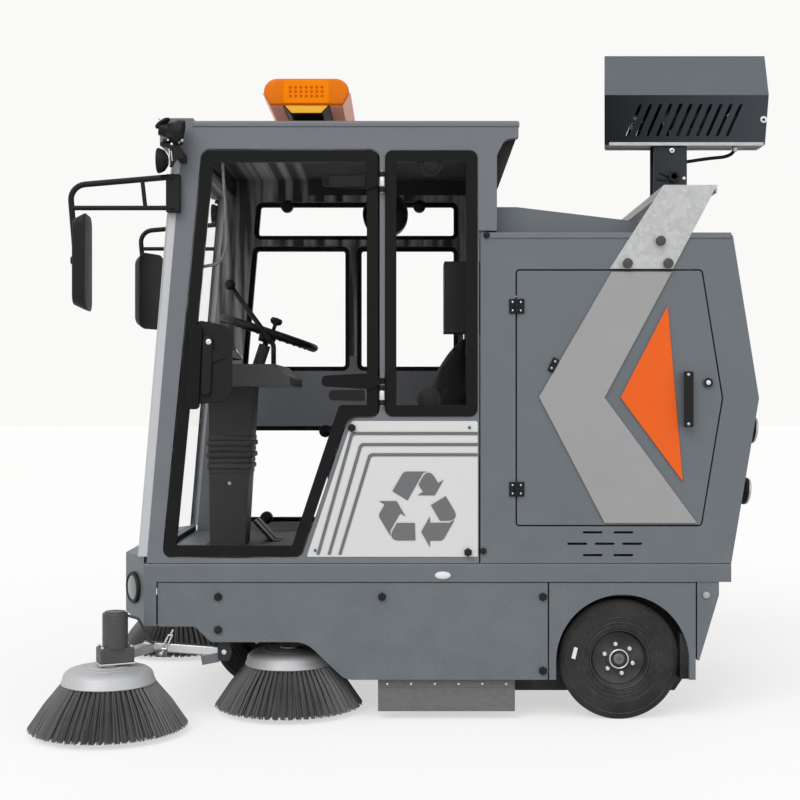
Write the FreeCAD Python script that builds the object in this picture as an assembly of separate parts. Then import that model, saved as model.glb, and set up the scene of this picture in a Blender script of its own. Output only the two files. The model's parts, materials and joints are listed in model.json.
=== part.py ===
"""Electric road sweeper: a three-wheeled ride-on machine with an enclosed cab.

Frame: millimetres, +Z up, the front of the machine towards -X and its left side towards -Y.
The origin lies on the ground below the middle of the whole machine.
"""
import FreeCAD, Part
import math
import os

V = FreeCAD.Vector

# ---- overall body -------------------------------------------------------------------------
half_width = 580.0          # outer face of the side panels
seam = 5.0                  # gap round doors and between panels
fit = 0.05                  # radial clearance of a shaft in its bore
wall = 40.0                 # thickness of a cab wall
panel = 25.0                # thickness of a housing wall or service door
sheet = 6.0                 # folded sheet metal

# ---- deck and frame -----------------------------------------------------------------------
deck_top = 530.0            # height of the cab floor and of the belt rail
rail_height = 62.0          # depth of the belt rail
rail_width = 50.0
rail_round = 8.0
floor_thick = 10.0
frame_depth = 50.0          # depth of the frame members below the belt rail
frame_front_x = -895.0
frame_rear_x = 980.0
inner_beam_y = half_width - 280.0
inner_beam_width = 60.0
outer_beam_width = 54.0
member_width = 50.0
member_x = (-760.0, -440.0, -190.0)   # cross members ahead of the brush chamber
rear_member_x = 780.0
head_plate_x = (-760.0, -440.0)
head_plate_thick = 12.0
jamb_depth = 40.0           # post that closes the joint between nose and skirt
jamb_thick = 30.0

# ---- nose ---------------------------------------------------------------------------------
nose_front_x = -1023.0
nose_bend_x = -935.0        # where the side face turns into the bevelled corner
nose_bevel_y = 137.0
nose_top = 552.0
nose_bottom = 320.0
nose_lip = 34.0             # how much the front's lower edge is swept up
skirt_front_x = -889.0

# ---- skirts and wheel arch ----------------------------------------------------------------
skirt_thick = 20.0
skirt_inset = 4.0           # the skirts stand this far inside the belt rail
skirt_top_gap = 3.0
skirt_rear_x = 415.0
skirt_bottom = 140.0
skirt_cut_z = 266.0         # lower edge over the middle brush
skirt_front_z = 318.0
skirt_bends = ((-765.0, 20.0), (-712.0, 20.0), (-395.0, 90.0), (-262.0, 60.0))  # x, radius
arch_radius = 223.0
arch_offset = 6.0           # centre of the wheel opening behind the axle
liner_thick = 6.0
liner_gap = 14.0            # inner side of a rear tyre to its liner
apron_z = (205.0, 424.0)    # lower edge and bend of the rear sheet
apron_bolt_x = 945.0
apron_bolt_r = 12.0
arch_rear_x = 910.0

# ---- cab ----------------------------------------------------------------------------------
glass_base_x = -960.0       # outer face of the windshield at the height of the deck
glass_top_x = -842.0        # the same at the height of the header
glass_stand = 34.0          # from the windshield's face back to the pillar
glass_thick = 6.0
glass_corner = 30.0
trim_half = 30.0            # how far the silver corner trims reach round the front
door_top = 1910.0
header_gap = 8.0
header_bottom = door_top + header_gap
header_front_x = -885.0
header_back_x = -770.0
header_height = 72.0
roof_seam_z = header_bottom + header_height
roof_top = roof_seam_z + 20.0
header_top = roof_top + 8.0
roof_lip = 3.0
roof_rear_x = 317.0
cab_back_x = 245.0
overhang_z = 1954.0
overhang_foot_z = 1791.0
wall_eave_z = 1914.0
frame_bar = 38.0            # width of the black edging of the cab's windows

# ---- cab door -----------------------------------------------------------------------------
door_bottom = 552.0
door_front_top_x = -738.0
door_front_base_x = -869.0
door_rear_x = -152.0
door_step_z = 1021.0        # where the rear lower corner is cut away
door_step_x = -255.0
door_foot_x = -412.0
door_round = 26.0
door_thick = 22.0
door_proud = 4.0
hinge_axis_x = -138.0
hinge_stand = 13.0
door_hinge_z = (door_step_z + 118.0, door_top - 103.0)

# ---- quarter window and lower panel on the left -------------------------------------------
quarter_front_x = -129.0
quarter_rear_x = 184.0
cover_top = 1006.0
cover_bottom = 552.0
cover_front_top_x = -240.0
cover_front_base_x = -391.0
cover_rear_x = 181.0
cover_thick = 22.0

# ---- windows in the right wall ------------------------------------------------------------
transom_z = (1745.0, 1903.0)
pane_z = (1197.0, 1718.0)
pane_post_x = -274.0
pane_post = 30.0
low_pane_z = (566.0, 967.0)
low_pane_rear_x = -150.0
pane_rear_x = 165.0
pane_front_gap = 165.0      # from the windshield's line back to these windows
window_round = 30.0
pane_thick = 5.0

# ---- cab fittings -------------------------------------------------------------------------
seat_front_x = -330.0
seat_back_x = 190.0
seat_base_half = half_width - 160.0
seat_base_top = 880.0
seat_half = seat_base_half - 180.0
cushion_thick = 105.0
cushion_depth = 430.0
backrest_top = 1322.0
backrest_x = (20.0, 50.0, 142.0, 190.0, 186.0)  # front, lumbar bend, head, rear, rear foot
lumbar_rise = 200.0
control_box_x = 74.0
control_box_y = (-440.0, -300.0)
control_box_z = (1309.0, 1554.0)
dash_half = half_width - 280.0
dash_front_x = -850.0
dash_rear_x = -470.0
dash_top = 1204.0
dash_bottom = 1125.0
column_half = 80.0
wheel_rim_r = 180.0         # steering wheel
wheel_rim_tube = 14.0
wheel_centre_x = -573.0
wheel_centre_z = 1329.0
wheel_tilt = 18.4
steer_shaft_r = 12.0
wheel_hub = (34.0, 40.0)    # radius and depth of the steering wheel's hub
wheel_spoke_r = 8.0
shelf_nose_x = (-520.0, -490.0)  # where the shelf's rear edge steps down
shelf_step = 41.0
pedestal_top_x = (-790.0, -620.0)
pedestal_foot_x = (-785.0, -655.0)
jacket_r = 22.0
jacket_span = (48.0, 160.0)  # from the wheel's centre down the column
lever_ball_r = 20.0
lever_r = 9.0
lever_y = -212.0
lever_foot_x = -536.0
lever_top_x = -694.0
lever_rise = (72.0, 288.0)  # knee and ball above the shelf
lever_bend = 40.0
fan_r = 85.0
fan_x = -134.0
fan_z = 1774.0

# ---- housing behind the cab ---------------------------------------------------------------
housing_front_x = 190.0
housing_top = 1636.0
housing_top_x = 1033.0      # top rear corner
housing_peak_x = 1121.0     # rearmost edge
housing_peak_z = 1082.0
housing_foot_x = 1028.0
service_front_x = 312.0
service_rear_x = 928.0
service_peak_x = 996.5
service_top = 1508.0
service_bottom = 658.5
chevron_thick = 6.0
hump_half = half_width - 100.0
hump_top = 1735.0
hump_flat_x = 320.0
hump_rear_x = 880.0
hump_rear_z = 1668.0
bin_wall = 6.0
bin_front_x = 252.0
bin_rear_x = 820.0
bin_half = half_width - 160.0
bin_top = 960.0
chute_front_x = 252.0
chute_rear_x = 306.0
chute_half = half_width - 330.0
hatch_half = half_width - 180.0
hatch_near = 60.0           # distance down the slope from the top edge
hatch_far = 470.0
hatch_thick = 20.0

# ---- support arch and spray unit ----------------------------------------------------------
arch_plate = 6.0
arch_foot_x = (621.0, 832.0)
arch_head_x = (802.0, 980.0)
arch_foot_z = 1514.0
arch_head_z = 1794.0
arch_flange = 26.0
arch_bolts = ((679.0, 1531.0), (814.0, 1531.0), (789.0, 1606.0))  # x, z
arch_bolt_r = 15.0
arch_bolt_head = 9.0
pivot_x = 943.0             # tilt axis of the spray unit
pivot_z = 1910.0
pivot_pin_r = 8.0
spray_front_x = 677.0
spray_rear_x = 1285.0
spray_bottom = 2030.0
spray_fold = 2204.0
spray_top = 2363.0
spray_half = 100.0
spray_ridge_half = 40.0
spray_foot_half = 47.0
spray_skew = 31.0           # how much further back the case starts on its right side
mouth_r = 58.0
mouth_rise = 108.0          # case floor to the mouths' centre
louvre_count = 11
louvre_pitch = 37.2
louvre_x = (762.5, 808.0)   # foot and head of the first louvre
louvre_z = (30.0, 144.0)    # foot and head above the case's floor
louvre_width = 13.0
fan_motor_x = (920.0, 1080.0)
fan_motor_r = 44.0
motor_stand = 20.0
tongue_x = (-72.0, 52.0)    # edges of the tongue's plates beside the pivot
tongue_y = (33.0, 39.0)
tongue_drop = 70.0          # pivot to the foot of the tongue
tongue_web = (-46.0, 52.0)  # web between the plates: beside and above the pivot
post_plate_y = (22.0, 28.0)
post_half = 24.0
post_foot = (60.0, 50.0, 8.0)  # half length, half width and thickness
knob_r = 20.0
knob_stand = 24.0
cable_r = 6.5
cable_exit_x = 1183.0
cable_route = ((0.0, -34.0), (-110.0, -44.0), (-205.0, -60.0))  # beside and below the exit
spray_sheet = 5.0

# ---- wheels -------------------------------------------------------------------------------
tyre_r = 202.0
tyre_width = 104.0
bead_r = 102.0
rear_axle_x = 660.0
front_axle_x = -579.0
steer_axis_x = -600.0
wheel_face_y = half_width - 28.0# outer face of a rear tyre
axle_half = 30.0
spindle_r = 25.0
steer_stem_r = 22.0
head_tube_r = 45.0
fork_gap = 10.0             # tyre side to fork leg
fork_leg = 12.0
lower_rail_y = half_width - 180.0
lower_rail_half = 20.0
lower_rail_z = (72.0, 122.0)
lower_rail_x = (318.0, 905.0)
lower_rail_cut = 34.0       # the rail's rear end is cut back by this much at its foot

# ---- brushes ------------------------------------------------------------------------------
tip_height = 18.0           # brushes are carried this far off the ground
disc_r = 259.0              # side brush at its tips
cup_r = 152.0
cup_height = 144.0          # tips to the rim of the cup
drive_r = 41.0
drive_shaft_r = 12.0
gearbox_size = (110.0, 70.0, 50.0)
drive_height = 116.0
gear_offset = 22.0          # the drive's centre behind the brush's shaft
gear_turn = 25.0            # how far a front gear case is turned
hub_r = 30.0
hub_rise = 6.0
cup_flat_r = 100.0
cup_shoulder = 14.0         # drop of the cup's top at its shoulder
cup_wall_rise = 36.0        # rim to the shoulder
bristle_root = (98.0, 62.0)  # inner radius at the rim; ring width at the tips
mount_post = 22.0           # half width of a middle drive's bracket
front_brush_x = -1026.0
front_brush_y = half_width + 126.0
mid_brush_x = -466.0
mid_brush_y = half_width - 195.0
arm_pivot_x = -671.0
arm_pivot_z = 228.0
arm_y = half_width - 54.0
arm_tube = 30.0
arm_elbow_x = -925.0
arm_rise = 18.0
arm_pin_r = 10.0
cheek_half = (26.0, 20.0)   # half length of an arm cheek at its top and foot
cheek_drop = 30.0           # pin to the foot of a cheek
arm_inset = 20.0            # pin to the end of the arm's tube
link_half = 24.0            # half width of the plate from the arm to the gear case
link_thick = 26.0
link_rise = 3.0             # foot of that plate above the foot of the case
cheek = 6.0
cheek_gap = 5.0            # arm tube to the cheeks of its pivot
roller_x = 80.0
roller_r = 176.0
roller_half = half_width - 110.0
roller_core_r = 60.0
roller_shaft_r = 15.0
hood_front_x = -130.0
hood_rear_x = 312.0
hood_gap = 16.0             # roller to the chamber's side walls
hood_bottom = 60.0
flap_y = half_width - 35.0
flap_x = (-153.0, 308.0)
flap_bottom = 28.0
flap_rise = 60.0            # skirt to the flaps' top edge
flap_inset = 60.0

# ---- roof and lamps -----------------------------------------------------------------------
bar_half = half_width - 80.0# light bar
bar_x = (-556.0, -240.0)
bar_z = (2086.0, 2171.0)
bar_foot_y = bar_half - 200.0
bar_foot = (55.0, 35.0)     # half length and half width of a foot
bar_waist = 48.0            # foot of the lens to its widest level
head_lamp_r = 54.0
head_lamp_z = 441.0
head_lamp_depth = 14.0
tail_lamp_r = 46.0
tail_lamp_y = half_width - 78.0
tail_lamp_z = (768.0, 975.0)
tail_lamp_depth = 36.0
work_lamp_r = 44.0
work_lamp_out = 56.0        # lamps' centre beyond the wall
work_lamp_top = (-884.0, 1975.0, -800.0, 1955.0)  # upper lamp's two ends, x and z
work_lamp_low = (-866.0, 1871.0)
work_lamp_foot = (-812.0, -790.0, 1866.0, 1892.0)
work_lamp_stem = (-846.0, -838.0, 1940.0)
work_lamp_bar = 8.0
mirror_y = half_width + 25.0
mirror_half = 85.0
mirror_x = -1160.0
mirror_thick = 45.0
mirror_z = (1370.0, 1694.0)
mirror_taper = 0.72         # front of a mirror's shell against its glass side
mirror_round = 40.0
mirror_turn = (4.0, 28.0)   # left and right mirror turned towards the driver
mirror_block = (24.0, 22.0, 34.0)  # reach ahead, behind and out from the wall
mirror_block_z = (1700.0, 1826.0)
mirror_arm_z = (1818.0, 1788.0, 1466.0)  # upper tube at the block, the bend and the foot
mirror_low_z = 1714.0
mirror_bend = 50.0
mirror_foot_in = 26.0       # the tube's foot behind its bend
mirror_stud_z = 1540.0
mirror_stud_r = 14.0
mirror_strut_x = (-925.0, -935.0)
mirror_tube_r = 10.0
mirror_block_x = -832.0
tow_hole_r = 13.0
tow_plate = 12.0
tow_x = 990.0
tow_z = 300.0
tow_half = 40.0
tow_round = 30.0

# ---- worked out from the sizes above ------------------------------------------------------
rail_bottom = deck_top - rail_height
frame_bottom = rail_bottom - frame_depth
skirt_outer = half_width - skirt_inset
skirt_inner = skirt_outer - skirt_thick
wheel_y = wheel_face_y - tyre_width / 2
rake = (glass_top_x - glass_base_x) / (header_bottom - deck_top)
cup_top_z = tip_height + cup_height + 52.0
gearbox_z = cup_top_z + 11.0
drive_top = gearbox_z + gearbox_size[2] + drive_height
door_face = half_width + door_proud
roller_z = roller_r + tip_height + 2.0

parts = {}


# ---- helpers ------------------------------------------------------------------------------
def box(x0, x1, y0, y1, z0, z1):
    """A block between six planes, given in any order."""
    lo = V(min(x0, x1), min(y0, y1), min(z0, z1))
    return Part.makeBox(abs(x1 - x0), abs(y1 - y0), abs(z1 - z0), lo)


def rounded_wire(corners, place):
    """A closed wire through corners (u, v, radius); place turns (u, v) into a point."""
    count = len(corners)
    starts, ends, mids = [], [], []
    for i, (u, v, r) in enumerate(corners):
        pu, pv, _ = corners[i - 1]
        nu, nv, _ = corners[(i + 1) % count]
        ax, ay = pu - u, pv - v
        bx, by = nu - u, nv - v
        la, lb = math.hypot(ax, ay), math.hypot(bx, by)
        ax, ay, bx, by = ax / la, ay / la, bx / lb, by / lb
        half = math.acos(max(-1.0, min(1.0, ax * bx + ay * by))) / 2
        reach = min(r / math.tan(half), la / 2.02, lb / 2.02) if r else 0.0
        radius = reach * math.tan(half)
        starts.append((u + ax * reach, v + ay * reach))
        ends.append((u + bx * reach, v + by * reach))
        if r:
            cx, cy = ax + bx, ay + by
            lc = math.hypot(cx, cy)
            away = radius / math.sin(half)
            mids.append((u + cx / lc * (away - radius), v + cy / lc * (away - radius)))
        else:
            mids.append(None)
    edges = []
    for i in range(count):
        if mids[i]:
            edges.append(Part.Arc(place(*starts[i]), place(*mids[i]), place(*ends[i])).toShape())
        p, q = place(*ends[i]), place(*starts[(i + 1) % count])
        if (q - p).Length > 1e-6:
            edges.append(Part.LineSegment(p, q).toShape())
    return Part.Wire(edges)


def side_plate(corners, y0, y1):
    """An outline in side view (x, z, radius), with thickness from y0 to y1."""
    face = Part.Face(rounded_wire(corners, lambda u, v: V(u, y0, v)))
    return face.extrude(V(0, y1 - y0, 0))


def plan_plate(corners, z0, z1):
    """An outline seen from above (x, y, radius), with thickness from z0 to z1."""
    face = Part.Face(rounded_wire(corners, lambda u, v: V(u, v, z0)))
    return face.extrude(V(0, 0, z1 - z0))


def cross_plate(corners, x0, x1):
    """An outline seen from the front (y, z, radius), with thickness from x0 to x1."""
    face = Part.Face(rounded_wire(corners, lambda u, v: V(x0, u, v)))
    return face.extrude(V(x1 - x0, 0, 0))


def rod(start, end, radius):
    """A round bar from one point to another."""
    a, b = V(*start), V(*end)
    return Part.makeCylinder(radius, (b - a).Length, a, b - a)


def ring(start, end, radius, bore):
    """A round tube from one point to another."""
    return rod(start, end, radius).cut(rod(start, end, bore))


def turned(profile, centre, axis):
    """A closed (radius, height) outline turned once round an axis through centre."""
    pts = [V(r, 0, h) for r, h in profile]
    solid = Part.Face(Part.makePolygon(pts + pts[:1])).revolve(V(0, 0, 0), V(0, 0, 1), 360)
    solid.Placement = FreeCAD.Placement(V(*centre), FreeCAD.Rotation(V(0, 0, 1), V(*axis)))
    return solid


def bent_tube(points, radius, bend):
    """A round tube along straight runs joined by arcs of one bend radius."""
    pts = [V(*p) for p in points]
    edges, last = [], pts[0]
    for before, corner, after in zip(pts, pts[1:], pts[2:]):
        a = (before - corner).normalize()
        b = (after - corner).normalize()
        half = a.getAngle(b) / 2
        reach = bend / math.tan(half)
        p, q = corner + a * reach, corner + b * reach
        c = (a + b).normalize()
        mid = corner + c * (bend / math.sin(half) - bend)
        edges += [Part.LineSegment(last, p).toShape(), Part.Arc(p, mid, q).toShape()]
        last = q
    edges.append(Part.LineSegment(last, pts[-1]).toShape())
    path = Part.Wire(edges)
    circle = Part.Wire(Part.Circle(pts[0], pts[1] - pts[0], radius).toShape())
    return path.makePipeShell([circle], True, True)


def eased_tube(points, radius):
    """A flexible line of straight runs with the widest even bend at every corner."""
    pts = [V(*p) for p in points]
    edges, last = [], pts[0]
    for before, corner, after in zip(pts, pts[1:], pts[2:]):
        a, b = before - corner, after - corner
        reach = 0.45 * min(a.Length, b.Length)
        a, b = a.normalize(), b.normalize()
        half = a.getAngle(b) / 2
        bend = reach * math.tan(half)
        p, q = corner + a * reach, corner + b * reach
        mid = corner + (a + b).normalize() * (bend / math.sin(half) - bend)
        edges += [Part.LineSegment(last, p).toShape(), Part.Arc(p, mid, q).toShape()]
        last = q
    edges.append(Part.LineSegment(last, pts[-1]).toShape())
    circle = Part.Wire(Part.Circle(pts[0], pts[1] - pts[0], radius).toShape())
    return Part.Wire(edges).makePipeShell([circle], True, True)


def mirrored(shape):
    """The same shape on the machine's right side."""
    return shape.mirror(V(0, 0, 0), V(0, 1, 0))


def fused(shapes):
    """One solid from pieces that meet."""
    shapes = list(shapes)
    return shapes[0].fuse(shapes[1:]).removeSplitter() if len(shapes) > 1 else shapes[0]


def both(shape):
    """A left piece and its right twin, which don't touch."""
    return Part.makeCompound([shape, mirrored(shape)])


def glass_x(z, back=0.0):
    """Where the windshield's raked face is at a height, moved back by some distance."""
    return glass_base_x + rake * (z - deck_top) + back


def grown(corners, by):
    """The same outline moved outwards by a distance, for convex and stepped outlines."""
    count = len(corners)
    area = sum(corners[i - 1][0] * corners[i][1] - corners[i][0] * corners[i - 1][1]
               for i in range(count))
    side = 1.0 if area > 0 else -1.0
    moved = []
    for i, (u, v, r) in enumerate(corners):
        pu, pv, _ = corners[i - 1]
        nu, nv, _ = corners[(i + 1) % count]
        ax, ay = u - pu, v - pv
        bx, by_ = nu - u, nv - v
        la, lb = math.hypot(ax, ay), math.hypot(bx, by_)
        n1 = (ay / la * side, -ax / la * side)
        n2 = (by_ / lb * side, -bx / lb * side)
        k = by / (1 + n1[0] * n2[0] + n1[1] * n2[1])
        moved.append((u + (n1[0] + n2[0]) * k, v + (n1[1] + n2[1]) * k, max(r + by, 0) if r else 0))
    return moved


# ---- chassis ------------------------------------------------------------------------------
def frame_members():
    """Cross members and the two pairs of long beams under the deck."""
    outer_y = skirt_inner
    half = member_width / 2
    centres = ((frame_front_x + half,) + member_x
               + (hood_rear_x + half + 10.0, rear_member_x, frame_rear_x - half))
    pieces = [box(x - half, x + half, -outer_y, outer_y, frame_bottom, rail_bottom)
              for x in centres]
    for side in (-1, 1):
        beam = side * inner_beam_y
        pieces.append(box(frame_front_x, frame_rear_x, beam - inner_beam_width / 2,
                          beam + inner_beam_width / 2, frame_bottom, rail_bottom))
        pieces.append(box(frame_front_x, frame_rear_x, side * (outer_y - outer_beam_width),
                          side * outer_y, frame_bottom, rail_bottom))
    return pieces


def lower_rails():
    """Rails under the frame that carry the rear axle, with their posts."""
    half = lower_rail_half
    x0, x1 = lower_rail_x
    z0, z1 = lower_rail_z
    pieces = []
    for side in (-1, 1):
        y = side * lower_rail_y
        pieces.append(side_plate([(x0, z0, 0), (x0, z1, 0), (x1, z1, 0),
                                  (x1 - lower_rail_cut, z0, 0)], y - half, y + half))
        for x in (x0, x1 - 2 * half):
            pieces.append(box(x, x + 2 * half, y - half, y + half, z1 - 1, frame_bottom))
            pieces.append(box(x, x + 2 * half, side * inner_beam_y,
                              side * (skirt_inner - outer_beam_width / 2),
                              frame_bottom, rail_bottom))
        pieces.append(box(rear_axle_x - axle_half, rear_axle_x + axle_half, y - half, y + half,
                          z1 - 1, tyre_r - axle_half))
    return pieces


def wheel_liners():
    """Upright sheets inside the rear wheels, open round the axle."""
    y = wheel_face_y - tyre_width - liner_gap
    x0, x1 = skirt_rear_x - seam, arch_rear_x - seam
    hole = rod((rear_axle_x, -y - 1, tyre_r), (rear_axle_x, y + 1, tyre_r), 2 * axle_half)
    pieces = []
    for side in (-1, 1):
        sheet_y = side * (y - liner_thick / 2)
        liner = box(x0, x1, sheet_y - liner_thick / 2, sheet_y + liner_thick / 2,
                    lower_rail_z[1] + seam, frame_bottom + 2)
        pieces.append(liner.cut(hole))
    return pieces


def arm_cheeks():
    """The two pairs of plates that hold the front arms, with their pins."""
    t = arm_tube / 2 + cheek_gap
    top, foot = cheek_half
    pieces = []
    for side in (-1, 1):
        for y in (arm_y - t - cheek, arm_y + t):
            pieces.append(side_plate([(arm_pivot_x - top, frame_bottom, 0),
                                      (arm_pivot_x + top, frame_bottom, 0),
                                      (arm_pivot_x + foot, arm_pivot_z - cheek_drop, 12),
                                      (arm_pivot_x - foot, arm_pivot_z - cheek_drop, 12)],
                                     side * y, side * (y + cheek)))
        pieces.append(rod((arm_pivot_x, side * (arm_y - t - cheek), arm_pivot_z),
                          (arm_pivot_x, side * (arm_y + t + cheek), arm_pivot_z), arm_pin_r))
    return pieces


def chassis_frame():
    """Ladder frame, steering head, brush arm cheeks and the lower rails that carry the axle."""
    pieces = frame_members() + lower_rails() + wheel_liners() + arm_cheeks()
    for side in (-1, 1):
        pieces.append(box(frame_front_x - seam, frame_front_x + jamb_depth,
                          side * (skirt_inner - jamb_thick), side * skirt_inner,
                          skirt_front_z + sheet, frame_bottom + 1))
    pieces.append(box(*head_plate_x, -inner_beam_y, inner_beam_y,
                      rail_bottom - head_plate_thick, rail_bottom))
    pieces.append(rod((steer_axis_x, 0, frame_bottom + 8),
                      (steer_axis_x, 0, deck_top - floor_thick - 3), head_tube_r))
    bore = rod((steer_axis_x, 0, frame_bottom), (steer_axis_x, 0, deck_top), steer_stem_r + fit)
    return fused(pieces).cut(bore)


def deck():
    """Belt rail all round with the floor plate between its sides."""
    ring_out = box(nose_bend_x, housing_foot_x, -half_width, half_width, rail_bottom, deck_top)
    edges = [e for e in ring_out.Edges
             if abs(e.BoundBox.ZMin - deck_top) < 1 and abs(e.BoundBox.ZMax - deck_top) < 1
             and e.BoundBox.XLength > 100]
    ring_out = ring_out.makeFillet(rail_round, edges)
    inner = box(nose_bend_x + rail_width, housing_foot_x - rail_width,
                -half_width + rail_width, half_width - rail_width, rail_bottom,
                deck_top - floor_thick)
    chute = box(chute_front_x, chute_rear_x, -chute_half, chute_half, rail_bottom, deck_top + 1)
    return ring_out.cut([inner, chute])


def nose_outline(inset):
    """Plan of the nose, its corners bevelled."""
    return [(nose_bend_x, -half_width + inset, 0),
            (nose_front_x + inset, -half_width + nose_bevel_y + inset * 0.3, 14),
            (nose_front_x + inset, half_width - nose_bevel_y - inset * 0.3, 14),
            (nose_bend_x, half_width - inset, 0)]


def nose_panel():
    """Front shell with a bevel at each corner, open below and behind."""
    shell = plan_plate(nose_outline(0), nose_bottom, nose_top)
    hollow = plan_plate(nose_outline(sheet), nose_bottom - 1, nose_top - sheet)
    shell = shell.cut(hollow)
    returns = [box(nose_bend_x, skirt_front_x - seam, side * half_width,
                   side * (half_width - sheet), nose_bottom, rail_bottom) for side in (-1, 1)]
    sweep = side_plate([(nose_front_x - 5, nose_bottom - 5, 0),
                        (nose_bend_x, nose_bottom - 5, 0),
                        (nose_bend_x, nose_bottom, 0),
                        (nose_front_x - 5, nose_bottom + nose_lip, 0)],
                       -half_width - 5, half_width + 5)
    shell = fused([shell] + returns).cut(sweep)
    return shell


def side_skirts():
    """Skirt under the belt rail and the panel round the rear wheel, on both sides."""
    top = rail_bottom - skirt_top_gap
    bend_z = (skirt_front_z, skirt_cut_z, skirt_cut_z, skirt_bottom)
    bends = [(x, z, r) for (x, r), z in zip(skirt_bends, bend_z)]
    skirt = side_plate([(skirt_front_x, top, 0), (skirt_front_x, skirt_front_z, 6)] + bends
                       + [(skirt_rear_x, skirt_bottom, 6), (skirt_rear_x, top, 0)],
                       -skirt_outer, -skirt_inner)
    rear = box(skirt_rear_x + seam, arch_rear_x, -skirt_outer, -skirt_inner, skirt_bottom, top)
    x = rear_axle_x + arch_offset
    arch = rod((x, -skirt_outer - 1, tyre_r), (x, -skirt_inner + 1, tyre_r), arch_radius)
    below = box(x - arch_radius, x + arch_radius, -skirt_outer - 1, -skirt_inner + 1,
                skirt_bottom - 1, tyre_r)
    rear = rear.cut([arch, below])
    return Part.makeCompound([skirt, rear, mirrored(skirt), mirrored(rear)])


def apron_x(z):
    """Where the apron's rear face is at a height."""
    low_z, high_z = apron_z
    low_x, high_x = arch_rear_x + 2 * sheet, frame_rear_x + 8
    if z >= high_z:
        return high_x
    return low_x + (high_x - low_x) * (z - low_z) / (high_z - low_z)


def rear_apron():
    """Bent rear sheet with a tapered gusset at each side and the towing lug."""
    top = rail_bottom
    low, bend = apron_z
    face = [(apron_x(top), top, 0), (apron_x(bend), bend, 8), (apron_x(low), low, 0),
            (apron_x(low) - sheet, low, 0), (apron_x(bend) - sheet, bend, 8),
            (apron_x(top) - sheet, top, 0)]
    skin = side_plate(face, -skirt_outer, skirt_outer)
    gussets = [side_plate([(arch_rear_x + seam, top, 0), (apron_x(top), top, 0),
                           (apron_x(bend), bend, 8), (apron_x(low), low, 0),
                           (arch_rear_x + seam, low, 0)],
                          side * skirt_outer, side * (skirt_outer - sheet)) for side in (-1, 1)]
    bolts = [rod((apron_bolt_x, side * (skirt_outer - sheet), bend),
                 (apron_bolt_x, side * half_width, bend), apron_bolt_r) for side in (-1, 1)]
    inner = apron_x(tow_z) - sheet
    tip = tow_x + tow_round
    lug = plan_plate([(inner, -tow_half, 0), (tip, -tow_half, tow_round),
                      (tip, tow_half, tow_round), (inner, tow_half, 0)],
                     tow_z, tow_z + tow_plate)
    hole = rod((tow_x, 0, tow_z - 1), (tow_x, 0, tow_z + tow_plate + 1), tow_hole_r)
    return fused([skin] + gussets + bolts + [lug]).cut(hole)


# ---- cab ----------------------------------------------------------------------------------
def cab_side_outline():
    """Side view of a cab wall, from the windshield pillar to the housing."""
    eave = housing_top + 6
    return [(glass_x(deck_top, glass_stand), deck_top, 0),
            (glass_x(header_bottom, glass_stand), header_bottom, 0),
            (header_back_x, header_bottom, 0), (header_back_x, roof_seam_z, 0),
            (roof_rear_x, roof_seam_z, 0), (roof_rear_x, overhang_z, 0),
            (cab_back_x + 26, overhang_z - 8, 30), (cab_back_x, wall_eave_z - 20, 10),
            (cab_back_x, eave, 0), (housing_front_x - seam, eave, 0),
            (housing_front_x - seam, deck_top, 0)]


def door_outline():
    """Side view of the cab door."""
    return [(door_front_base_x, door_bottom, door_round), (door_front_top_x, door_top, door_round),
            (door_rear_x, door_top, door_round), (door_rear_x, door_step_z, door_round),
            (door_step_x, door_step_z, door_round * 2), (door_foot_x, door_bottom, door_round)]


def quarter_outline():
    """Side view of the window behind the door."""
    return [(quarter_front_x, door_step_z, door_round), (quarter_front_x, door_top, door_round),
            (quarter_rear_x - 4, door_top, door_round),
            (quarter_rear_x - 4, door_step_z, door_round)]


def cover_outline():
    """Side view of the removable panel below the quarter window."""
    return [(cover_front_base_x, cover_bottom, 4), (cover_front_top_x, cover_top, 14),
            (cover_rear_x, cover_top, 8), (cover_rear_x, cover_bottom, 4)]


def right_windows():
    """Outlines of the windows in the right wall: transom, two panes and a low pane."""
    def front(z):
        return glass_x(z, pane_front_gap)
    r = window_round
    return [[(front(transom_z[0]), transom_z[0], r), (front(transom_z[1]), transom_z[1], r),
             (pane_rear_x, transom_z[1], r), (pane_rear_x, transom_z[0], r)],
            [(front(pane_z[0]), pane_z[0], r), (front(pane_z[1]), pane_z[1], r),
             (pane_post_x - pane_post / 2, pane_z[1], r),
             (pane_post_x - pane_post / 2, pane_z[0], r)],
            [(pane_post_x + pane_post / 2, pane_z[0], r),
             (pane_post_x + pane_post / 2, pane_z[1], r),
             (pane_rear_x, pane_z[1], r), (pane_rear_x, pane_z[0], r)],
            [(front(low_pane_z[0]), low_pane_z[0], r), (front(low_pane_z[1]), low_pane_z[1], r),
             (low_pane_rear_x, low_pane_z[1], r), (low_pane_rear_x, low_pane_z[0], r)]]


def hinge_knuckles(x, y, z_mid, tall, radius, pin_r):
    """The fixed half of a hinge: a knuckle above and below, and the pin through both."""
    third = tall / 3
    pieces = [rod((x, y, z_mid - tall / 2), (x, y, z_mid - third / 2 - 0.5), radius),
              rod((x, y, z_mid + third / 2 + 0.5), (x, y, z_mid + tall / 2), radius),
              rod((x, y, z_mid - tall / 2), (x, y, z_mid + tall / 2), pin_r)]
    return pieces


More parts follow.
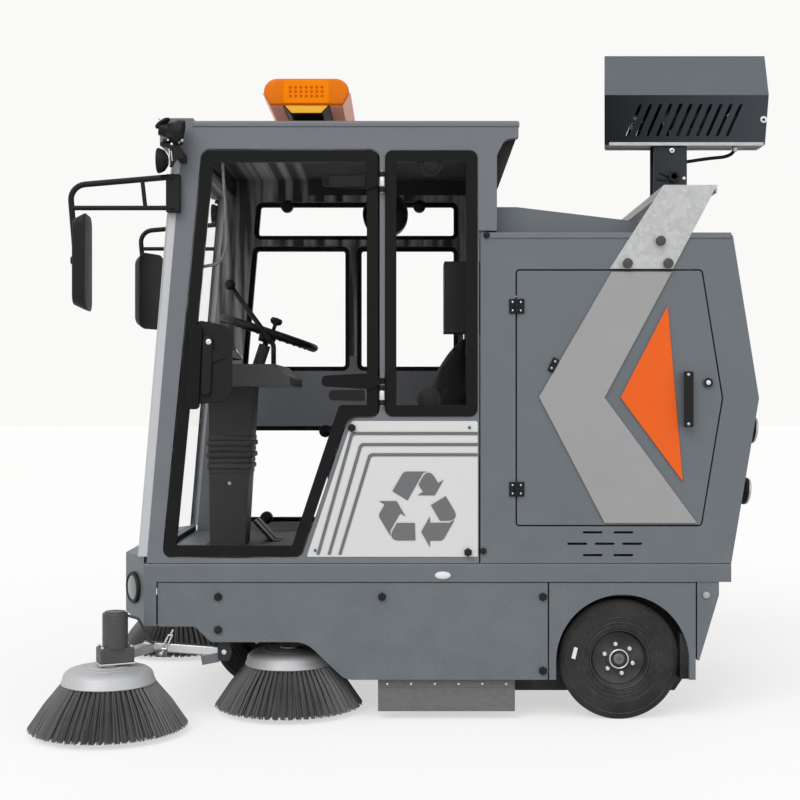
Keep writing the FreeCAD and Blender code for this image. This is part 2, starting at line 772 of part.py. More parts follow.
def cab_side_left():
    """Left cab wall with the openings of the door, quarter window and lower panel."""
    slab = side_plate(cab_side_outline(), -half_width, -half_width + wall)
    cuts = []
    for outline in (grown(door_outline(), seam), quarter_outline(), cover_outline()):
        cuts.append(side_plate(outline, -half_width - 1, -half_width + wall + 1))
    slab = slab.cut(cuts)
    pieces = [slab]
    y = -half_width - hinge_stand
    for z in door_hinge_z:
        pieces += hinge_knuckles(hinge_axis_x, y, z, 60.0, 9.0, 5.0)
        for sign in (-1, 1):
            pieces.append(box(hinge_axis_x - 5, hinge_axis_x + 5, y, -half_width,
                              z + sign * 10.5, z + sign * 30))
    return fused(pieces)


def cab_side_right():
    """Right cab wall with its four windows."""
    slab = side_plate(cab_side_outline(), half_width, half_width - wall)
    cuts = [side_plate(o, half_width + 1, half_width - wall - 1) for o in right_windows()]
    return slab.cut(cuts)


def cab_roof():
    """Roof skin with the header box over the windshield."""
    skin = box(header_back_x, roof_rear_x + roof_lip, -half_width - roof_lip,
               half_width + roof_lip, roof_seam_z, roof_top)
    edges = [e for e in skin.Edges if abs(e.BoundBox.ZMin - roof_top) < 1
             and abs(e.BoundBox.ZMax - roof_top) < 1 and e.BoundBox.XMax > header_back_x + 1]
    skin = skin.makeFillet(10, edges)
    header = box(header_front_x, header_back_x, -half_width, half_width,
                 header_bottom, header_top)
    edges = [e for e in header.Edges if e.BoundBox.XMax < header_front_x + 1]
    header = header.makeFillet(22, edges)
    hollow = box(header_front_x + 12, header_back_x + 1, -half_width + 12, half_width - 12,
                 header_bottom + 8, roof_seam_z)
    return fused([skin, header.cut(hollow)])


def cab_back():
    """Rear wall of the cab with the sloping panel under the roof's overhang."""
    inner_y = half_width - wall
    slab = box(cab_back_x - wall, cab_back_x, -inner_y, inner_y, deck_top, roof_seam_z)
    slope = side_plate([(cab_back_x, roof_seam_z, 0), (roof_rear_x - 6, roof_seam_z, 0),
                        (roof_rear_x - 6, overhang_z, 0),
                        (cab_back_x + 6, overhang_foot_z, 0), (cab_back_x, overhang_foot_z, 0)],
                       -inner_y, inner_y)
    hollow = side_plate([(cab_back_x, roof_seam_z, 0), (roof_rear_x - 14, roof_seam_z, 0),
                         (roof_rear_x - 14, overhang_z + 2, 0),
                         (cab_back_x, overhang_foot_z + 22, 0)], -inner_y + 8, inner_y - 8)
    return fused([slab, slope.cut(hollow)])


def screen_strip(path):
    """A strip of the windshield's plan, raked from the nose to the header."""
    base = nose_top
    face = Part.Face(rounded_wire(path, lambda u, v: V(u, v, base)))
    return face.extrude(V(rake * (header_bottom - base), 0, header_bottom - base))


def windshield():
    """Raked flat windshield between its corner trims."""
    x = glass_x(nose_top)
    w = half_width - 2 - trim_half
    return screen_strip([(x, -w, 0), (x, w, 0), (x + glass_thick, w, 0),
                         (x + glass_thick, -w, 0)])


def screen_trims():
    """Silver trims that close the windshield's rounded corners against the pillars."""
    x = glass_x(nose_top)
    back = x + glass_stand
    w, t, r = half_width - 2, glass_thick, glass_corner
    trim = screen_strip([(back, -w, 0), (x, -w, r), (x, -w + trim_half, 0),
                         (x + t, -w + trim_half, 0), (x + t, -w + t, r - t),
                         (back, -w + t, 0)])
    return both(trim)


def window_frames():
    """Black edgings of the fixed side windows, proud of the walls by a few millimetres."""
    rings = []
    y0, y1 = -door_face, -door_face + door_thick
    outer = side_plate(quarter_outline(), y0, y1)
    rings.append(outer.cut(side_plate(grown(quarter_outline(), -frame_bar), y0 - 1, y1 + 1)))
    for outline in right_windows():
        outer = side_plate(outline, door_face, door_face - door_thick)
        inner = side_plate(grown(outline, -frame_bar / 2), door_face + 1,
                           door_face - door_thick - 1)
        rings.append(outer.cut(inner))
    return Part.makeCompound(rings)


def side_windows():
    """Panes of the fixed side windows, inside their edgings."""
    y = door_face - door_thick / 2
    panes = [side_plate(grown(quarter_outline(), -frame_bar), -y, -y + pane_thick)]
    for outline in right_windows():
        panes.append(side_plate(grown(outline, -frame_bar / 2), y, y - pane_thick))
    return Part.makeCompound(panes)


def side_panel():
    """Removable panel below the quarter window, with a folded edge."""
    return side_plate(cover_outline(), -half_width - 2, -half_width - 2 + cover_thick)


# ---- inside the cab -----------------------------------------------------------------------
def seat_base():
    """Box under the seat, which covers the battery."""
    shell = box(seat_front_x, seat_back_x, -seat_base_half, seat_base_half,
                deck_top, seat_base_top)
    inner = box(seat_front_x + 12, seat_back_x - 12, -seat_base_half + 12, seat_base_half - 12,
                deck_top - 1, seat_base_top - 12)
    return shell.cut(inner)


def battery_pack():
    """The battery as one block on the cab floor."""
    return box(seat_front_x + 30, seat_back_x - 30, -seat_base_half + 30, seat_base_half - 30,
               deck_top, seat_base_top - 40)


def seat_cushion():
    """Seat cushion."""
    return side_plate([(seat_front_x + 10, seat_base_top, 20),
                       (seat_front_x + 10, seat_base_top + cushion_thick, 40),
                       (seat_front_x + 10 + cushion_depth, seat_base_top + cushion_thick, 10),
                       (seat_front_x + 10 + cushion_depth, seat_base_top, 10)],
                      -seat_half, seat_half)


def seat_backrest():
    """Backrest, leaning back above the cushion."""
    foot = seat_base_top + cushion_thick
    front, lumbar, head, rear, rear_foot = backrest_x
    return side_plate([(front, foot, 20), (lumbar, foot + lumbar_rise, 60),
                       (head, backrest_top, 40), (rear, backrest_top - 12, 30),
                       (rear_foot, foot, 10)], -seat_half + 10, seat_half - 10)


def column_axis():
    """Unit vector up the steering column, and the steering wheel's centre."""
    tilt = math.radians(wheel_tilt)
    return V(math.sin(tilt), 0, math.cos(tilt)), V(wheel_centre_x, 0, wheel_centre_z)


def dash_console():
    """Instrument shelf, its pedestal and the steering column's jacket."""
    axis, centre = column_axis()
    shelf = side_plate([(dash_front_x, dash_bottom, 20), (dash_front_x, dash_top, 20),
                        (shelf_nose_x[0], dash_top, 10),
                        (shelf_nose_x[1], dash_top - shelf_step, 10),
                        (dash_rear_x, dash_top - shelf_step - 2, 6),
                        (dash_rear_x, dash_bottom, 6)], -dash_half, dash_half)
    pedestal = side_plate([(pedestal_top_x[0], dash_bottom, 0),
                           (pedestal_top_x[1], dash_bottom, 0),
                           (pedestal_foot_x[1], deck_top, 0),
                           (pedestal_foot_x[0], deck_top, 0)], -column_half, column_half)
    jacket = rod(centre - axis * jacket_span[1], centre - axis * jacket_span[0], jacket_r)
    body = fused([shelf, pedestal, jacket])
    return body.cut(rod(centre - axis * (jacket_span[1] - 10), centre, steer_shaft_r + fit))


def steering_wheel():
    """Rim, three spokes, hub and the shaft in the column."""
    reach = wheel_rim_r - wheel_rim_tube
    hub_r, hub_depth = wheel_hub
    pieces = [Part.makeTorus(reach, wheel_rim_tube),
              Part.makeCylinder(hub_r, hub_depth, V(0, 0, -hub_depth))]
    for turn in (90, 210, 330):
        a = math.radians(turn)
        c, d = math.cos(a), math.sin(a)
        pieces.append(rod((hub_r / 2 * c, hub_r / 2 * d, -hub_depth / 2),
                          (reach * c, reach * d, -2), wheel_spoke_r))
    pieces.append(Part.makeCylinder(steer_shaft_r, jacket_span[1] - hub_depth - 20,
                                    V(0, 0, 20 - jacket_span[1])))
    wheel = fused(pieces)
    axis, centre = column_axis()
    wheel.Placement = FreeCAD.Placement(centre, FreeCAD.Rotation(V(0, 0, 1), axis))
    return wheel


def pedals():
    """Two foot pedals, each on its own bracket on the floor."""
    out = []
    for y in (110.0, 210.0):
        foot = box(-600, -540, y - 30, y + 30, deck_top, deck_top + 8)
        plate = side_plate([(-560, deck_top + 4, 0), (-636, deck_top + 86, 6),
                            (-644, deck_top + 79, 6), (-575, deck_top + 4, 0)], y - 32, y + 32)
        out.append(fused([foot, plate]))
    return Part.makeCompound(out)


def hand_lever():
    """Lever that raises the front brushes, beside the column."""
    knee, top = dash_top + lever_rise[0], dash_top + lever_rise[1]
    stick = bent_tube([(lever_foot_x, lever_y, dash_top), (lever_foot_x, lever_y, knee),
                       (lever_top_x, lever_y, top)], lever_r, lever_bend)
    ball = Part.makeSphere(lever_ball_r, V(lever_top_x, lever_y, top))
    return fused([stick, ball])


def cab_fan():
    """Small round fan hung from the roof."""
    rim = ring((fan_x, -32, fan_z), (fan_x, 32, fan_z), fan_r, fan_r - 6)
    hub = rod((fan_x, -38, fan_z), (fan_x, 60, fan_z), 30)
    bars = [rod((fan_x - (fan_r - 4) * math.cos(math.radians(a)), 0,
                 fan_z - (fan_r - 4) * math.sin(math.radians(a))),
                (fan_x + (fan_r - 4) * math.cos(math.radians(a)), 0,
                 fan_z + (fan_r - 4) * math.sin(math.radians(a))), 4) for a in (0, 60, 120)]
    stem = rod((fan_x, 0, fan_z + fan_r - 4), (fan_x, 0, roof_seam_z), 10)
    return fused([rim, hub, stem] + bars)


def control_box():
    """Electrical box on the cab's rear wall."""
    y0, y1 = control_box_y
    return plan_plate([(control_box_x, y0, 8), (control_box_x, y1, 8),
                       (cab_back_x - wall, y1, 0), (cab_back_x - wall, y0, 0)], *control_box_z)


# ---- housing ------------------------------------------------------------------------------
def housing_outline():
    """Side view of the housing."""
    return [(housing_front_x, deck_top, 0), (housing_front_x, housing_top, 4),
            (housing_top_x, housing_top - 6, 10), (housing_peak_x, housing_peak_z, 10),
            (housing_foot_x, deck_top, 0)]


def service_outline():
    """Side view of a service door."""
    return [(service_front_x, service_bottom, 8), (service_front_x, service_top, 8),
            (service_rear_x, service_top, 10), (service_peak_x, housing_peak_z, 10),
            (service_rear_x - 2, service_bottom, 10)]


def vent_slots():
    """Cutters for the louvres low in the housing wall."""
    rows = [(633.5, (565.0, 667.5)), (595.4, (513.5, 605.0, 697.0)), (557.3, (565.0, 667.5))]
    slots = []
    for z, centres in rows:
        for x in centres:
            slots.append(side_plate([(x - 33, z - 4, 3.9), (x + 33, z - 4, 3.9),
                                     (x + 33, z + 4, 3.9), (x - 33, z + 4, 3.9)],
                                    -half_width - 1, -half_width + panel + 1))
    return slots


service_hinges_z = (778.0, 1389.0)


def housing_sides():
    """Housing walls with door openings, louvres and the fixed halves of the hinges."""
    slab = side_plate(housing_outline(), -half_width, -half_width + panel)
    hole = side_plate(grown(service_outline(), seam), -half_width - 1, -half_width + panel + 1)
    slab = slab.cut([hole] + vent_slots())
    pieces = [slab]
    x, y = service_front_x - 2, -half_width - 9
    for z in service_hinges_z:
        pieces += hinge_knuckles(x, y, z, 48.0, 6.0, 3.0)
        for sign in (-1, 1):
            pieces.append(box(x - 24, x - 2, y + 4, -half_width, z + sign * 8.5, z + sign * 24))
    return both(fused(pieces))


def service_door(side):
    """Service door with its raised chevron and triangle plates, handle and hinges."""
    slab = side_plate(service_outline(), -half_width, -half_width + panel)
    chevron = side_plate([(626.0, service_top - 5, 0), (828.0, service_top - 5, 0),
                          (604.0, housing_peak_z + 2, 0), (911.0, service_bottom + 7, 0),
                          (604.0, service_bottom + 7, 0), (386.0, housing_peak_z + 4, 0)],
                         -half_width - chevron_thick, -half_width)
    triangle = side_plate([(814.0, 1392.0, 0), (657.0, housing_peak_z + 2, 0), (865.0, 803.0, 0)],
                          -half_width - chevron_thick + 2, -half_width)
    grip = side_plate([(860.0, 985.0, 8), (860.0, 1172.0, 8), (895.0, 1172.0, 8),
                       (895.0, 985.0, 8)], -half_width - 38, -half_width - 30)
    posts = [rod((877.5, -half_width - 31, z), (877.5, -half_width, z), 9)
             for z in (1005.0, 1152.0)]
    lock = rod((950.0, -half_width - 8, 1134.0), (950.0, -half_width, 1134.0), 17)
    pieces = [slab, chevron, triangle, grip, lock] + posts
    x, y = service_front_x - 2, -half_width - 9
    for z in service_hinges_z:
        pieces.append(ring((x, y, z - 7.5), (x, y, z + 7.5), 6.0, 3.0 + fit))
        leaf = box(x, x + 26, y + 4, -half_width, z - 7.5, z + 7.5)
        pieces.append(leaf.cut(rod((x, y, z - 9), (x, y, z + 9), 6.0)))
    door = fused(pieces)
    return door if side < 0 else mirrored(door)


def slope_point(along, out=0.0):
    """A point on the upper rear face, measured down the slope and outwards from it."""
    run = V(housing_peak_x - housing_top_x, 0, housing_peak_z - (housing_top - 6))
    length = run.Length
    down = run / length
    normal = V(-down.z, 0, down.x)
    return V(housing_top_x, 0, housing_top - 6) + down * along + normal * out


def slope_plate(along0, along1, out0, out1, y0, y1):
    """A slab lying in the upper rear face."""
    a, b = slope_point(along0, out0), slope_point(along1, out0)
    c, d = slope_point(along1, out1), slope_point(along0, out1)
    return side_plate([(p.x, p.z, 0) for p in (a, b, c, d)], y0, y1)


hatch_hinge_y = 250.0


def hatch_axis():
    """Hinge axis of the rear hatch, just above its top edge."""
    return slope_point(hatch_near - 8, 10)


def housing_back():
    """Bent rear wall with the hatch opening and the fixed halves of its hinges."""
    inner = half_width - panel
    t = panel
    outer = [(housing_top_x, housing_top - 6), (housing_peak_x, housing_peak_z),
             (housing_foot_x, deck_top)]
    inside = [(housing_foot_x - t, deck_top), (housing_peak_x - t, housing_peak_z),
              (housing_top_x - t, housing_top - 6)]
    skin = side_plate([(x, z, 0) for x, z in outer + inside], -inner, inner)
    hole = slope_plate(hatch_near - seam, hatch_far + seam, 1, -t - 8,
                       -hatch_half - seam, hatch_half + seam)
    skin = skin.cut(hole)
    axis = hatch_axis()
    pieces = [skin]
    for side in (-1, 1):
        y = side * hatch_hinge_y
        for a, b in ((-40, -14), (14, 40)):
            pieces.append(rod((axis.x, y + a, axis.z), (axis.x, y + b, axis.z), 8))
            pieces.append(slope_plate(hatch_near - 30, hatch_near - 10, 0, 8, y + a, y + b))
        pieces.append(rod((axis.x, y - 40, axis.z), (axis.x, y + 40, axis.z), 4))
    return fused(pieces)


def rear_hatch():
    """Hatch in the upper rear face, hung from its top edge."""
    slab = slope_plate(hatch_near, hatch_far, 0, -hatch_thick, -hatch_half, hatch_half)
    rib = slope_plate(hatch_near + 40, hatch_far - 40, 4, 0, -hatch_half + 60, hatch_half - 60)
    grip_out = slope_plate(hatch_far - 62, hatch_far - 48, 34, 0, -90, 90)
    grip_in = slope_plate(hatch_far - 63, hatch_far - 47, 24, 4, -78, 78)
    axis = hatch_axis()
    pieces = [slab, rib, grip_out.cut(grip_in)]
    for side in (-1, 1):
        y = side * hatch_hinge_y
        knuckle = ring((axis.x, y - 13, axis.z), (axis.x, y + 13, axis.z), 8, 4 + fit)
        leaf = slope_plate(hatch_near - 8, hatch_near + 34, 7, 0, y - 13, y + 13)
        leaf = leaf.cut(rod((axis.x, y - 14, axis.z), (axis.x, y + 14, axis.z), 7.5))
        keep = slope_plate(hatch_near, hatch_near + 34, 8, -1, y - 13, y + 13)
        bridge = slope_plate(hatch_near - 4, hatch_near + 4, 14, 4, y - 13, y + 13)
        bridge = bridge.cut(rod((axis.x, y - 14, axis.z), (axis.x, y + 14, axis.z), 7.5))
        pieces += [knuckle, leaf.common(keep), bridge]
    return fused(pieces)


def housing_top_cover():
    """Top of the housing with the sloping hump behind the cab."""
    inner = half_width - panel
    front = cab_back_x + 1
    plate = box(front, housing_top_x - panel, -inner, inner, housing_top - 20, housing_top - 2)
    hump = side_plate([(front, housing_top - 20, 0), (front, hump_top, 8),
                       (hump_flat_x, hump_top, 20), (hump_rear_x, hump_rear_z, 10),
                       (hump_rear_x + 24, housing_top - 20, 0)], -hump_half, hump_half)
    hollow = side_plate([(front + 10, housing_top - 30, 0), (front + 10, hump_top - 10, 0),
                         (hump_flat_x, hump_top - 10, 0), (hump_rear_x - 12, hump_rear_z - 10, 0),
                         (hump_rear_x + 10, housing_top - 30, 0)],
                        -hump_half + 10, hump_half - 10)
    return fused([plate, hump]).cut(hollow)


def dust_bin():
    """Open-topped bin over the debris chute."""
    shell = box(bin_front_x, bin_rear_x, -bin_half, bin_half, deck_top, bin_top)
    inner = box(bin_front_x + bin_wall, bin_rear_x - bin_wall, -bin_half + bin_wall,
                bin_half - bin_wall, deck_top + bin_wall, bin_top + 1)
    mouth = box(chute_front_x + bin_wall, chute_rear_x, -chute_half, chute_half,
                deck_top - 1, deck_top + bin_wall + 1)
    return shell.cut([inner, mouth])


def support_arch():
    """Galvanised band up both sides and across the top of the housing."""
    out = half_width + arch_plate
    leg = side_plate([(arch_foot_x[0], arch_foot_z, 0), (arch_foot_x[1], arch_foot_z, 0),
                      (arch_head_x[1], arch_head_z, 6), (arch_head_x[0], arch_head_z, 6)],
                     -out, -half_width)
    beam = box(arch_head_x[0], arch_head_x[1], -out, out, arch_head_z - arch_plate, arch_head_z)
    lips = [box(x, x + arch_plate, -out, out, arch_head_z - arch_flange, arch_head_z)
            for x in (arch_head_x[0], arch_head_x[1] - arch_plate)]
    bolts = [rod((x, -out - arch_bolt_head, z), (x, -out, z), arch_bolt_r)
             for x, z in arch_bolts]
    left = fused([leg] + bolts)
    return fused([beam, left, mirrored(left)] + lips)


def spray_post():
    """Two upright plates on the arch, with the pin that the spray unit tilts on."""
    half, wide, thick = post_foot
    z0 = arch_head_z + thick
    top = pivot_z + post_half
    pieces = [box(pivot_x - half, arch_head_x[1] - 2, -wide, wide, arch_head_z, z0)]
    for side in (-1, 1):
        pieces.append(side_plate([(pivot_x - half + 4, z0 - 1, 0), (arch_head_x[1] - 8, z0 - 1, 0),
                                  (pivot_x + post_half, top, 22), (pivot_x - post_half, top, 22)],
                                 side * post_plate_y[0], side * post_plate_y[1]))
    reach = tongue_y[1] + knob_stand
    pieces.append(rod((pivot_x, -reach, pivot_z), (pivot_x, reach, pivot_z), pivot_pin_r))
    pieces.append(rod((pivot_x, -reach, pivot_z), (pivot_x, -tongue_y[1] - 5, pivot_z), knob_r))
    return fused(pieces)


def spray_section(inset):
    """Front view of the spray unit's case, widest at its fold."""
    foot, fold, ridge = spray_foot_half, spray_half, spray_ridge_half
    low, mid, high = spray_bottom + inset, spray_fold, spray_top - inset
    return [(-foot + inset, low, 0), (-fold + inset, mid, 0), (-ridge + inset * 0.7, high, 0),
            (ridge - inset * 0.7, high, 0), (fold - inset, mid, 0), (foot - inset, low, 0)]


def spray_front(inset):
    """Block ahead of the case's slanting front end."""
    x, skew, y = spray_front_x + inset, spray_skew, spray_half
    return plan_plate([(x - skew, -2 * y, 0), (x - skew / 2, -2 * y, 0),
                       (x + skew * 1.5, 2 * y, 0), (x - skew, 2 * y, 0)],
                      spray_bottom - 1, spray_top + 1)


def spray_tongue():
    """Two plates under the case, and the web between them, that hang on the pivot."""
    x0, x1 = pivot_x + tongue_x[0], pivot_x + tongue_x[1]
    y0, y1 = tongue_y
    foot = pivot_z - tongue_drop
    top = spray_bottom + spray_sheet / 2
    plates = [side_plate([(x0, foot, 10), (x0, top, 0), (x1, top, 0), (x1, foot, 10)],
                         side * y0, side * y1) for side in (-1, 1)]
    web_x, web_z = pivot_x + tongue_web[0], pivot_z + tongue_web[1]
    web = box(web_x, web_x + spray_sheet, -y0 - 1, y0 + 1, web_z, top)
    bore = rod((pivot_x, -y1 - 1, pivot_z), (pivot_x, y1 + 1, pivot_z), pivot_pin_r + fit)
    return [plate.cut(bore) for plate in plates] + [web]


def spray_box():
    """Louvred case of the mist blower with its fan motor and clamping tongue."""
    t = spray_sheet
    case = cross_plate(spray_section(0), spray_front_x, spray_rear_x).cut(spray_front(0))
    inside = cross_plate(spray_section(t), spray_front_x, spray_rear_x - t).cut(spray_front(t))
    mouth_z = spray_bottom + mouth_rise
    mouths = rod((spray_front_x - 1, 0, mouth_z), (spray_rear_x + 1, 0, mouth_z), mouth_r)
    louvres = []
    z0, z1 = spray_bottom + louvre_z[0], spray_bottom + louvre_z[1]
    for i in range(louvre_count):
        low, high = louvre_x[0] + i * louvre_pitch, louvre_x[1] + i * louvre_pitch
        louvres.append(side_plate([(low, z0, 4), (low + louvre_width, z0, 4),
                                   (high + louvre_width, z1, 4), (high, z1, 4)],
                                  -spray_half - 1, spray_half + 1))
    case = case.cut([inside, mouths] + louvres)
    motor = rod((fan_motor_x[0], 0, mouth_z), (fan_motor_x[1], 0, mouth_z), fan_motor_r)
    stand = box(fan_motor_x[0] + motor_stand, fan_motor_x[1] - motor_stand, -motor_stand,
                motor_stand, spray_bottom + 2, mouth_z - fan_motor_r + 6)
    return fused([case, motor, stand] + spray_tongue())


def spray_cable():
    """Cable from the case's floor to the web of the tongue."""
    x0, z0 = cable_exit_x, spray_bottom
    web = pivot_x + tongue_web[0] + spray_sheet
    points = [(x0, 0, z0)] + [(x0 + dx, 0, z0 + dz) for dx, dz in cable_route]
    points.append((web, 0, z0 + cable_route[-1][1]))
    return eased_tube(points, cable_r)


# ---- running gear -------------------------------------------------------------------------
def tyre(x, y, z=tyre_r):
    """Tyre with rounded shoulders on its rim seat."""
    h = tyre_width / 2
    profile = [(bead_r, -h + 8), (bead_r + 22, -h + 1), (150.0, -h), (tyre_r - 26, -h + 3),
               (tyre_r - 8, -h + 12), (tyre_r - 1, -h + 22), (tyre_r, -h + 32),
               (tyre_r, h - 32), (tyre_r - 1, h - 22), (tyre_r - 8, h - 12),
               (tyre_r - 26, h - 3), (150.0, h), (bead_r + 22, h - 1), (bead_r, h - 8)]
    return turned(profile, (x, y, z), (0, 1, 0))


def rim(x, y, bore, outward, z=tyre_r):
    """Pressed steel disc wheel: dished disc, rim bands, hub and nuts."""
    h = tyre_width / 2 - 8
    o = outward
    profile = [(bore, -20 * o), (46.0, -20 * o), (46.0, 4 * o), (84.0, 14 * o),
               (88.0, -h * o + 6 * o), (bead_r, -h * o),
               (bead_r, h * o), (92.0, h * o), (90.0, 22 * o), (40.0, 14 * o),
               (40.0, 34 * o), (bore, 34 * o)]
    disc = turned(profile, (x, y, z), (0, 1, 0))
    nuts = []
    for i in range(6):
        a = math.radians(60 * i + 30)
        nx, nz = x + 58 * math.cos(a), z + 58 * math.sin(a)
        nuts.append(rod((nx, y + 8 * o, nz), (nx, y + 26 * o, nz), 8))
    return fused([disc] + nuts)


def rear_axle():
    """Drive axle with its gear case and the spindles of the rear wheels."""
    reach = wheel_y - 28
    beam = box(rear_axle_x - axle_half, rear_axle_x + axle_half, -reach, reach,
               tyre_r - axle_half, tyre_r + axle_half)
    case = rod((rear_axle_x, -90, tyre_r), (rear_axle_x, 90, tyre_r), 88)
    motor = rod((rear_axle_x + 20, 40, tyre_r + 10), (rear_axle_x + 230, 40, tyre_r + 10), 75)
    spindles = [rod((rear_axle_x, side * (reach - 5), tyre_r),
                    (rear_axle_x, side * (wheel_y + 32), tyre_r), spindle_r) for side in (-1, 1)]
    return fused([beam, case, motor] + spindles)


def front_fork():
    """Steered fork: stem, crown, two legs and the wheel's spindle."""
    inner = tyre_width / 2 + fork_gap
    outer = inner + fork_leg
    crown_z = 2 * tyre_r + 8
    stem = rod((steer_axis_x, 0, crown_z + 6), (steer_axis_x, 0, deck_top - floor_thick - 6),
               steer_stem_r)
    collar = rod((steer_axis_x, 0, crown_z), (steer_axis_x, 0, frame_bottom + 7), 40)
    crown = plan_plate([(steer_axis_x - 45, -outer, 8), (front_axle_x + 45, -outer, 8),
                        (front_axle_x + 45, outer, 8), (steer_axis_x - 45, outer, 8)],
                       crown_z, crown_z + 8)
    pieces = [stem, collar, crown]
    for side in (-1, 1):
        pieces.append(side_plate([(steer_axis_x - 40, crown_z + 8, 0),
                                  (front_axle_x + 40, crown_z + 8, 0),
                                  (front_axle_x + 34, tyre_r - 30, 24),
                                  (front_axle_x - 34, tyre_r - 30, 24)],
                                 side * inner, side * outer))
    pieces.append(rod((front_axle_x, -outer - 6, tyre_r), (front_axle_x, outer + 6, tyre_r), 16))
    return fused(pieces)


# ---- brushes ------------------------------------------------------------------------------
def side_brush(x, y):
    """Cup with its hub and the flared ring of bristles."""
    b = drive_shaft_r + fit
    rim_z = tip_height + cup_height
    root, width = bristle_root
    profile = [(b, cup_top_z + hub_rise), (hub_r, cup_top_z + hub_rise), (hub_r, cup_top_z),
               (cup_flat_r, cup_top_z - 2), (cup_r - 18, cup_top_z - cup_shoulder + 4),
               (cup_r - 9, cup_top_z - cup_shoulder - 6), (cup_r, rim_z),
               (disc_r, tip_height), (disc_r - width, tip_height), (root, rim_z),
               (root, rim_z + 24), (b, rim_z + 24)]
    return turned(profile, (x, y, 0), (0, 0, 1))


def brush_drive(x, y, turn=0.0):
    """Gear case, motor and drive shaft over a side brush."""
    lx, ly, lz = gearbox_size
    cx = x + gear_offset
    case = box(cx - lx / 2, cx + lx / 2, y - ly / 2, y + ly / 2, gearbox_z, gearbox_z + lz)
    case.rotate(V(x + gear_offset / 2, y, 0), V(0, 0, 1), turn)
    motor = rod((cx, y, gearbox_z + lz - 1), (cx, y, drive_top), drive_r)
    shaft = rod((x, y, cup_top_z - 36), (x, y, gearbox_z + 1), drive_shaft_r)
    return [case, motor, shaft]


def brush_drives():
    """Drives of the middle brushes on brackets under the frame."""
    x, y = mid_brush_x, -mid_brush_y
    cx = x + gear_offset
    post = box(cx - mount_post, cx + mount_post, -inner_beam_y, y + gearbox_size[1] / 2,
               gearbox_z + 6, frame_bottom)
    return both(fused(brush_drive(x, y) + [post]))


def front_arm(side):
    """Arm that carries a front brush and its drive; it lifts about its rear pin."""
    t = arm_tube / 2
    px, pz = arm_pivot_x, arm_pivot_z
    end_x = arm_elbow_x - arm_inset
    tube = side_plate([(px + arm_inset, pz - t, 8), (px + arm_inset, pz + t, 8),
                       (end_x, pz + t + arm_rise, 4), (end_x, pz - t + arm_rise, 4)],
                      -arm_y - t, -arm_y + t)
    fx, fy = front_brush_x + gear_offset, -front_brush_y
    dx, dy = fx - arm_elbow_x, fy + arm_y
    run = math.hypot(dx, dy)
    nx, ny = -dy / run * link_half, dx / run * link_half
    foot = gearbox_z + link_rise
    link = plan_plate([(arm_elbow_x + nx, -arm_y + ny, 10), (arm_elbow_x - nx, -arm_y - ny, 10),
                       (fx - nx, fy - ny, 4), (fx + nx, fy + ny, 4)], foot, foot + link_thick)
    arm = fused([tube, link] + brush_drive(front_brush_x, fy, gear_turn))
    arm = arm.cut(rod((px, -arm_y - t - 1, pz), (px, -arm_y + t + 1, pz), arm_pin_r + fit))
    return arm if side < 0 else mirrored(arm)


def main_roller():
    """Cylindrical brush across the machine with its stub shafts."""
    brush = ring((roller_x, -roller_half, roller_z), (roller_x, roller_half, roller_z),
                 roller_r, roller_core_r)
    core = rod((roller_x, -roller_half - 6, roller_z), (roller_x, roller_half + 6, roller_z),
               roller_core_r)
    shaft = rod((roller_x, -roller_half - 24, roller_z), (roller_x, roller_half + 24, roller_z),
                roller_shaft_r)
    return fused([brush, core, shaft])


def brush_hood():
    """Chamber round the roller brush, with its slot to the chute."""
    y_in = roller_half + hood_gap
    y_out = y_in + sheet
    top = frame_bottom
    shell = box(hood_front_x, hood_rear_x, -y_out, y_out, hood_bottom, top)
    inner = box(hood_front_x + sheet, hood_rear_x - sheet, -y_in, y_in, hood_bottom - 1,
                top - sheet)
    slot = box(chute_front_x, chute_rear_x, -chute_half, chute_half, top - sheet - 1, top + 1)
    shaft = rod((roller_x, -y_out - 8, roller_z), (roller_x, y_out + 8, roller_z),
                roller_shaft_r + fit)
    return shell.cut([inner, slot, shaft])


def duct_piece():
    """Square duct from the chamber's slot to the bin."""
    y = chute_half + sheet
    duct = box(chute_front_x - sheet, chute_rear_x + sheet - 1, -y, y, frame_bottom,
               deck_top - floor_thick)
    return duct.cut(box(chute_front_x, chute_rear_x, -chute_half, chute_half,
                        frame_bottom - 1, deck_top))


def chamber_sheets():
    """Duct to the bin, and hanging sheets on brackets beside the roller."""
    y_out = roller_half + hood_gap + sheet
    x0, x1 = flap_x
    top = skirt_bottom + flap_rise
    sheets = [duct_piece()]
    for side in (-1, 1):
        sheet_piece = box(x0, x1, side * flap_y, side * (flap_y - sheet), flap_bottom, top)
        shelf = box(x0 + flap_inset, x1 - flap_inset, side * y_out, side * flap_y,
                    top - 2 * sheet, top)
        notch = rod((roller_x, side * (y_out - 1), roller_z),
                    (roller_x, side * (y_out + 8), roller_z), roller_shaft_r + fit)
        sheets.append(fused([sheet_piece, shelf]).cut(notch))
    return Part.makeCompound(sheets)


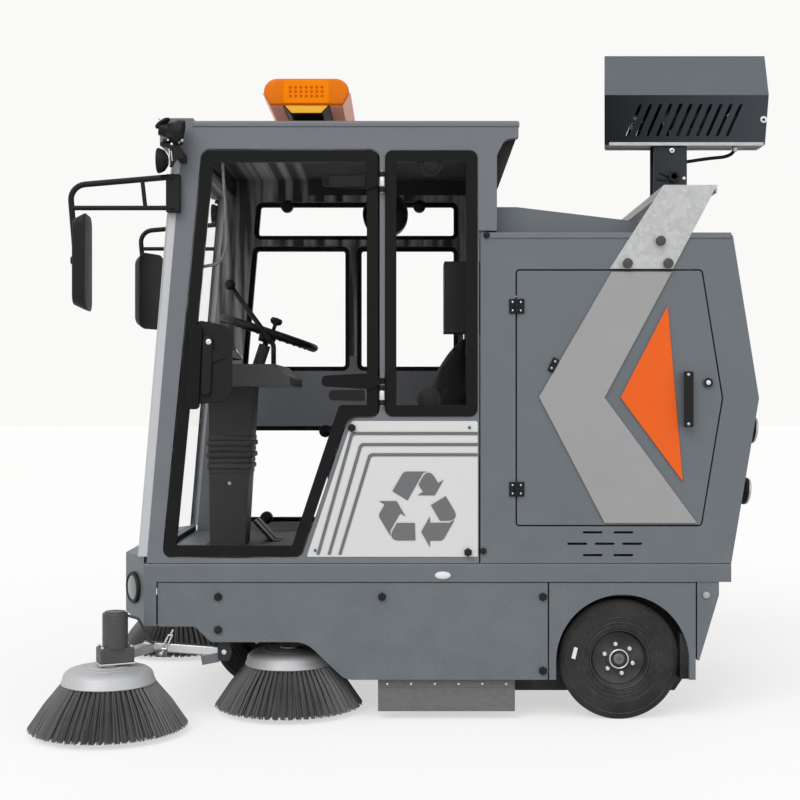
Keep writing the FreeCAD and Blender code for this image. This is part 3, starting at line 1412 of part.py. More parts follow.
# ---- cab door -----------------------------------------------------------------------------
def cab_door():
    """Black edging of the glass door with its hinge straps and latch plate."""
    y0, y1 = -door_face, -door_face + door_thick
    edging = side_plate(door_outline(), y0, y1)
    edging = edging.cut(side_plate(grown(door_outline(), -frame_bar), y0 - 1, y1 + 1))
    pieces = [edging]
    axis_y = -half_width - hinge_stand
    for z in door_hinge_z:
        strap = side_plate([(-340.0, z - 18, 16), (-340.0, z + 18, 16),
                            (-180.0, z + 26, 10), (hinge_axis_x, z + 9.5, 0),
                            (hinge_axis_x, z - 9.5, 0), (-180.0, z - 26, 10)], y0 - 8, y0)
        strap = strap.cut(rod((hinge_axis_x, axis_y, z - 40), (hinge_axis_x, axis_y, z + 40), 9.3))
        clear = [box(hinge_axis_x - 12, hinge_axis_x + 12, axis_y - 12, y0 + 12,
                     z + s * 9.5, z + s * 40) for s in (-1, 1)]
        tab = box(hinge_axis_x - 12, hinge_axis_x, y0 - 8, y0 - 2, z - 9.5, z + 9.5)
        knuckle = ring((hinge_axis_x, axis_y, z - 9.5), (hinge_axis_x, axis_y, z + 9.5),
                       9.0, 5.0 + fit)
        tab = tab.cut(rod((hinge_axis_x, axis_y, z - 40), (hinge_axis_x, axis_y, z + 40), 8.5))
        pieces += [strap.cut(clear), tab, knuckle]
    latch = side_plate([(-797.0, 1045.0, 14), (-780.0, 1325.0, 14), (-738.0, 1325.0, 14),
                        (-752.0, 1045.0, 14)], y0 - 10, y1 + 6)
    pieces.append(latch)
    return fused(pieces)


def cab_door_glass():
    """Glass of the cab door, inside its edging."""
    y = -door_face + door_thick / 2
    pane = side_plate(grown(door_outline(), -frame_bar), y, y + pane_thick)
    latch = side_plate([(-797.0, 1045.0, 14), (-780.0, 1325.0, 14), (-738.0, 1325.0, 14),
                        (-752.0, 1045.0, 14)], y - 5, y + pane_thick + 5)
    return pane.cut(latch)


# ---- lamps, mirrors and light bar ---------------------------------------------------------
def light_bar():
    """Warning light bar across the roof on two feet."""
    x0, x1 = bar_x
    z0, z1 = bar_z
    body = side_plate([(x0 + 20, z0, 10), (x0, z0 + bar_waist, 26), (x0 + 30, z1, 30),
                       (x1 - 30, z1, 30), (x1, z0 + bar_waist, 26), (x1 - 20, z0, 10)],
                      -bar_half, bar_half)
    middle = (x0 + x1) / 2
    long, wide = bar_foot
    feet = [box(middle - long, middle + long, side * bar_foot_y - wide,
                side * bar_foot_y + wide, roof_top, z0 + 1) for side in (-1, 1)]
    return fused([body] + feet)


def work_lamps():
    """Two round lamps at each front corner of the roof."""
    y = -half_width - work_lamp_out
    ax, az, bx, bz = work_lamp_top
    upper = rod((ax, y, az), (bx, y, bz), work_lamp_r)
    r = work_lamp_r
    lower = turned([(0, -22), (20, -20), (r - 4, 0), (r - 2, 16), (0, 16)],
                   (work_lamp_low[0], y, work_lamp_low[1]), (-1, 0, 0))
    x0, x1, z0, z1 = work_lamp_foot
    half = work_lamp_bar
    sx0, sx1, top = work_lamp_stem
    stem = box(sx0, sx1, y - half, -half_width, z0 + half, top)
    bar = box(sx0 - 4, x1, y - half, y + half, z0, z0 + 12)
    foot = box(x0, x1, y - half, -half_width, z0, z1)
    return both(fused([upper, lower, stem, bar, foot]))


def mirror_head(turn):
    """Moulded shell that narrows towards the front, turned about its stud."""
    y, h, k = -mirror_y, mirror_half, mirror_taper
    low, high = mirror_z
    mid = (low + high) / 2
    x1 = mirror_x + mirror_thick

    def outline(x, share):
        half_z = (high - low) / 2 * (share + 1) / 2
        return rounded_wire([(y - h * share, mid - half_z, mirror_round * share),
                             (y - h * share, mid + half_z, mirror_round * share),
                             (y + h * share, mid + half_z, mirror_round * share),
                             (y + h * share, mid - half_z, mirror_round * share)],
                            lambda u, v: V(x, u, v))
    head = Part.makeLoft([outline(mirror_x, k), outline(x1 - 12, 1.0), outline(x1, 1.0)],
                         True, True)
    head.rotate(V(mirror_x, y, mid), V(0, 0, 1), turn)
    return head


def mirror(turn):
    """Left mirror on its two-tube arm, its head turned by an angle."""
    y = -mirror_y
    x_out = mirror_x - 16
    ahead, behind, out = mirror_block
    block = box(mirror_block_x - ahead, mirror_block_x + behind, -half_width - out, -half_width,
                *mirror_block_z)
    top, bend, foot = mirror_arm_z
    upper = bent_tube([(mirror_block_x, y, top), (x_out, y, bend),
                       (x_out + mirror_foot_in, y, foot)], mirror_tube_r, mirror_bend)
    lower = rod((mirror_block_x, y, mirror_low_z), (x_out + 4, y, mirror_low_z),
                mirror_tube_r - 2)
    strut = rod((mirror_strut_x[0], y, mirror_low_z),
                (mirror_strut_x[1], y, (top + bend) / 2), mirror_tube_r - 3)
    stud = rod((x_out + 4, y, mirror_stud_z), (mirror_x + 20, y, mirror_stud_z), mirror_stud_r)
    return fused([block, upper, lower, strut, stud, mirror_head(turn)])


def mirrors():
    """Outside mirrors in front of both pillars."""
    left, right = mirror_turn
    return Part.makeCompound([mirror(left), mirrored(mirror(right))])


def headlamps():
    """Round headlamps on the bevelled corners of the nose."""
    mid_x = (nose_front_x + nose_bend_x) / 2
    mid_y = -half_width + nose_bevel_y / 2
    run_x, run_y = nose_front_x - nose_bend_x, nose_bevel_y
    length = math.hypot(run_x, run_y)
    normal = (-run_y / length, run_x / length, 0)
    r, t = head_lamp_r, head_lamp_depth
    lamp = turned([(0, 0), (r - 4, 0), (r, 3), (r, t - 4), (r - 5, t), (0, t)],
                  (mid_x, mid_y, head_lamp_z), normal)
    return both(lamp)


def tail_lamps():
    """Two round lamps at each side of the lower rear face."""
    run = V(housing_foot_x - housing_peak_x, 0, deck_top - housing_peak_z)
    down = run / run.Length
    normal = V(-down.z, 0, down.x)
    r, t = tail_lamp_r, tail_lamp_depth
    lamps = []
    for z in tail_lamp_z:
        share = (housing_peak_z - z) / (housing_peak_z - deck_top)
        x = housing_peak_x + (housing_foot_x - housing_peak_x) * share
        lamp = turned([(0, 0), (r, 0), (r, t / 2), (r - 6, t / 2 + 4), (r - 12, t - 4), (0, t)],
                      (x, -tail_lamp_y, z), (normal.x, 0, normal.z))
        lamps += [lamp, mirrored(lamp)]
    return Part.makeCompound(lamps)


# ---- the machine --------------------------------------------------------------------------
parts["chassis_frame"] = chassis_frame()
parts["deck"] = deck()
parts["nose_panel"] = nose_panel()
parts["side_skirts"] = side_skirts()
parts["rear_apron"] = rear_apron()
parts["cab_side_left"] = cab_side_left()
parts["cab_side_right"] = cab_side_right()
parts["cab_roof"] = cab_roof()
parts["cab_back"] = cab_back()
parts["windshield"] = windshield()
parts["screen_trims"] = screen_trims()
parts["window_frames"] = window_frames()
parts["side_windows"] = side_windows()
parts["side_panel"] = side_panel()
parts["seat_base"] = seat_base()
parts["battery_pack"] = battery_pack()
parts["seat_cushion"] = seat_cushion()
parts["seat_backrest"] = seat_backrest()
parts["dash_console"] = dash_console()
parts["steering_wheel"] = steering_wheel()
parts["pedals"] = pedals()
parts["hand_lever"] = hand_lever()
parts["cab_fan"] = cab_fan()
parts["control_box"] = control_box()
parts["housing_sides"] = housing_sides()
parts["service_door_left"] = service_door(-1)
parts["service_door_right"] = service_door(1)
parts["housing_back"] = housing_back()
parts["rear_hatch"] = rear_hatch()
parts["housing_top"] = housing_top_cover()
parts["dust_bin"] = dust_bin()
parts["support_arch"] = support_arch()
parts["spray_post"] = spray_post()
parts["spray_box"] = spray_box()
parts["spray_cable"] = spray_cable()
parts["rear_axle"] = rear_axle()
parts["front_fork"] = front_fork()
parts["front_tyre"] = tyre(front_axle_x, 0)
parts["front_rim"] = rim(front_axle_x, 0, 16 + fit, -1)
for side, word in ((-1, "left"), (1, "right")):
    parts["rear_tyre_" + word] = tyre(rear_axle_x, side * wheel_y)
    parts["rear_rim_" + word] = rim(rear_axle_x, side * wheel_y, spindle_r + fit, side)
    parts["front_arm_" + word] = front_arm(side)
    parts["front_brush_" + word] = side_brush(front_brush_x, side * front_brush_y)
    parts["mid_brush_" + word] = side_brush(mid_brush_x, side * mid_brush_y)
parts["brush_drives"] = brush_drives()
parts["main_roller"] = main_roller()
parts["brush_hood"] = brush_hood()
parts["chamber_sheets"] = chamber_sheets()
parts["cab_door"] = cab_door()
parts["cab_door_glass"] = cab_door_glass()
parts["light_bar"] = light_bar()
parts["work_lamps"] = work_lamps()
parts["mirrors"] = mirrors()
parts["headlamps"] = headlamps()
parts["tail_lamps"] = tail_lamps()

os.makedirs("parts", exist_ok=True)
for name, shape in parts.items():
    shape.exportStep("parts/" + name + ".step")
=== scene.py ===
"""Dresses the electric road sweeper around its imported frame.

Units are metres, +Z up, the machine's front towards -X and its cab door towards -Y.
"""

import json
import logging
import math
import random
from collections.abc import Callable
from dataclasses import dataclass
from enum import Enum

import bmesh
import bpy
from mathutils import Matrix, Vector

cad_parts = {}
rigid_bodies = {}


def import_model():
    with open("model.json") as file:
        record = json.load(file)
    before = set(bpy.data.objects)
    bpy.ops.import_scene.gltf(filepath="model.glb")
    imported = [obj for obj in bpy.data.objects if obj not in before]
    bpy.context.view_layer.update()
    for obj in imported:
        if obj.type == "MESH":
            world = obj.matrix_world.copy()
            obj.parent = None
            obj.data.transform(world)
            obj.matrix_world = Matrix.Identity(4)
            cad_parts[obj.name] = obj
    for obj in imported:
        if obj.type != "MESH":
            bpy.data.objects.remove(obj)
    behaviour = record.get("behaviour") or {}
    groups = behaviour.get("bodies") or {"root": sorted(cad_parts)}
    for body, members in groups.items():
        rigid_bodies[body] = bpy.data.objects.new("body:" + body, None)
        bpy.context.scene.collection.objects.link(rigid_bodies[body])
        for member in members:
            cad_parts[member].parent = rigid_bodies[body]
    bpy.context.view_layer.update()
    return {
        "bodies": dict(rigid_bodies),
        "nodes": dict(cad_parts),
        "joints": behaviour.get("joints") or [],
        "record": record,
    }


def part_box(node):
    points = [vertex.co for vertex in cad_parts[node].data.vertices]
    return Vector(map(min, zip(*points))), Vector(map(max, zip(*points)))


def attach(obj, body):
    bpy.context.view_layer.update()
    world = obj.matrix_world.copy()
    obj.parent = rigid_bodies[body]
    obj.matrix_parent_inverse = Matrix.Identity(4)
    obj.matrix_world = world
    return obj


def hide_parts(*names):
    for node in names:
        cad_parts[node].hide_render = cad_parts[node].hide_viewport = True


LOG = logging.getLogger("sweeper")
Point = tuple[float, float, float]
Flat = tuple[float, float]
Corner = tuple[float, ...]
Colour = tuple[float, float, float]
Piece = bpy.types.Object
Tree = bpy.types.NodeTree
ORIGIN = (0, 0, 0)
AHEAD = (1, 0, 0)
SIDEWAYS = (0, 1, 0)
UPWARD = (0, 0, 1)
ACROSS = Matrix.Scale(-1.0, 4, SIDEWAYS)


class Plane(Enum):
    """Which plane an outline is drawn in."""

    SIDE = "xz"
    PLAN = "xy"
    FRONT = "yz"


class Side(Enum):
    """The machine's left and right halves, as the sign of y."""

    LEFT = -1
    RIGHT = 1

    @property
    def word(self) -> str:
        """The side's name as the pieces use it."""
        return self.name.lower()


# ---- modelling bench ----------------------------------------------------------------------
def rest() -> None:
    """Leaves edit mode and deselects every object."""
    if bpy.context.object and bpy.context.object.mode != "OBJECT":
        bpy.ops.object.mode_set(mode="OBJECT")
    bpy.ops.object.select_all(action="DESELECT")


def focus(obj: Piece) -> None:
    """Makes one object the only selected and active one.

    Args:
        obj: The object.
    """
    rest()
    obj.select_set(True)
    bpy.context.view_layer.objects.active = obj


def lift(plane: Plane, point: Flat, level: float) -> Vector:
    """Turns a point of an outline into a point in space.

    Args:
        plane: The plane that the outline is drawn in.
        point: The outline's two coordinates.
        level: The coordinate along the plane's normal.

    Returns:
        The point in space.
    """
    u, v = point
    if plane is Plane.SIDE:
        return Vector((u, level, v))
    if plane is Plane.PLAN:
        return Vector((u, v, level))
    return Vector((level, u, v))


def normal_of(plane: Plane) -> Vector:
    """The direction in which an outline of this plane gets its thickness."""
    return {Plane.SIDE: Vector(SIDEWAYS), Plane.PLAN: Vector(UPWARD),
            Plane.FRONT: Vector(AHEAD)}[plane]


def trace(points: list[Vector]) -> None:
    """Draws a chain of vertices in edit mode by extruding one vertex from the last.

    Args:
        points: The chain's points in order.
    """
    rest()
    bpy.ops.mesh.primitive_plane_add(size=0.01, location=points[0])
    bpy.ops.object.transform_apply()
    bpy.ops.object.mode_set(mode="EDIT")
    bpy.ops.mesh.select_mode(type="VERT")
    bpy.ops.mesh.select_all(action="SELECT")
    bpy.ops.mesh.merge(type="CENTER")
    for before, after in zip(points, points[1:]):
        bpy.ops.mesh.extrude_vertices_move(TRANSFORM_OT_translate={"value": after - before})


def pick(test: Callable[[bmesh.types.BMVert], bool]) -> None:
    """Selects the vertices of the mesh in edit mode that pass a test.

    Args:
        test: Takes a vertex and says whether it is picked.
    """
    mesh = bmesh.from_edit_mesh(bpy.context.object.data)
    for vertex in mesh.verts:
        vertex.select = bool(test(vertex))
    mesh.select_flush(True)
    mesh.select_flush(False)
    bmesh.update_edit_mesh(bpy.context.object.data)


def tidy() -> Piece:
    """Merges doubles, turns faces outwards and leaves edit mode.

    Returns:
        The object that was edited.
    """
    obj = bpy.context.object
    if obj.mode != "EDIT":
        bpy.ops.object.mode_set(mode="EDIT")
    bpy.ops.mesh.select_all(action="SELECT")
    bpy.ops.mesh.remove_doubles(threshold=0.00002)
    bpy.ops.mesh.normals_make_consistent(inside=False)
    bpy.ops.object.mode_set(mode="OBJECT")
    return obj


def apply_modifiers(obj: Piece) -> None:
    """Applies every modifier of an object in order.

    Args:
        obj: The object.
    """
    focus(obj)
    for name in [m.name for m in obj.modifiers]:
        bpy.ops.object.modifier_apply(modifier=name)


def soften(obj: Piece, width: float, segments: int = 2, angle: float = 40.0) -> None:
    """Rounds an object's sharp edges.

    Args:
        obj: The object.
        width: The bevel's width in metres.
        segments: Faces across the bevel.
        angle: Edges sharper than this many degrees are rounded.
    """
    bevel = obj.modifiers.new("edge", "BEVEL")
    bevel.width = width
    bevel.segments = segments
    bevel.limit_method = "ANGLE"
    bevel.angle_limit = math.radians(angle)
    bevel.harden_normals = False
    apply_modifiers(obj)


def shade(obj: Piece, angle: float = 35.0) -> Piece:
    """Shades an object smooth except over sharp edges.

    Args:
        obj: The object.
        angle: Edges sharper than this many degrees stay sharp.

    Returns:
        The object itself.
    """
    focus(obj)
    bpy.ops.object.shade_smooth_by_angle(angle=math.radians(angle))
    return obj


def plate(corners: list[Corner], level: float, depth: float, edge: float = 0.0,
          segments: int = 2, plane: Plane = Plane.SIDE) -> Piece:
    """A flat piece with an outline of sharp or rounded corners.

    Args:
        corners: Points of the outline, each with its radius where the corner is round.
        level: Where the outline lies along the plane's normal.
        depth: Thickness along the normal; it may be negative.
        edge: Width of the rounding along its edges.
        segments: Faces across that rounding.
        plane: The plane of the outline.

    Returns:
        The finished object.
    """
    points = [lift(plane, corner[:2], level) for corner in corners]
    trace(points)
    bpy.ops.mesh.select_all(action="SELECT")
    bpy.ops.mesh.edge_face_add()
    for i, (corner, here) in enumerate(zip(corners, points)):
        if len(corner) < 3:
            continue
        before, after = points[i - 1], points[(i + 1) % len(points)]
        half = (before - here).angle(after - here) / 2
        reach = corner[2] / math.tan(half)
        pick(lambda vertex, at=here: (vertex.co - at).length < 1e-5)
        bpy.ops.mesh.bevel(offset_type="OFFSET", offset=reach, segments=6, affect="VERTICES")
    bpy.ops.mesh.select_all(action="SELECT")
    if depth:
        bpy.ops.mesh.extrude_region_move(
            TRANSFORM_OT_translate={"value": normal_of(plane) * depth})
    obj = tidy()
    if edge:
        soften(obj, edge, segments)
    return obj


def block(low: Point, high: Point, edge: float = 0.002, segments: int = 2) -> Piece:
    """A rounded block between two corners.

    Args:
        low: One corner.
        high: The opposite corner.
        edge: Width of the rounding.
        segments: Faces across the rounding.

    Returns:
        The finished object.
    """
    rest()
    middle = [(a + b) / 2 for a, b in zip(low, high)]
    bpy.ops.mesh.primitive_cube_add(size=1.0, location=middle)
    obj = bpy.context.object
    obj.scale = [abs(b - a) for a, b in zip(low, high)]
    bpy.ops.object.transform_apply()
    if edge:
        soften(obj, edge, segments)
    return obj


def lathe(profile: list[Flat], centre: Point, axis: Point, steps: int = 48,
          smooth: float = 0.0) -> Piece:
    """A turned piece.

    Args:
        profile: Radius and height along the axis, in order; closed by the axis or by itself.
        centre: Where radius and height are zero.
        axis: Direction of the height.
        steps: Faces round the piece.
        smooth: Edges flatter than this many degrees are shaded smooth.

    Returns:
        The finished object.
    """
    up = Vector(axis).normalized()
    side = up.orthogonal().normalized()
    base = Vector(centre)
    points = [base + side * r + up * h for r, h in profile]
    closed = profile[0][0] > 1e-6 or profile[-1][0] > 1e-6
    trace(points + (points[:1] if closed else []))
    bpy.ops.mesh.select_all(action="SELECT")
    bpy.ops.mesh.spin(steps=steps, angle=math.tau, center=base, axis=up)
    turned = tidy()
    return shade(turned, smooth) if smooth else turned


def tube(path: list[Point], radius: float, bend: float, around: int = 12) -> Piece:
    """A round tube of straight runs and bends.

    Args:
        path: Corner points of the tube's line.
        radius: The tube's radius.
        bend: Radius of every bend.
        around: Faces round the tube.

    Returns:
        The finished object.
    """
    points = [Vector(p) for p in path]
    heading = (points[1] - points[0]).normalized()
    rest()
    turn = heading.to_track_quat("Z", "Y").to_euler()
    bpy.ops.mesh.primitive_circle_add(
        vertices=around, radius=radius, fill_type="NGON", location=points[0], rotation=turn)
    bpy.ops.object.transform_apply()
    bpy.ops.object.mode_set(mode="EDIT")
    bpy.ops.mesh.select_mode(type="FACE")
    bpy.ops.mesh.select_all(action="SELECT")
    last = points[0]
    for before, corner, after in zip(points, points[1:], points[2:]):
        a = (before - corner).normalized()
        b = (after - corner).normalized()
        half = a.angle(b) / 2
        start = corner + a * (bend / math.tan(half))
        bpy.ops.mesh.extrude_region_move(TRANSFORM_OT_translate={"value": start - last})
        middle = corner + (a + b).normalized() * (bend / math.sin(half))
        turning = a.cross(b).normalized()
        angle = math.pi - 2 * half
        steps = max(3, round(math.degrees(angle) / 12))
        bpy.ops.mesh.spin(steps=steps, angle=angle, center=middle, axis=turning)
        last = corner + b * (bend / math.tan(half))
    bpy.ops.mesh.extrude_region_move(TRANSFORM_OT_translate={"value": points[-1] - last})
    obj = tidy()
    return shade(obj)


def joined(pieces: list[Piece]) -> Piece:
    """Joins several objects into the first.

    Args:
        pieces: The objects.

    Returns:
        The first object, with all the meshes.
    """
    rest()
    for piece in pieces:
        piece.select_set(True)
    bpy.context.view_layer.objects.active = pieces[0]
    if len(pieces) > 1:
        bpy.ops.object.join()
    return bpy.context.view_layer.objects.active


def copied(obj: Piece, move: Matrix) -> Piece:
    """A copy with its own mesh, moved by a matrix.

    Args:
        obj: The object to copy.
        move: The change of place; a mirroring matrix turns the faces round again.

    Returns:
        The copy.
    """
    twin = obj.copy()
    twin.data = obj.data.copy()
    bpy.context.scene.collection.objects.link(twin)
    twin.data.transform(move)
    if move.determinant() < 0:
        twin.data.flip_normals()
    return twin


def mirrored(obj: Piece) -> Piece:
    """A copy on the machine's other side."""
    return copied(obj, ACROSS)


def both(obj: Piece) -> Piece:
    """The object joined with its copy on the machine's other side."""
    return joined([obj, mirrored(obj)])


def swapped(obj: Piece) -> Piece:
    """Moves an object to the machine's other side.

    Args:
        obj: The object.

    Returns:
        The object itself.
    """
    obj.data.transform(ACROSS)
    obj.data.flip_normals()
    return obj


def turned_round(obj: Piece, centre: Point, axis: Point, degrees: float) -> None:
    """Turns an object's mesh about an axis through a point.

    Args:
        obj: The object.
        centre: A point of the axis.
        axis: Direction of the axis.
        degrees: The turn.
    """
    at = Vector(centre)
    turn = Matrix.Translation(at) @ Matrix.Rotation(math.radians(degrees), 4, Vector(axis))
    obj.data.transform(turn @ Matrix.Translation(-at))


def ringed(obj: Piece, count: int, centre: Point, axis: Point) -> Piece:
    """Repeats an object evenly round an axis and joins the copies.

    Args:
        obj: The object; it becomes part of the result.
        count: How many there are in all.
        centre: A point of the axis.
        axis: Direction of the axis.

    Returns:
        The joined object.
    """
    copies = [obj]
    for i in range(1, count):
        twin = copied(obj, Matrix.Identity(4))
        turned_round(twin, centre, axis, 360 * i / count)
        copies.append(twin)
    return joined(copies)


def rod(start: Point, end: Point, radius: float, edge: float = 0.001,
        sides: int = 32) -> Piece:
    """A round bar or, with few sides, a nut.

    Args:
        start: Centre of one end.
        end: Centre of the other end.
        radius: The bar's radius.
        edge: Rounding of its two rims.
        sides: Faces round the bar.

    Returns:
        The finished object.
    """
    a, b = Vector(start), Vector(end)
    turn = (b - a).to_track_quat("Z", "Y").to_euler()
    rest()
    bpy.ops.mesh.primitive_cylinder_add(
        vertices=sides, radius=radius, depth=(b - a).length, location=(a + b) / 2, rotation=turn)
    bpy.ops.object.transform_apply()
    obj = bpy.context.object
    if edge:
        soften(obj, edge, 2, 50.0)
    return shade(obj)


def heads(places: list[Flat], face: float, radius: float, height: float,
          sides: int = 6) -> Piece:
    """Bolt heads or buttons standing off a side face.

    Args:
        places: Where they are, as x and z.
        face: The face's y; its sign says which way they stand out.
        radius: Radius of a head.
        height: How far a head stands out.
        sides: 6 for a nut, more for a round head.

    Returns:
        The joined heads.
    """
    out = math.copysign(height, face)
    edge = height * 0.25
    return joined([rod((x, face, z), (x, face + out, z), radius, edge, sides) for x, z in places])


def strand(start: Vector, end: Vector, sag: Vector, radius: float) -> Piece:
    """One bristle of three faces with a bend in its middle.

    Args:
        start: Its root.
        end: Its tip.
        sag: How far its middle stands off the straight line.
        radius: Its radius.

    Returns:
        The bristle.
    """
    middle = (start + end) / 2 + sag
    rest()
    turn = (end - start).to_track_quat("Z", "Y").to_euler()
    bpy.ops.mesh.primitive_circle_add(
        vertices=3, radius=radius, fill_type="NGON", location=start, rotation=turn)
    bpy.ops.object.transform_apply()
    bpy.ops.object.mode_set(mode="EDIT")
    bpy.ops.mesh.select_all(action="SELECT")
    for step in (middle - start, end - middle):
        bpy.ops.mesh.extrude_region_move(TRANSFORM_OT_translate={"value": step})
    return tidy()


def stuffed(obj: Piece, held: Callable[[Vector], bool], cap: float,
            voxel: float = 0.006) -> None:
    """Inflates a closed shape as a cloth cover over foam, then keeps the result.

    Args:
        obj: The shape, a little smaller than the finished pad.
        held: Takes a point and says whether a seam or a base holds it.
        cap: The furthest that any point may move, in metres.
        voxel: Size of the cover's mesh.
    """
    remesh = obj.modifiers.new("cover", "REMESH")
    remesh.mode, remesh.voxel_size = "VOXEL", voxel
    apply_modifiers(obj)
    seams = obj.vertex_groups.new(name="seams")
    seams.add([v.index for v in obj.data.vertices if held(v.co)], 1.0, "REPLACE")
    cloth = obj.modifiers.new("cloth", "CLOTH")
    cloth.settings.use_pressure = True
    cloth.settings.uniform_pressure_force = 4.0
    cloth.settings.effector_weights.gravity = 0.0
    cloth.settings.vertex_group_mass = "seams"
    for frame in range(1, 21):
        bpy.context.scene.frame_set(frame)
    posed = obj.evaluated_get(bpy.context.evaluated_depsgraph_get()).data
    moves = [posed.vertices[v.index].co - v.co for v in obj.data.vertices]
    obj.modifiers.remove(cloth)
    for vertex, move in zip(obj.data.vertices, moves):
        vertex.co += move * min(1.0, cap / max(move.length, 1e-9))
    bpy.context.scene.frame_set(1)
    smooth = obj.modifiers.new("smooth", "SUBSURF")
    smooth.levels = smooth.render_levels = 1
    apply_modifiers(obj)
    focus(obj)
    bpy.ops.object.shade_smooth()


# ---- shader groups ------------------------------------------------------------------------
Socket = bpy.types.NodeSocket
Signal = Socket | float | Colour
Look = tuple[Socket, Socket, Socket]


class Graph:
    """A node tree with short ways to add and link nodes."""

    def __init__(self, tree: Tree) -> None:
        """Wraps a tree."""
        self.tree = tree

    def add(self, kind: str, **settings: object) -> bpy.types.Node:
        """Adds a node.

        Args:
            kind: The node's type.
            settings: Its properties.

        Returns:
            The node.
        """
        node = self.tree.nodes.new(kind)
        for key, value in settings.items():
            setattr(node, key, value)
        return node

    def link(self, source: Socket, target: Socket) -> None:
        """Links two sockets."""
        self.tree.links.new(source, target)

    def feed(self, socket: Socket, value: Signal) -> None:
        """Gives a socket a number, a colour or another socket's value.

        Args:
            socket: The socket.
            value: What it gets.
        """
        if isinstance(value, tuple):
            socket.default_value = (*value, 1.0) if socket.type == "RGBA" else value
        elif isinstance(value, (int, float)):
            socket.default_value = value
        else:
            self.link(value, socket)

    def group(self, tree: Tree, **values: Signal) -> bpy.types.NodeOutputs:
        """Adds a shader group.

        Args:
            tree: The group.
            values: Its inputs by name, with _ for a space.

        Returns:
            Its outputs by name.
        """
        node = self.add("ShaderNodeGroup", node_tree=tree)
        for label, value in values.items():
            self.feed(node.inputs[label.replace("_", " ")], value)
        return node.outputs

    def place(self) -> Socket:
        """The point of the surface."""
        return self.add("ShaderNodeTexCoord").outputs["Object"]

    def split(self, vector: Socket) -> list[Socket]:
        """A vector's three coordinates.

        Args:
            vector: The socket that carries the vector.

        Returns:
            The sockets of x, y and z.
        """
        node = self.add("ShaderNodeSeparateXYZ")
        self.link(vector, node.inputs[0])
        return list(node.outputs)

    def maths(self, kind: str, a: Signal, b: Signal) -> Socket:
        """A Math node on two sockets or numbers.

        Args:
            kind: The operation.
            a: First socket or number.
            b: Second socket or number.

        Returns:
            The result's socket.
        """
        node = self.add("ShaderNodeMath", operation=kind)
        for socket, value in zip(node.inputs, (a, b)):
            self.feed(socket, value)
        return node.outputs[0]

    def blend(self, share: Signal, first: Signal, second: Signal) -> Socket:
        """Mixes two colours.

        Args:
            share: How much of the second colour shows.
            first: Socket or colour.
            second: Socket or colour.

        Returns:
            The mixed colour's socket.
        """
        node = self.add("ShaderNodeMix", data_type="RGBA")
        for i, value in ((0, share), (6, first), (7, second)):
            self.feed(node.inputs[i], value)
        return node.outputs[2]

    def shader(self, kind: str, colour: Colour, strength: float | None = None) -> Socket:
        """Adds a plain shader.

        Args:
            kind: Its type, after the usual start of the name.
            colour: Its colour.
            strength: Its strength, if it shines.

        Returns:
            The shader's socket.
        """
        node = self.add(f"ShaderNode{kind}")
        self.feed(node.inputs["Color"], colour)
        if strength is not None:
            self.feed(node.inputs["Strength"], strength)
        return node.outputs[0]

    def noise(self, vector: Socket, scale: Signal, detail: float) -> Socket:
        """A noise value between 0 and 1.

        Args:
            vector: Where it is read.
            scale: Patches to the metre.
            detail: Finer layers in it.

        Returns:
            The value's socket.
        """
        node = self.add("ShaderNodeTexNoise")
        for label, value in (("Vector", vector), ("Scale", scale), ("Detail", detail)):
            self.feed(node.inputs[label], value)
        return node.outputs["Fac"]

    def ramp(self, value: Socket, low: float, high: float) -> Socket:
        """Stretches a value so that low becomes 0 and high becomes 1.

        Args:
            value: The value.
            low: What becomes 0.
            high: What becomes 1.

        Returns:
            The result's socket.
        """
        node = self.add("ShaderNodeMapRange", clamp=True)
        for label, number in (("Value", value), ("From Min", low), ("From Max", high)):
            self.feed(node.inputs[label], number)
        return node.outputs["Result"]


def new_group(name: str, inputs: dict[str, tuple], outputs: dict[str, str]) -> Graph:
    """Makes an empty shader group with its sockets.

    Args:
        name: The group's name.
        inputs: Socket kind and default by name.
        outputs: Socket kind by name.

    Returns:
        The group's graph, with its group input and output nodes added.
    """
    tree = bpy.data.node_groups.new(name, "ShaderNodeTree")
    for label, (kind, value) in inputs.items():
        socket = tree.interface.new_socket(name=label, in_out="INPUT", socket_type=kind)
        socket.default_value = value
    for label, kind in outputs.items():
        tree.interface.new_socket(name=label, in_out="OUTPUT", socket_type=kind)
    graph = Graph(tree)
    graph.source = graph.add("NodeGroupInput")
    graph.sink = graph.add("NodeGroupOutput")
    return graph


FLOAT, COLOUR, VECTOR = "NodeSocketFloat", "NodeSocketColor", "NodeSocketVector"
GREY = (0.5, 0.5, 0.5, 1.0)


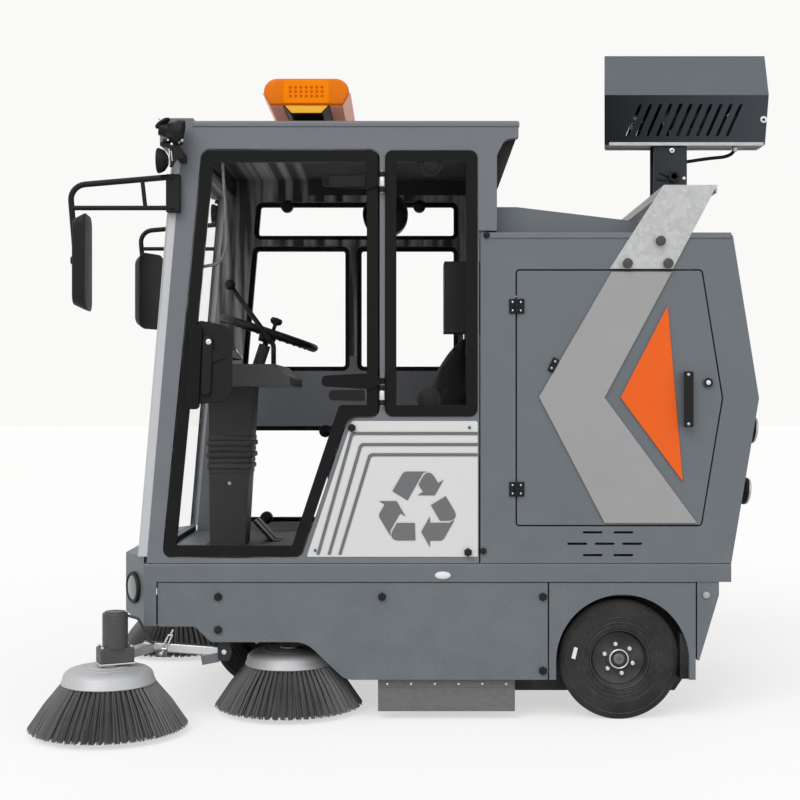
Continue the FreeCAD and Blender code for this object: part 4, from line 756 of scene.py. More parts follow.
def surface_group() -> Tree:
    """Mottled colour, roughness and fine texture of a coated or moulded surface.

    Returns:
        The group.
    """
    g = new_group(
        "surface_texture",
        {"Colour": (COLOUR, GREY), "Variation": (FLOAT, 0.1), "Fleck": (FLOAT, 0.05),
         "Fleck Scale": (FLOAT, 900.0), "Roughness": (FLOAT, 0.5), "Dust": (FLOAT, 0.1),
         "Dust Colour": (COLOUR, (0.35, 0.34, 0.32, 1.0))},
        {"Colour": COLOUR, "Roughness": FLOAT, "Height": FLOAT})
    src, sink = g.source.outputs, g.sink.inputs
    where = g.place()
    broad, cloud = g.noise(where, 2.3, 4.0), g.noise(where, 11.0, 5.0)
    fleck = g.noise(where, src["Fleck Scale"], 2.0)
    drift = g.maths(
        "MULTIPLY", g.maths("SUBTRACT", g.maths("ADD", broad, cloud), 1.0), src["Variation"])
    grain = g.maths("MULTIPLY", g.maths("SUBTRACT", fleck, 0.5), src["Fleck"])
    bright = g.add("ShaderNodeVectorMath", operation="SCALE")
    g.link(src["Colour"], bright.inputs[0])
    g.link(g.maths("ADD", g.maths("ADD", drift, grain), 1.0), bright.inputs["Scale"])
    low = g.ramp(g.split(where)[2], 0.95, 0.12)
    normal = g.add("ShaderNodeNewGeometry").outputs["Normal"]
    top = g.maths("MAXIMUM", g.split(normal)[2], 0.0)
    film = g.maths(
        "ADD", g.maths("MULTIPLY", low, g.ramp(cloud, 0.35, 0.75)), g.maths("MULTIPLY", top, 0.6))
    film = g.maths("MINIMUM", g.maths("MULTIPLY", film, src["Dust"]), 1.0)
    g.link(g.blend(film, bright.outputs[0], src["Dust Colour"]), sink["Colour"])
    patchy = g.maths("MULTIPLY", g.maths("SUBTRACT", cloud, 0.5), 0.16)
    rough = g.maths(
        "ADD", g.maths("ADD", src["Roughness"], patchy), g.maths("MULTIPLY", film, 0.3))
    g.link(g.maths("MINIMUM", rough, 1.0), sink["Roughness"])
    g.link(fleck, sink["Height"])
    return g.tree


def edge_group() -> Tree:
    """Softened edges: a rounded normal and a mask of how much an edge is worn, whose lighter
    colour is partly wear and partly a painted highlight.

    Returns:
        The group.
    """
    g = new_group(
        "edge_round",
        {"Wear": (FLOAT, 0.2), "Colour": (COLOUR, GREY),
         "Worn Colour": (COLOUR, (0.6, 0.6, 0.6, 1.0))},
        {"Colour": COLOUR, "Normal": VECTOR})
    src, sink = g.source.outputs, g.sink.inputs
    bevel = g.add("ShaderNodeBevel", samples=6)
    g.feed(bevel.inputs["Radius"], 0.0022)
    dot = g.add("ShaderNodeVectorMath", operation="DOT_PRODUCT")
    g.link(bevel.outputs[0], dot.inputs[0])
    g.link(g.add("ShaderNodeNewGeometry").outputs["Normal"], dot.inputs[1])
    turned = g.maths("SUBTRACT", 1.0, dot.outputs["Value"])
    patch = g.ramp(g.noise(g.place(), 38.0, 5.0), 0.42, 0.7)
    worn = g.maths("MULTIPLY", g.maths("MULTIPLY", g.ramp(turned, 0.01, 0.12), patch), src["Wear"])
    g.link(g.blend(worn, src["Colour"], src["Worn Colour"]), sink["Colour"])
    g.link(bevel.outputs[0], sink["Normal"])
    return g.tree


def scratch_group() -> Tree:
    """Long fine scratches or brushed streaks along one axis.

    Returns:
        The group.
    """
    g = new_group(
        "streaks", {"Stretch": (VECTOR, (1.0, 1.0, 1.0)), "Scale": (FLOAT, 60.0)},
        {"Value": FLOAT})
    src = g.source.outputs
    scaled = g.add("ShaderNodeVectorMath", operation="MULTIPLY")
    g.link(g.place(), scaled.inputs[0])
    g.link(src["Stretch"], scaled.inputs[1])
    g.link(g.ramp(g.noise(scaled.outputs[0], src["Scale"], 6.0), 0.3, 0.7), g.sink.inputs["Value"])
    return g.tree


def spangle_group() -> Tree:
    """Crystal patches of galvanised sheet.

    Returns:
        The group.
    """
    g = new_group("spangle", {"Scale": (FLOAT, 70.0)}, {"Value": FLOAT})
    cells = g.add("ShaderNodeTexVoronoi", feature="F1")
    g.link(g.place(), cells.inputs["Vector"])
    g.link(g.source.outputs["Scale"], cells.inputs["Scale"])
    grey = g.add("ShaderNodeSeparateColor")
    g.link(cells.outputs["Color"], grey.inputs[0])
    g.link(grey.outputs[0], g.sink.inputs["Value"])
    return g.tree


class Groups:
    """The shader groups, each made once."""

    surface: Tree
    edge: Tree
    streaks: Tree
    spangle: Tree

    @classmethod
    def make(cls) -> None:
        """Builds every group."""
        cls.surface = surface_group()
        cls.edge = edge_group()
        cls.streaks = scratch_group()
        cls.spangle = spangle_group()


# ---- finishes -----------------------------------------------------------------------------
def new_material(name: str) -> tuple[bpy.types.Material, Graph, bpy.types.NodeInputs]:
    """Makes an empty material.

    Args:
        name: Its name.

    Returns:
        The material, its graph and its shader's inputs.
    """
    material = bpy.data.materials.new(name)
    material.use_nodes = True
    shader = material.node_tree.nodes["Principled BSDF"]
    return material, Graph(material.node_tree), shader.inputs


@dataclass(frozen=True)
class Finish:
    """A coated, moulded or metal surface."""

    name: str
    colour: Colour
    roughness: float = 0.5
    metallic: float = 0.0
    variation: float = 0.08
    fleck: float = 0.08
    fleck_scale: float = 900.0
    bump: float = 0.0003
    dust: float = 0.08
    dust_colour: Colour = (0.35, 0.34, 0.32)
    # Edge colour and its amount: partly wear and partly a painted highlight along the edges.
    wear: float = 0.15
    worn: Colour = (0.55, 0.56, 0.58)
    coat: float = 0.0
    specular: float = 0.5
    round_edges: bool = True
    glow: float = 0.0

    def texture(self, g: Graph) -> Look:
        """Lays the finish's own texture.

        Args:
            g: The material's graph.

        Returns:
            The sockets of colour, roughness and height.
        """
        surface = g.group(
            Groups.surface, Colour=self.colour, Variation=self.variation, Fleck=self.fleck,
            Fleck_Scale=self.fleck_scale, Roughness=self.roughness, Dust=self.dust,
            Dust_Colour=self.dust_colour)
        return surface["Colour"], surface["Roughness"], surface["Height"]

    def shades(self, dark: float, light: float) -> list[Colour]:
        """The finish's colour made darker and lighter by two factors."""
        return [tuple(min(1.0, c * factor) for c in self.colour) for factor in (dark, light)]

    def material(self) -> bpy.types.Material:
        """The finish as a material, made once.

        Returns:
            The material.
        """
        if self.name in bpy.data.materials:
            return bpy.data.materials[self.name]
        material, g, shader = new_material(self.name)
        colour, roughness, height = self.texture(g)
        bump = g.add("ShaderNodeBump")
        g.feed(bump.inputs["Strength"], 1.0)
        g.feed(bump.inputs["Distance"], self.bump)
        g.link(height, bump.inputs["Height"])
        if self.round_edges:
            edge = g.group(Groups.edge, Wear=self.wear, Worn_Colour=self.worn, Colour=colour)
            colour = edge["Colour"]
            g.link(edge["Normal"], bump.inputs["Normal"])
        for label, value in (
                ("Base Color", colour), ("Roughness", roughness), ("Normal", bump.outputs[0]),
                ("Metallic", self.metallic), ("Coat Weight", self.coat),
                ("Specular IOR Level", self.specular)):
            g.feed(shader[label], value)
        # Painted glow: the finish's own colour given off as light, for a part that is no lamp.
        if self.glow:
            g.feed(shader["Emission Color"], self.colour)
            g.feed(shader["Emission Strength"], self.glow)
        return material


@dataclass(frozen=True)
class Brushed(Finish):
    """Metal with streaks along one direction."""

    stretch: Point = (1.0, 1.0, 14.0)
    streak_scale: float = 40.0
    streak_depth: float = 0.25

    def texture(self, g: Graph) -> Look:
        """Adds streaks to the surface's colour and roughness.

        Args:
            g: The material's graph.

        Returns:
            The sockets of colour, roughness and height.
        """
        colour, roughness, _ = super().texture(g)
        streaks = g.group(Groups.streaks, Stretch=self.stretch, Scale=self.streak_scale)
        value = streaks["Value"]
        shades = self.shades(1 - self.streak_depth, 1 + self.streak_depth * 0.6)
        shown = g.blend(0.65, colour, g.blend(value, *shades))
        return shown, g.maths("ADD", roughness, g.maths("MULTIPLY", value, 0.12)), value


@dataclass(frozen=True)
class Galvanised(Finish):
    """Zinc-coated sheet with crystal patches."""

    crystal: float = 70.0

    def texture(self, g: Graph) -> Look:
        """Adds crystal patches to the surface's colour and roughness.

        Args:
            g: The material's graph.

        Returns:
            The sockets of colour, roughness and height.
        """
        colour, roughness, height = super().texture(g)
        value = g.group(Groups.spangle, Scale=self.crystal)["Value"]
        shown = g.blend(0.6, colour, g.blend(value, *self.shades(0.84, 1.16)))
        return shown, g.maths("ADD", roughness, g.maths("MULTIPLY", value, 0.1)), height


@dataclass(frozen=True)
class Lined(Finish):
    """Cab paint, dark with paler streaks on the inner faces above the shelf.

    The dark zone fills a box inside the cab. Its streaks fade out on the ceiling behind the
    streaked length.
    """

    lining: Colour = (0.024, 0.024, 0.025)
    streak: Colour = (0.32, 0.32, 0.325)
    half_width: float = 0.5408
    length: Flat = (-0.845, 0.2058)
    height: Flat = (1.26, 1.9935)
    ceiling: float = 1.93
    streaked_to: float = -0.46
    stretch: Flat = (9.0, 0.5)
    lining_roughness: float = 0.95

    def texture(self, g: Graph) -> Look:
        """Masks the dark inner zone by place.

        Args:
            g: The material's graph.

        Returns:
            The sockets of colour, roughness and height.
        """
        colour, roughness, height = super().texture(g)
        x, y, z = g.split(g.place())
        inside = g.maths("LESS_THAN", g.maths("ABSOLUTE", y, 0.0), self.half_width)
        for value, (low, high) in ((x, self.length), (z, self.height)):
            for kind, limit in (("GREATER_THAN", low), ("LESS_THAN", high)):
                inside = g.maths("MULTIPLY", inside, g.maths(kind, value, limit))
        stretch = g.add("ShaderNodeCombineXYZ")
        for socket, value, scale in zip(
                (stretch.inputs["X"], stretch.inputs["Z"]), (x, z), self.stretch):
            g.link(g.maths("MULTIPLY", value, scale), socket)
        bands = g.ramp(g.noise(stretch.outputs[0], 2.6, 4.0), 0.43, 0.66)
        shown = g.maths("MAXIMUM", g.maths("LESS_THAN", z, self.ceiling),
                        g.maths("LESS_THAN", x, self.streaked_to))
        dark = g.blend(g.maths("MULTIPLY", bands, shown), self.lining, self.streak)
        matt = g.maths("MULTIPLY", inside, self.lining_roughness)
        return g.blend(inside, colour, dark), g.maths("MAXIMUM", roughness, matt), height


@dataclass(frozen=True)
class Folded(Finish):
    """Paint on the blower's case, with painted shade on its lower faces below the fold."""

    fold: float = 2.2038
    ends: Flat = (0.7, 1.28)
    # Colours of the painted shade at the front and the rear of the zone below the fold.
    near: Colour = (0.004, 0.006, 0.009)
    far: Colour = (0.05, 0.058, 0.068)

    def texture(self, g: Graph) -> Look:
        """Paints shade on the zone below the fold, darkest at its front.

        Args:
            g: The material's graph.

        Returns:
            The sockets of colour, roughness and height.
        """
        colour, roughness, height = super().texture(g)
        x, _, z = g.split(g.place())
        below = g.maths("LESS_THAN", z, self.fold)
        shadow = g.blend(g.ramp(x, *self.ends), self.near, self.far)
        return g.blend(below, colour, shadow), roughness, height


@dataclass(frozen=True)
class Glazing:
    """Clear or tinted glass and lenses."""

    name: str
    colour: Colour
    roughness: float = 0.02
    ior: float = 1.45
    alpha: float = 1.0
    transmission: float = 1.0
    film: float = 0.1
    dust: Colour = (0.8, 0.8, 0.8)

    def material(self) -> bpy.types.Material:
        """The glazing as a material, made once.

        Returns:
            The material.
        """
        if self.name in bpy.data.materials:
            return bpy.data.materials[self.name]
        material, g, shader = new_material(self.name)
        film = g.ramp(g.noise(g.place(), 3.0, 4.0), 0.45, 0.95)
        dusty = g.blend(g.maths("MULTIPLY", film, self.film), self.colour, self.dust)
        rough = g.maths("ADD", g.maths("MULTIPLY", film, 0.3 * self.film), self.roughness)
        for label, value in (("Base Color", dusty), ("Roughness", rough), ("IOR", self.ior),
                             ("Transmission Weight", self.transmission), ("Alpha", self.alpha)):
            g.feed(shader[label], value)
        return material


BODY = Finish(
    "satin_grey_paint", (0.115, 0.132, 0.148), 0.42, 0.0, 0.1, 0.75, 400.0, 0.00016, 0.08,
    wear=0.2, worn=(0.42, 0.44, 0.46))
# The blower case's paint, with painted shade on the faces below the fold.
SPRAY = Folded(
    "spray_paint", (0.108, 0.123, 0.141), 0.42, 0.0, 0.12, 0.6, 400.0, 0.0001, 0.04, wear=0.2,
    specular=0.2, worn=(0.3, 0.32, 0.34))
CAB = Lined(
    "cab_paint", (0.137, 0.149, 0.167), 0.42, 0.0, 0.1, 0.75, 400.0, 0.00016, 0.08, wear=0.2,
    worn=BODY.worn)
CHASSIS = Finish(
    "frame_paint", (0.01, 0.01, 0.011), 0.5, 0.0, 0.2, 0.2, 500.0, 0.0003, 0.12, specular=0.25)
# Near-black for sheets of painted shade.
PAINTED_SHADE = Finish(
    "cab_lining", (0.016, 0.016, 0.017), 0.6, 0.0, 0.2, 0.5, 500.0, 0.0003, 0.06, specular=0.25)
WHITE = Finish(
    "panel_enamel", (0.65, 0.655, 0.65), 0.4, 0.0, 0.03, 0.08, 1500.0, 0.00008, 0.05, wear=0.1,
    worn=(0.4, 0.4, 0.4))
GREY_STRIPE = Finish("stripe_grey", (0.125, 0.13, 0.135), 0.45, fleck=0.1, wear=0.0)
SILVER = Finish(
    "chevron_silver", (0.31, 0.31, 0.315), 0.38, 0.25, 0.05, 0.25, 2000.0, 0.0001, 0.03, wear=0.2,
    worn=(0.5, 0.5, 0.5))
TRIM = Finish("screen_trim_metal", (0.5, 0.505, 0.525), 0.38, 0.2, 0.05, 0.2, 1800.0, 0.0001, 0.03)
ORANGE = Finish(
    "triangle_orange", (0.8, 0.115, 0.007), 0.45, fleck=0.15, fleck_scale=1800.0, wear=0.1,
    worn=(0.6, 0.3, 0.2), specular=0.25)
RUBBER = Finish(
    "seal_rubber", (0.006, 0.006, 0.0065), 0.5, 0.0, 0.15, 0.15, 700.0, 0.0003, 0.02, wear=0.5,
    worn=(0.045, 0.045, 0.046), specular=0.12)
PLASTIC = Finish(
    "black_plastic", (0.008, 0.008, 0.009), 0.45, 0.0, 0.12, 0.3, 900.0, 0.0004, 0.03, wear=0.3,
    worn=(0.06, 0.06, 0.06), specular=0.18)
INTERIOR = Finish(
    "interior_plastic", (0.008, 0.008, 0.009), 0.6, 0.0, 0.15, 0.4, 700.0, 0.0005, 0.06, wear=0.1,
    worn=(0.05, 0.05, 0.05), specular=0.25)
PEDESTAL = Finish(
    "pedestal_plastic", (0.046, 0.046, 0.047), 0.6, 0.0, 0.15, 0.4, 700.0, 0.0005, 0.06, wear=0.1,
    worn=(0.05, 0.05, 0.05), specular=0.25)
FABRIC = Finish(
    "seat_cover", (0.011, 0.011, 0.012), 0.75, 0.0, 0.2, 0.5, 500.0, 0.0006, 0.05, wear=0.0,
    specular=0.2, round_edges=False)
# The tyre's light edges are partly wear and partly a painted highlight on the sidewall rings.
TYRE = Finish(
    "tyre_rubber", (0.015, 0.015, 0.015), 0.75, 0.0, 0.25, 0.3, 400.0, 0.0005, 0.22,
    (0.14, 0.14, 0.13), wear=0.9, worn=(0.17, 0.17, 0.17), specular=0.3)
RIM = Finish(
    "rim_paint", (0.02, 0.02, 0.021), 0.5, 0.0, 0.15, 0.2, 900.0, 0.0003, 0.15, specular=0.25)
BRISTLE = Finish(
    "bristle_nylon", (0.014, 0.014, 0.015), 0.5, 0.0, 0.3, 0.2, 300.0, 0.0, 0.1, wear=0.0,
    round_edges=False)
TUFT = Finish(
    "tuft_nylon", (0.108, 0.108, 0.11), 0.42, 0.0, 0.4, 0.4, 300.0, 0.0, 0.06, wear=0.0,
    round_edges=False)
CUP = Brushed(
    "cup_metal", (0.51, 0.515, 0.525), 0.5, 0.3, 0.08, 0.1, 900.0, 0.0001, 0.06,
    stretch=(1.0, 1.0, 10.0), streak_scale=30.0, streak_depth=0.12)
STEEL = Brushed("plain_steel", (0.45, 0.46, 0.47), 0.35, 0.9, 0.08, 0.1, 900.0, 0.0001, 0.1)
ZINC = Brushed(
    "zinc_plate", (0.62, 0.63, 0.64), 0.3, 0.85, 0.08, 0.1, 900.0, 0.0001, 0.03, streak_scale=90.0,
    streak_depth=0.12)
GALVANISED = Galvanised(
    "galvanised_sheet", (0.455, 0.46, 0.462), 0.42, 0.4, 0.12, 0.15, 900.0, 0.0001, 0.06, wear=0.2,
    worn=(0.6, 0.6, 0.6))
FLAP = Galvanised(
    "flap_sheet", (0.135, 0.138, 0.14), 0.5, 0.35, 0.15, 0.15, 900.0, 0.0001, 0.15, wear=0.2,
    worn=(0.4, 0.4, 0.4))
BIN = Galvanised("bin_sheet", (0.35, 0.36, 0.37), 0.5, 0.6, 0.15, 0.15, 900.0, 0.0001, 0.2)
BATTERY = Finish("battery_case", (0.02, 0.021, 0.022), 0.5)
AMBER = Glazing("amber_lens", (0.97, 0.235, 0.002), 0.16, 1.18, 1.0, 0.25)
AMBER_DARK = Glazing("amber_ribs", (0.74, 0.18, 0.003), 0.25, 1.45, 1.0, 0.2)
# A painted glow and a raised colour light the shaded underside of the lens.
AMBER_PAINTED_GLOW = Finish("amber_underside", (0.95, 0.4, 0.26), 0.4, wear=0.0, dust=0.0, glow=0.12)
AMBER_LIT = Finish("amber_panel", (0.92, 0.235, 0.001), 0.4, wear=0.0, dust=0.0, specular=0.04)
AMBER_SPOT = Finish("amber_spots", (0.6, 0.105, 0.001), 0.4, wear=0.0, dust=0.0, specular=0.04)
CAST = Finish("cast_grey", (0.13, 0.13, 0.135), 0.5, 0.3, wear=0.5, worn=(0.4, 0.4, 0.4))
LABEL = Finish("end_plate_yellow", (0.9, 0.45, 0.01), 0.4, wear=0.1, worn=(0.5, 0.3, 0.1))
CLEAR = Glazing("cab_glass", (1.0, 1.0, 1.0), 0.0, 1.02, 1.0, 1.0, film=0.0)
LENS = Glazing("clear_lens", (0.92, 0.94, 0.95), 0.03, 1.4)
SMOKED = Glazing("tail_lens", (0.42, 0.36, 0.36), 0.12, 1.45, 1.0, 0.5)
FROSTED = Finish(
    "headlamp_lens", (0.16, 0.165, 0.17), 0.25, 0.1, 0.05, 0.1, 900.0, 0.0, 0.05, wear=0.0,
    coat=0.6)
MOTOR = Finish(
    "drive_paint", (0.04, 0.041, 0.044), 0.5, 0.0, 0.15, 0.4, 1100.0, 0.0002, 0.1, wear=0.25,
    worn=(0.25, 0.25, 0.26))
MIRROR = Finish(
    "mirror_glass", (0.75, 0.77, 0.78), 0.03, 1.0, 0.0, 0.0, 900.0, 0.0, 0.0, wear=0.0,
    round_edges=False)
CHROME = Finish("bright_metal", (0.7, 0.7, 0.7), 0.12, 1.0, 0.02, 0.0, 900.0, 0.0, 0.05, wear=0.0)
TAG = Finish("blank_tag", (0.75, 0.76, 0.76), 0.5, wear=0.0, round_edges=False)

CAD_FINISH: dict[str, Finish | Glazing] = {node: finish for finish, nodes in (
    (CHASSIS, "chassis_frame pedals spray_post rear_axle front_fork front_arm_left "
              "front_arm_right brush_drives"),
    (BODY, "deck nose_panel side_skirts rear_apron housing_sides service_door_left "
           "service_door_right housing_back rear_hatch housing_top"),
    (CAB, "cab_side_left cab_side_right cab_roof cab_back"),
    (CLEAR, "windshield side_windows cab_door_glass"),
    (TRIM, "screen_trims"),
    (RUBBER, "window_frames spray_cable cab_door"),
    (WHITE, "side_panel"),
    (INTERIOR, "seat_base seat_cushion seat_backrest control_box"),
    (BATTERY, "battery_pack"),
    (PEDESTAL, "dash_console"),
    (PLASTIC, "steering_wheel hand_lever cab_fan work_lamps mirrors"),
    (BIN, "dust_bin"),
    (GALVANISED, "support_arch"),
    (SPRAY, "spray_box"),
    (TYRE, "front_tyre rear_tyre_left rear_tyre_right"),
    (RIM, "front_rim rear_rim_left rear_rim_right"),
    (BRISTLE, "front_brush_left front_brush_right mid_brush_left mid_brush_right main_roller"),
    (FLAP, "brush_hood chamber_sheets"),
    (AMBER, "light_bar"),
    (LENS, "headlamps"),
    (SMOKED, "tail_lamps")) for node in nodes.split()}


# ---- placing ------------------------------------------------------------------------------
def put(obj: Piece, name: str, finish: Finish | Glazing, body: str, slot: str,
        *replaced: str) -> None:
    """Names, dresses and hangs a finished piece.

    Args:
        obj: The piece.
        name: Its name.
        finish: Its finish.
        body: The body that it moves with.
        slot: The record's material slot that it shows. Not used.
        replaced: Nodes that it stands for.
    """
    obj.name = name
    obj.data.name = name
    obj.data.materials.clear()
    obj.data.materials.append(finish.material())
    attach(obj, body)
    if replaced:
        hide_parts(*replaced)
    LOG.info("%s", name)


def dress_nodes(frame: dict) -> None:
    """Gives every CAD node its finish.

    Args:
        frame: The imported nodes by name.
    """
    for name, node in frame["nodes"].items():
        node.data.materials.clear()
        node.data.materials.append(CAD_FINISH[name].material())
        LOG.info("%s", name)


# ---- sub-assemblies ----------------------------------------------------------------------
@dataclass
class SideBrush:
    """A flared brush of nylon tufts under a turned metal cup."""

    x: float
    y: float
    word: str
    seed: int
    tip: float = 0.018
    rim: float = 0.162
    top: float = 0.214
    cup_r: float = 0.152
    bore: float = 0.01205
    rings: tuple[tuple[int, float, float], ...] = (
        (60, 0.141, 0.25), (56, 0.128, 0.24), (48, 0.114, 0.226))
    bristles: int = 8
    bundle_r: float = 0.0034
    bristle_r: float = 0.0017

    def cup(self) -> Piece:
        """The pressed cup with its rolled rim and hub.

        Returns:
            The cup, open below.
        """
        t, b, r = self.top, self.rim, self.cup_r
        profile = [
            (self.bore, t + 0.006), (0.03, t + 0.006), (0.031, t), (0.061, t - 0.0006),
            (0.063, t - 0.0026), (0.09, t - 0.0032), (0.092, t - 0.0052), (0.116, t - 0.0075),
            (0.13, t - 0.012), (0.138, t - 0.018), (0.1435, b + 0.026), (0.148, b + 0.008),
            (r - 0.001, b + 0.004), (r, b), (r - 0.003, b - 0.003), (0.145, b),
            (0.14, b + 0.02), (0.13, t - 0.022), (0.09, t - 0.01), (self.bore, t - 0.009)]
        return lathe(profile, (self.x, self.y, 0), UPWARD, 72, smooth=35)

    def core(self) -> Piece:
        """The block that the tufts stand in, and a dark disc of painted shade between them.

        Returns:
            The block with the dark disc of painted shade below it.
        """
        profile = [
            (self.bore, self.rim + 0.03), (0.136, self.rim + 0.024), (0.136, self.rim - 0.002),
            (0.236, self.tip + 0.006), (0.226, self.tip + 0.004), (0.098, self.rim),
            (self.bore, self.rim)]
        return lathe(profile, (self.x, self.y, 0), UPWARD, 48)

    def tuft(self, root: float, foot: float, chance: random.Random) -> Piece:
        """One bundle of bristles from the block to the ground.

        Args:
            root: Its radius where it leaves the block.
            foot: Its radius at the tips.
            chance: The source of its small differences.

        Returns:
            The bundle at the front of the brush.
        """
        strands = []
        for i in range(self.bristles + 1):
            a = math.tau * i / self.bristles
            r = 0.0 if i == self.bristles else self.bundle_r
            off = Vector((r * math.cos(a), r * math.sin(a), 0))
            start = Vector((root, 0, self.rim + 0.004)) + off
            low = self.tip + chance.uniform(0.0, 0.0022)
            end = Vector((foot - chance.uniform(0, 0.003), 0, low)) + off * 2.0
            end.y += chance.uniform(-0.003, 0.003)
            strands.append(strand(start, end, Vector((0.004, 0, 0.002)), self.bristle_r))
        return joined(strands)

    def tufts(self) -> Piece:
        """All the bundles in their rings.

        Returns:
            The joined bundles.
        """
        chance = random.Random(self.seed)
        rings = []
        for count, root, foot in self.rings:
            models = [self.tuft(root, foot, chance) for _ in range(3)]
            copies = []
            for i in range(count):
                twin = copied(models[i % 3], Matrix.Identity(4))
                turn = 360 * i / count + chance.uniform(-0.7, 0.7)
                turned_round(twin, ORIGIN, UPWARD, turn)
                copies.append(twin)
            rings.append(joined(copies))
            for model in models:
                bpy.data.objects.remove(model)
        brush = joined(rings)
        brush.data.transform(Matrix.Translation((self.x, self.y, 0)))
        return brush

    def build(self) -> None:
        """Makes the cup, the block and the tufts."""
        body = self.word
        put(self.cup(), f"{body}_cup", CUP, body, "cup_silver", body)
        # The block's piece carries the dark disc of painted shade between the tufts.
        put(self.core(), f"{body}_block", BRISTLE, body, "bristle_black", body)
        put(self.tufts(), f"{body}_tufts", TUFT, body, "bristle_black", body)


@dataclass
class Roller:
    """The cylindrical brush across the machine."""

    x: float = 0.08
    z: float = 0.196
    reach: float = 0.176
    core: float = 0.06
    half: float = 0.47
    shaft: float = 0.015
    row: int = 48
    rows: int = 20
    twist: float = 40.0
    bristle_r: float = 0.0016

    def tufts(self) -> Piece:
        """Rows of tufts that wind slightly round the core.

        Returns:
            The joined tufts round the core.
        """
        chance = random.Random(5)
        row = []
        for i in range(self.row):
            y = -self.half + 0.008 + i * (2 * self.half - 0.016) / (self.row - 1)
            for spread in (-1, 0, 1):
                start = Vector((0, y, self.core - 0.002))
                end = Vector((
                    spread * 0.01 + chance.uniform(-0.003, 0.003),
                    y + chance.uniform(-0.004, 0.004), self.reach - chance.uniform(0.0005, 0.004)))
                reach = math.hypot(end.x, end.z)
                if reach > self.reach:
                    end *= self.reach / reach
                one = strand(start, end, Vector((0.002, 0, 0)), self.bristle_r)
                turned_round(one, ORIGIN, SIDEWAYS, self.twist * (y / self.half))
                row.append(one)
        brush = ringed(joined(row), self.rows, ORIGIN, SIDEWAYS)
        brush.data.transform(Matrix.Translation((self.x, 0, self.z)))
        return brush

    def build(self) -> None:
        """Makes the core with its stub shafts and the tufts."""
        h = self.half
        profile = [
            (0.0, -h - 0.024), (self.shaft, -h - 0.024), (self.shaft, -h - 0.006),
            (self.core, -h - 0.006), (self.core, h + 0.006), (self.shaft, h + 0.006),
            (self.shaft, h + 0.024), (0.0, h + 0.024)]
        core = lathe(profile, (self.x, 0, self.z), SIDEWAYS, 40, smooth=35)
        put(core, "roller_core", CHASSIS, "main_roller", "frame_black", "main_roller")
        put(self.tufts(), "roller_tufts", TUFT, "main_roller", "bristle_black", "main_roller")


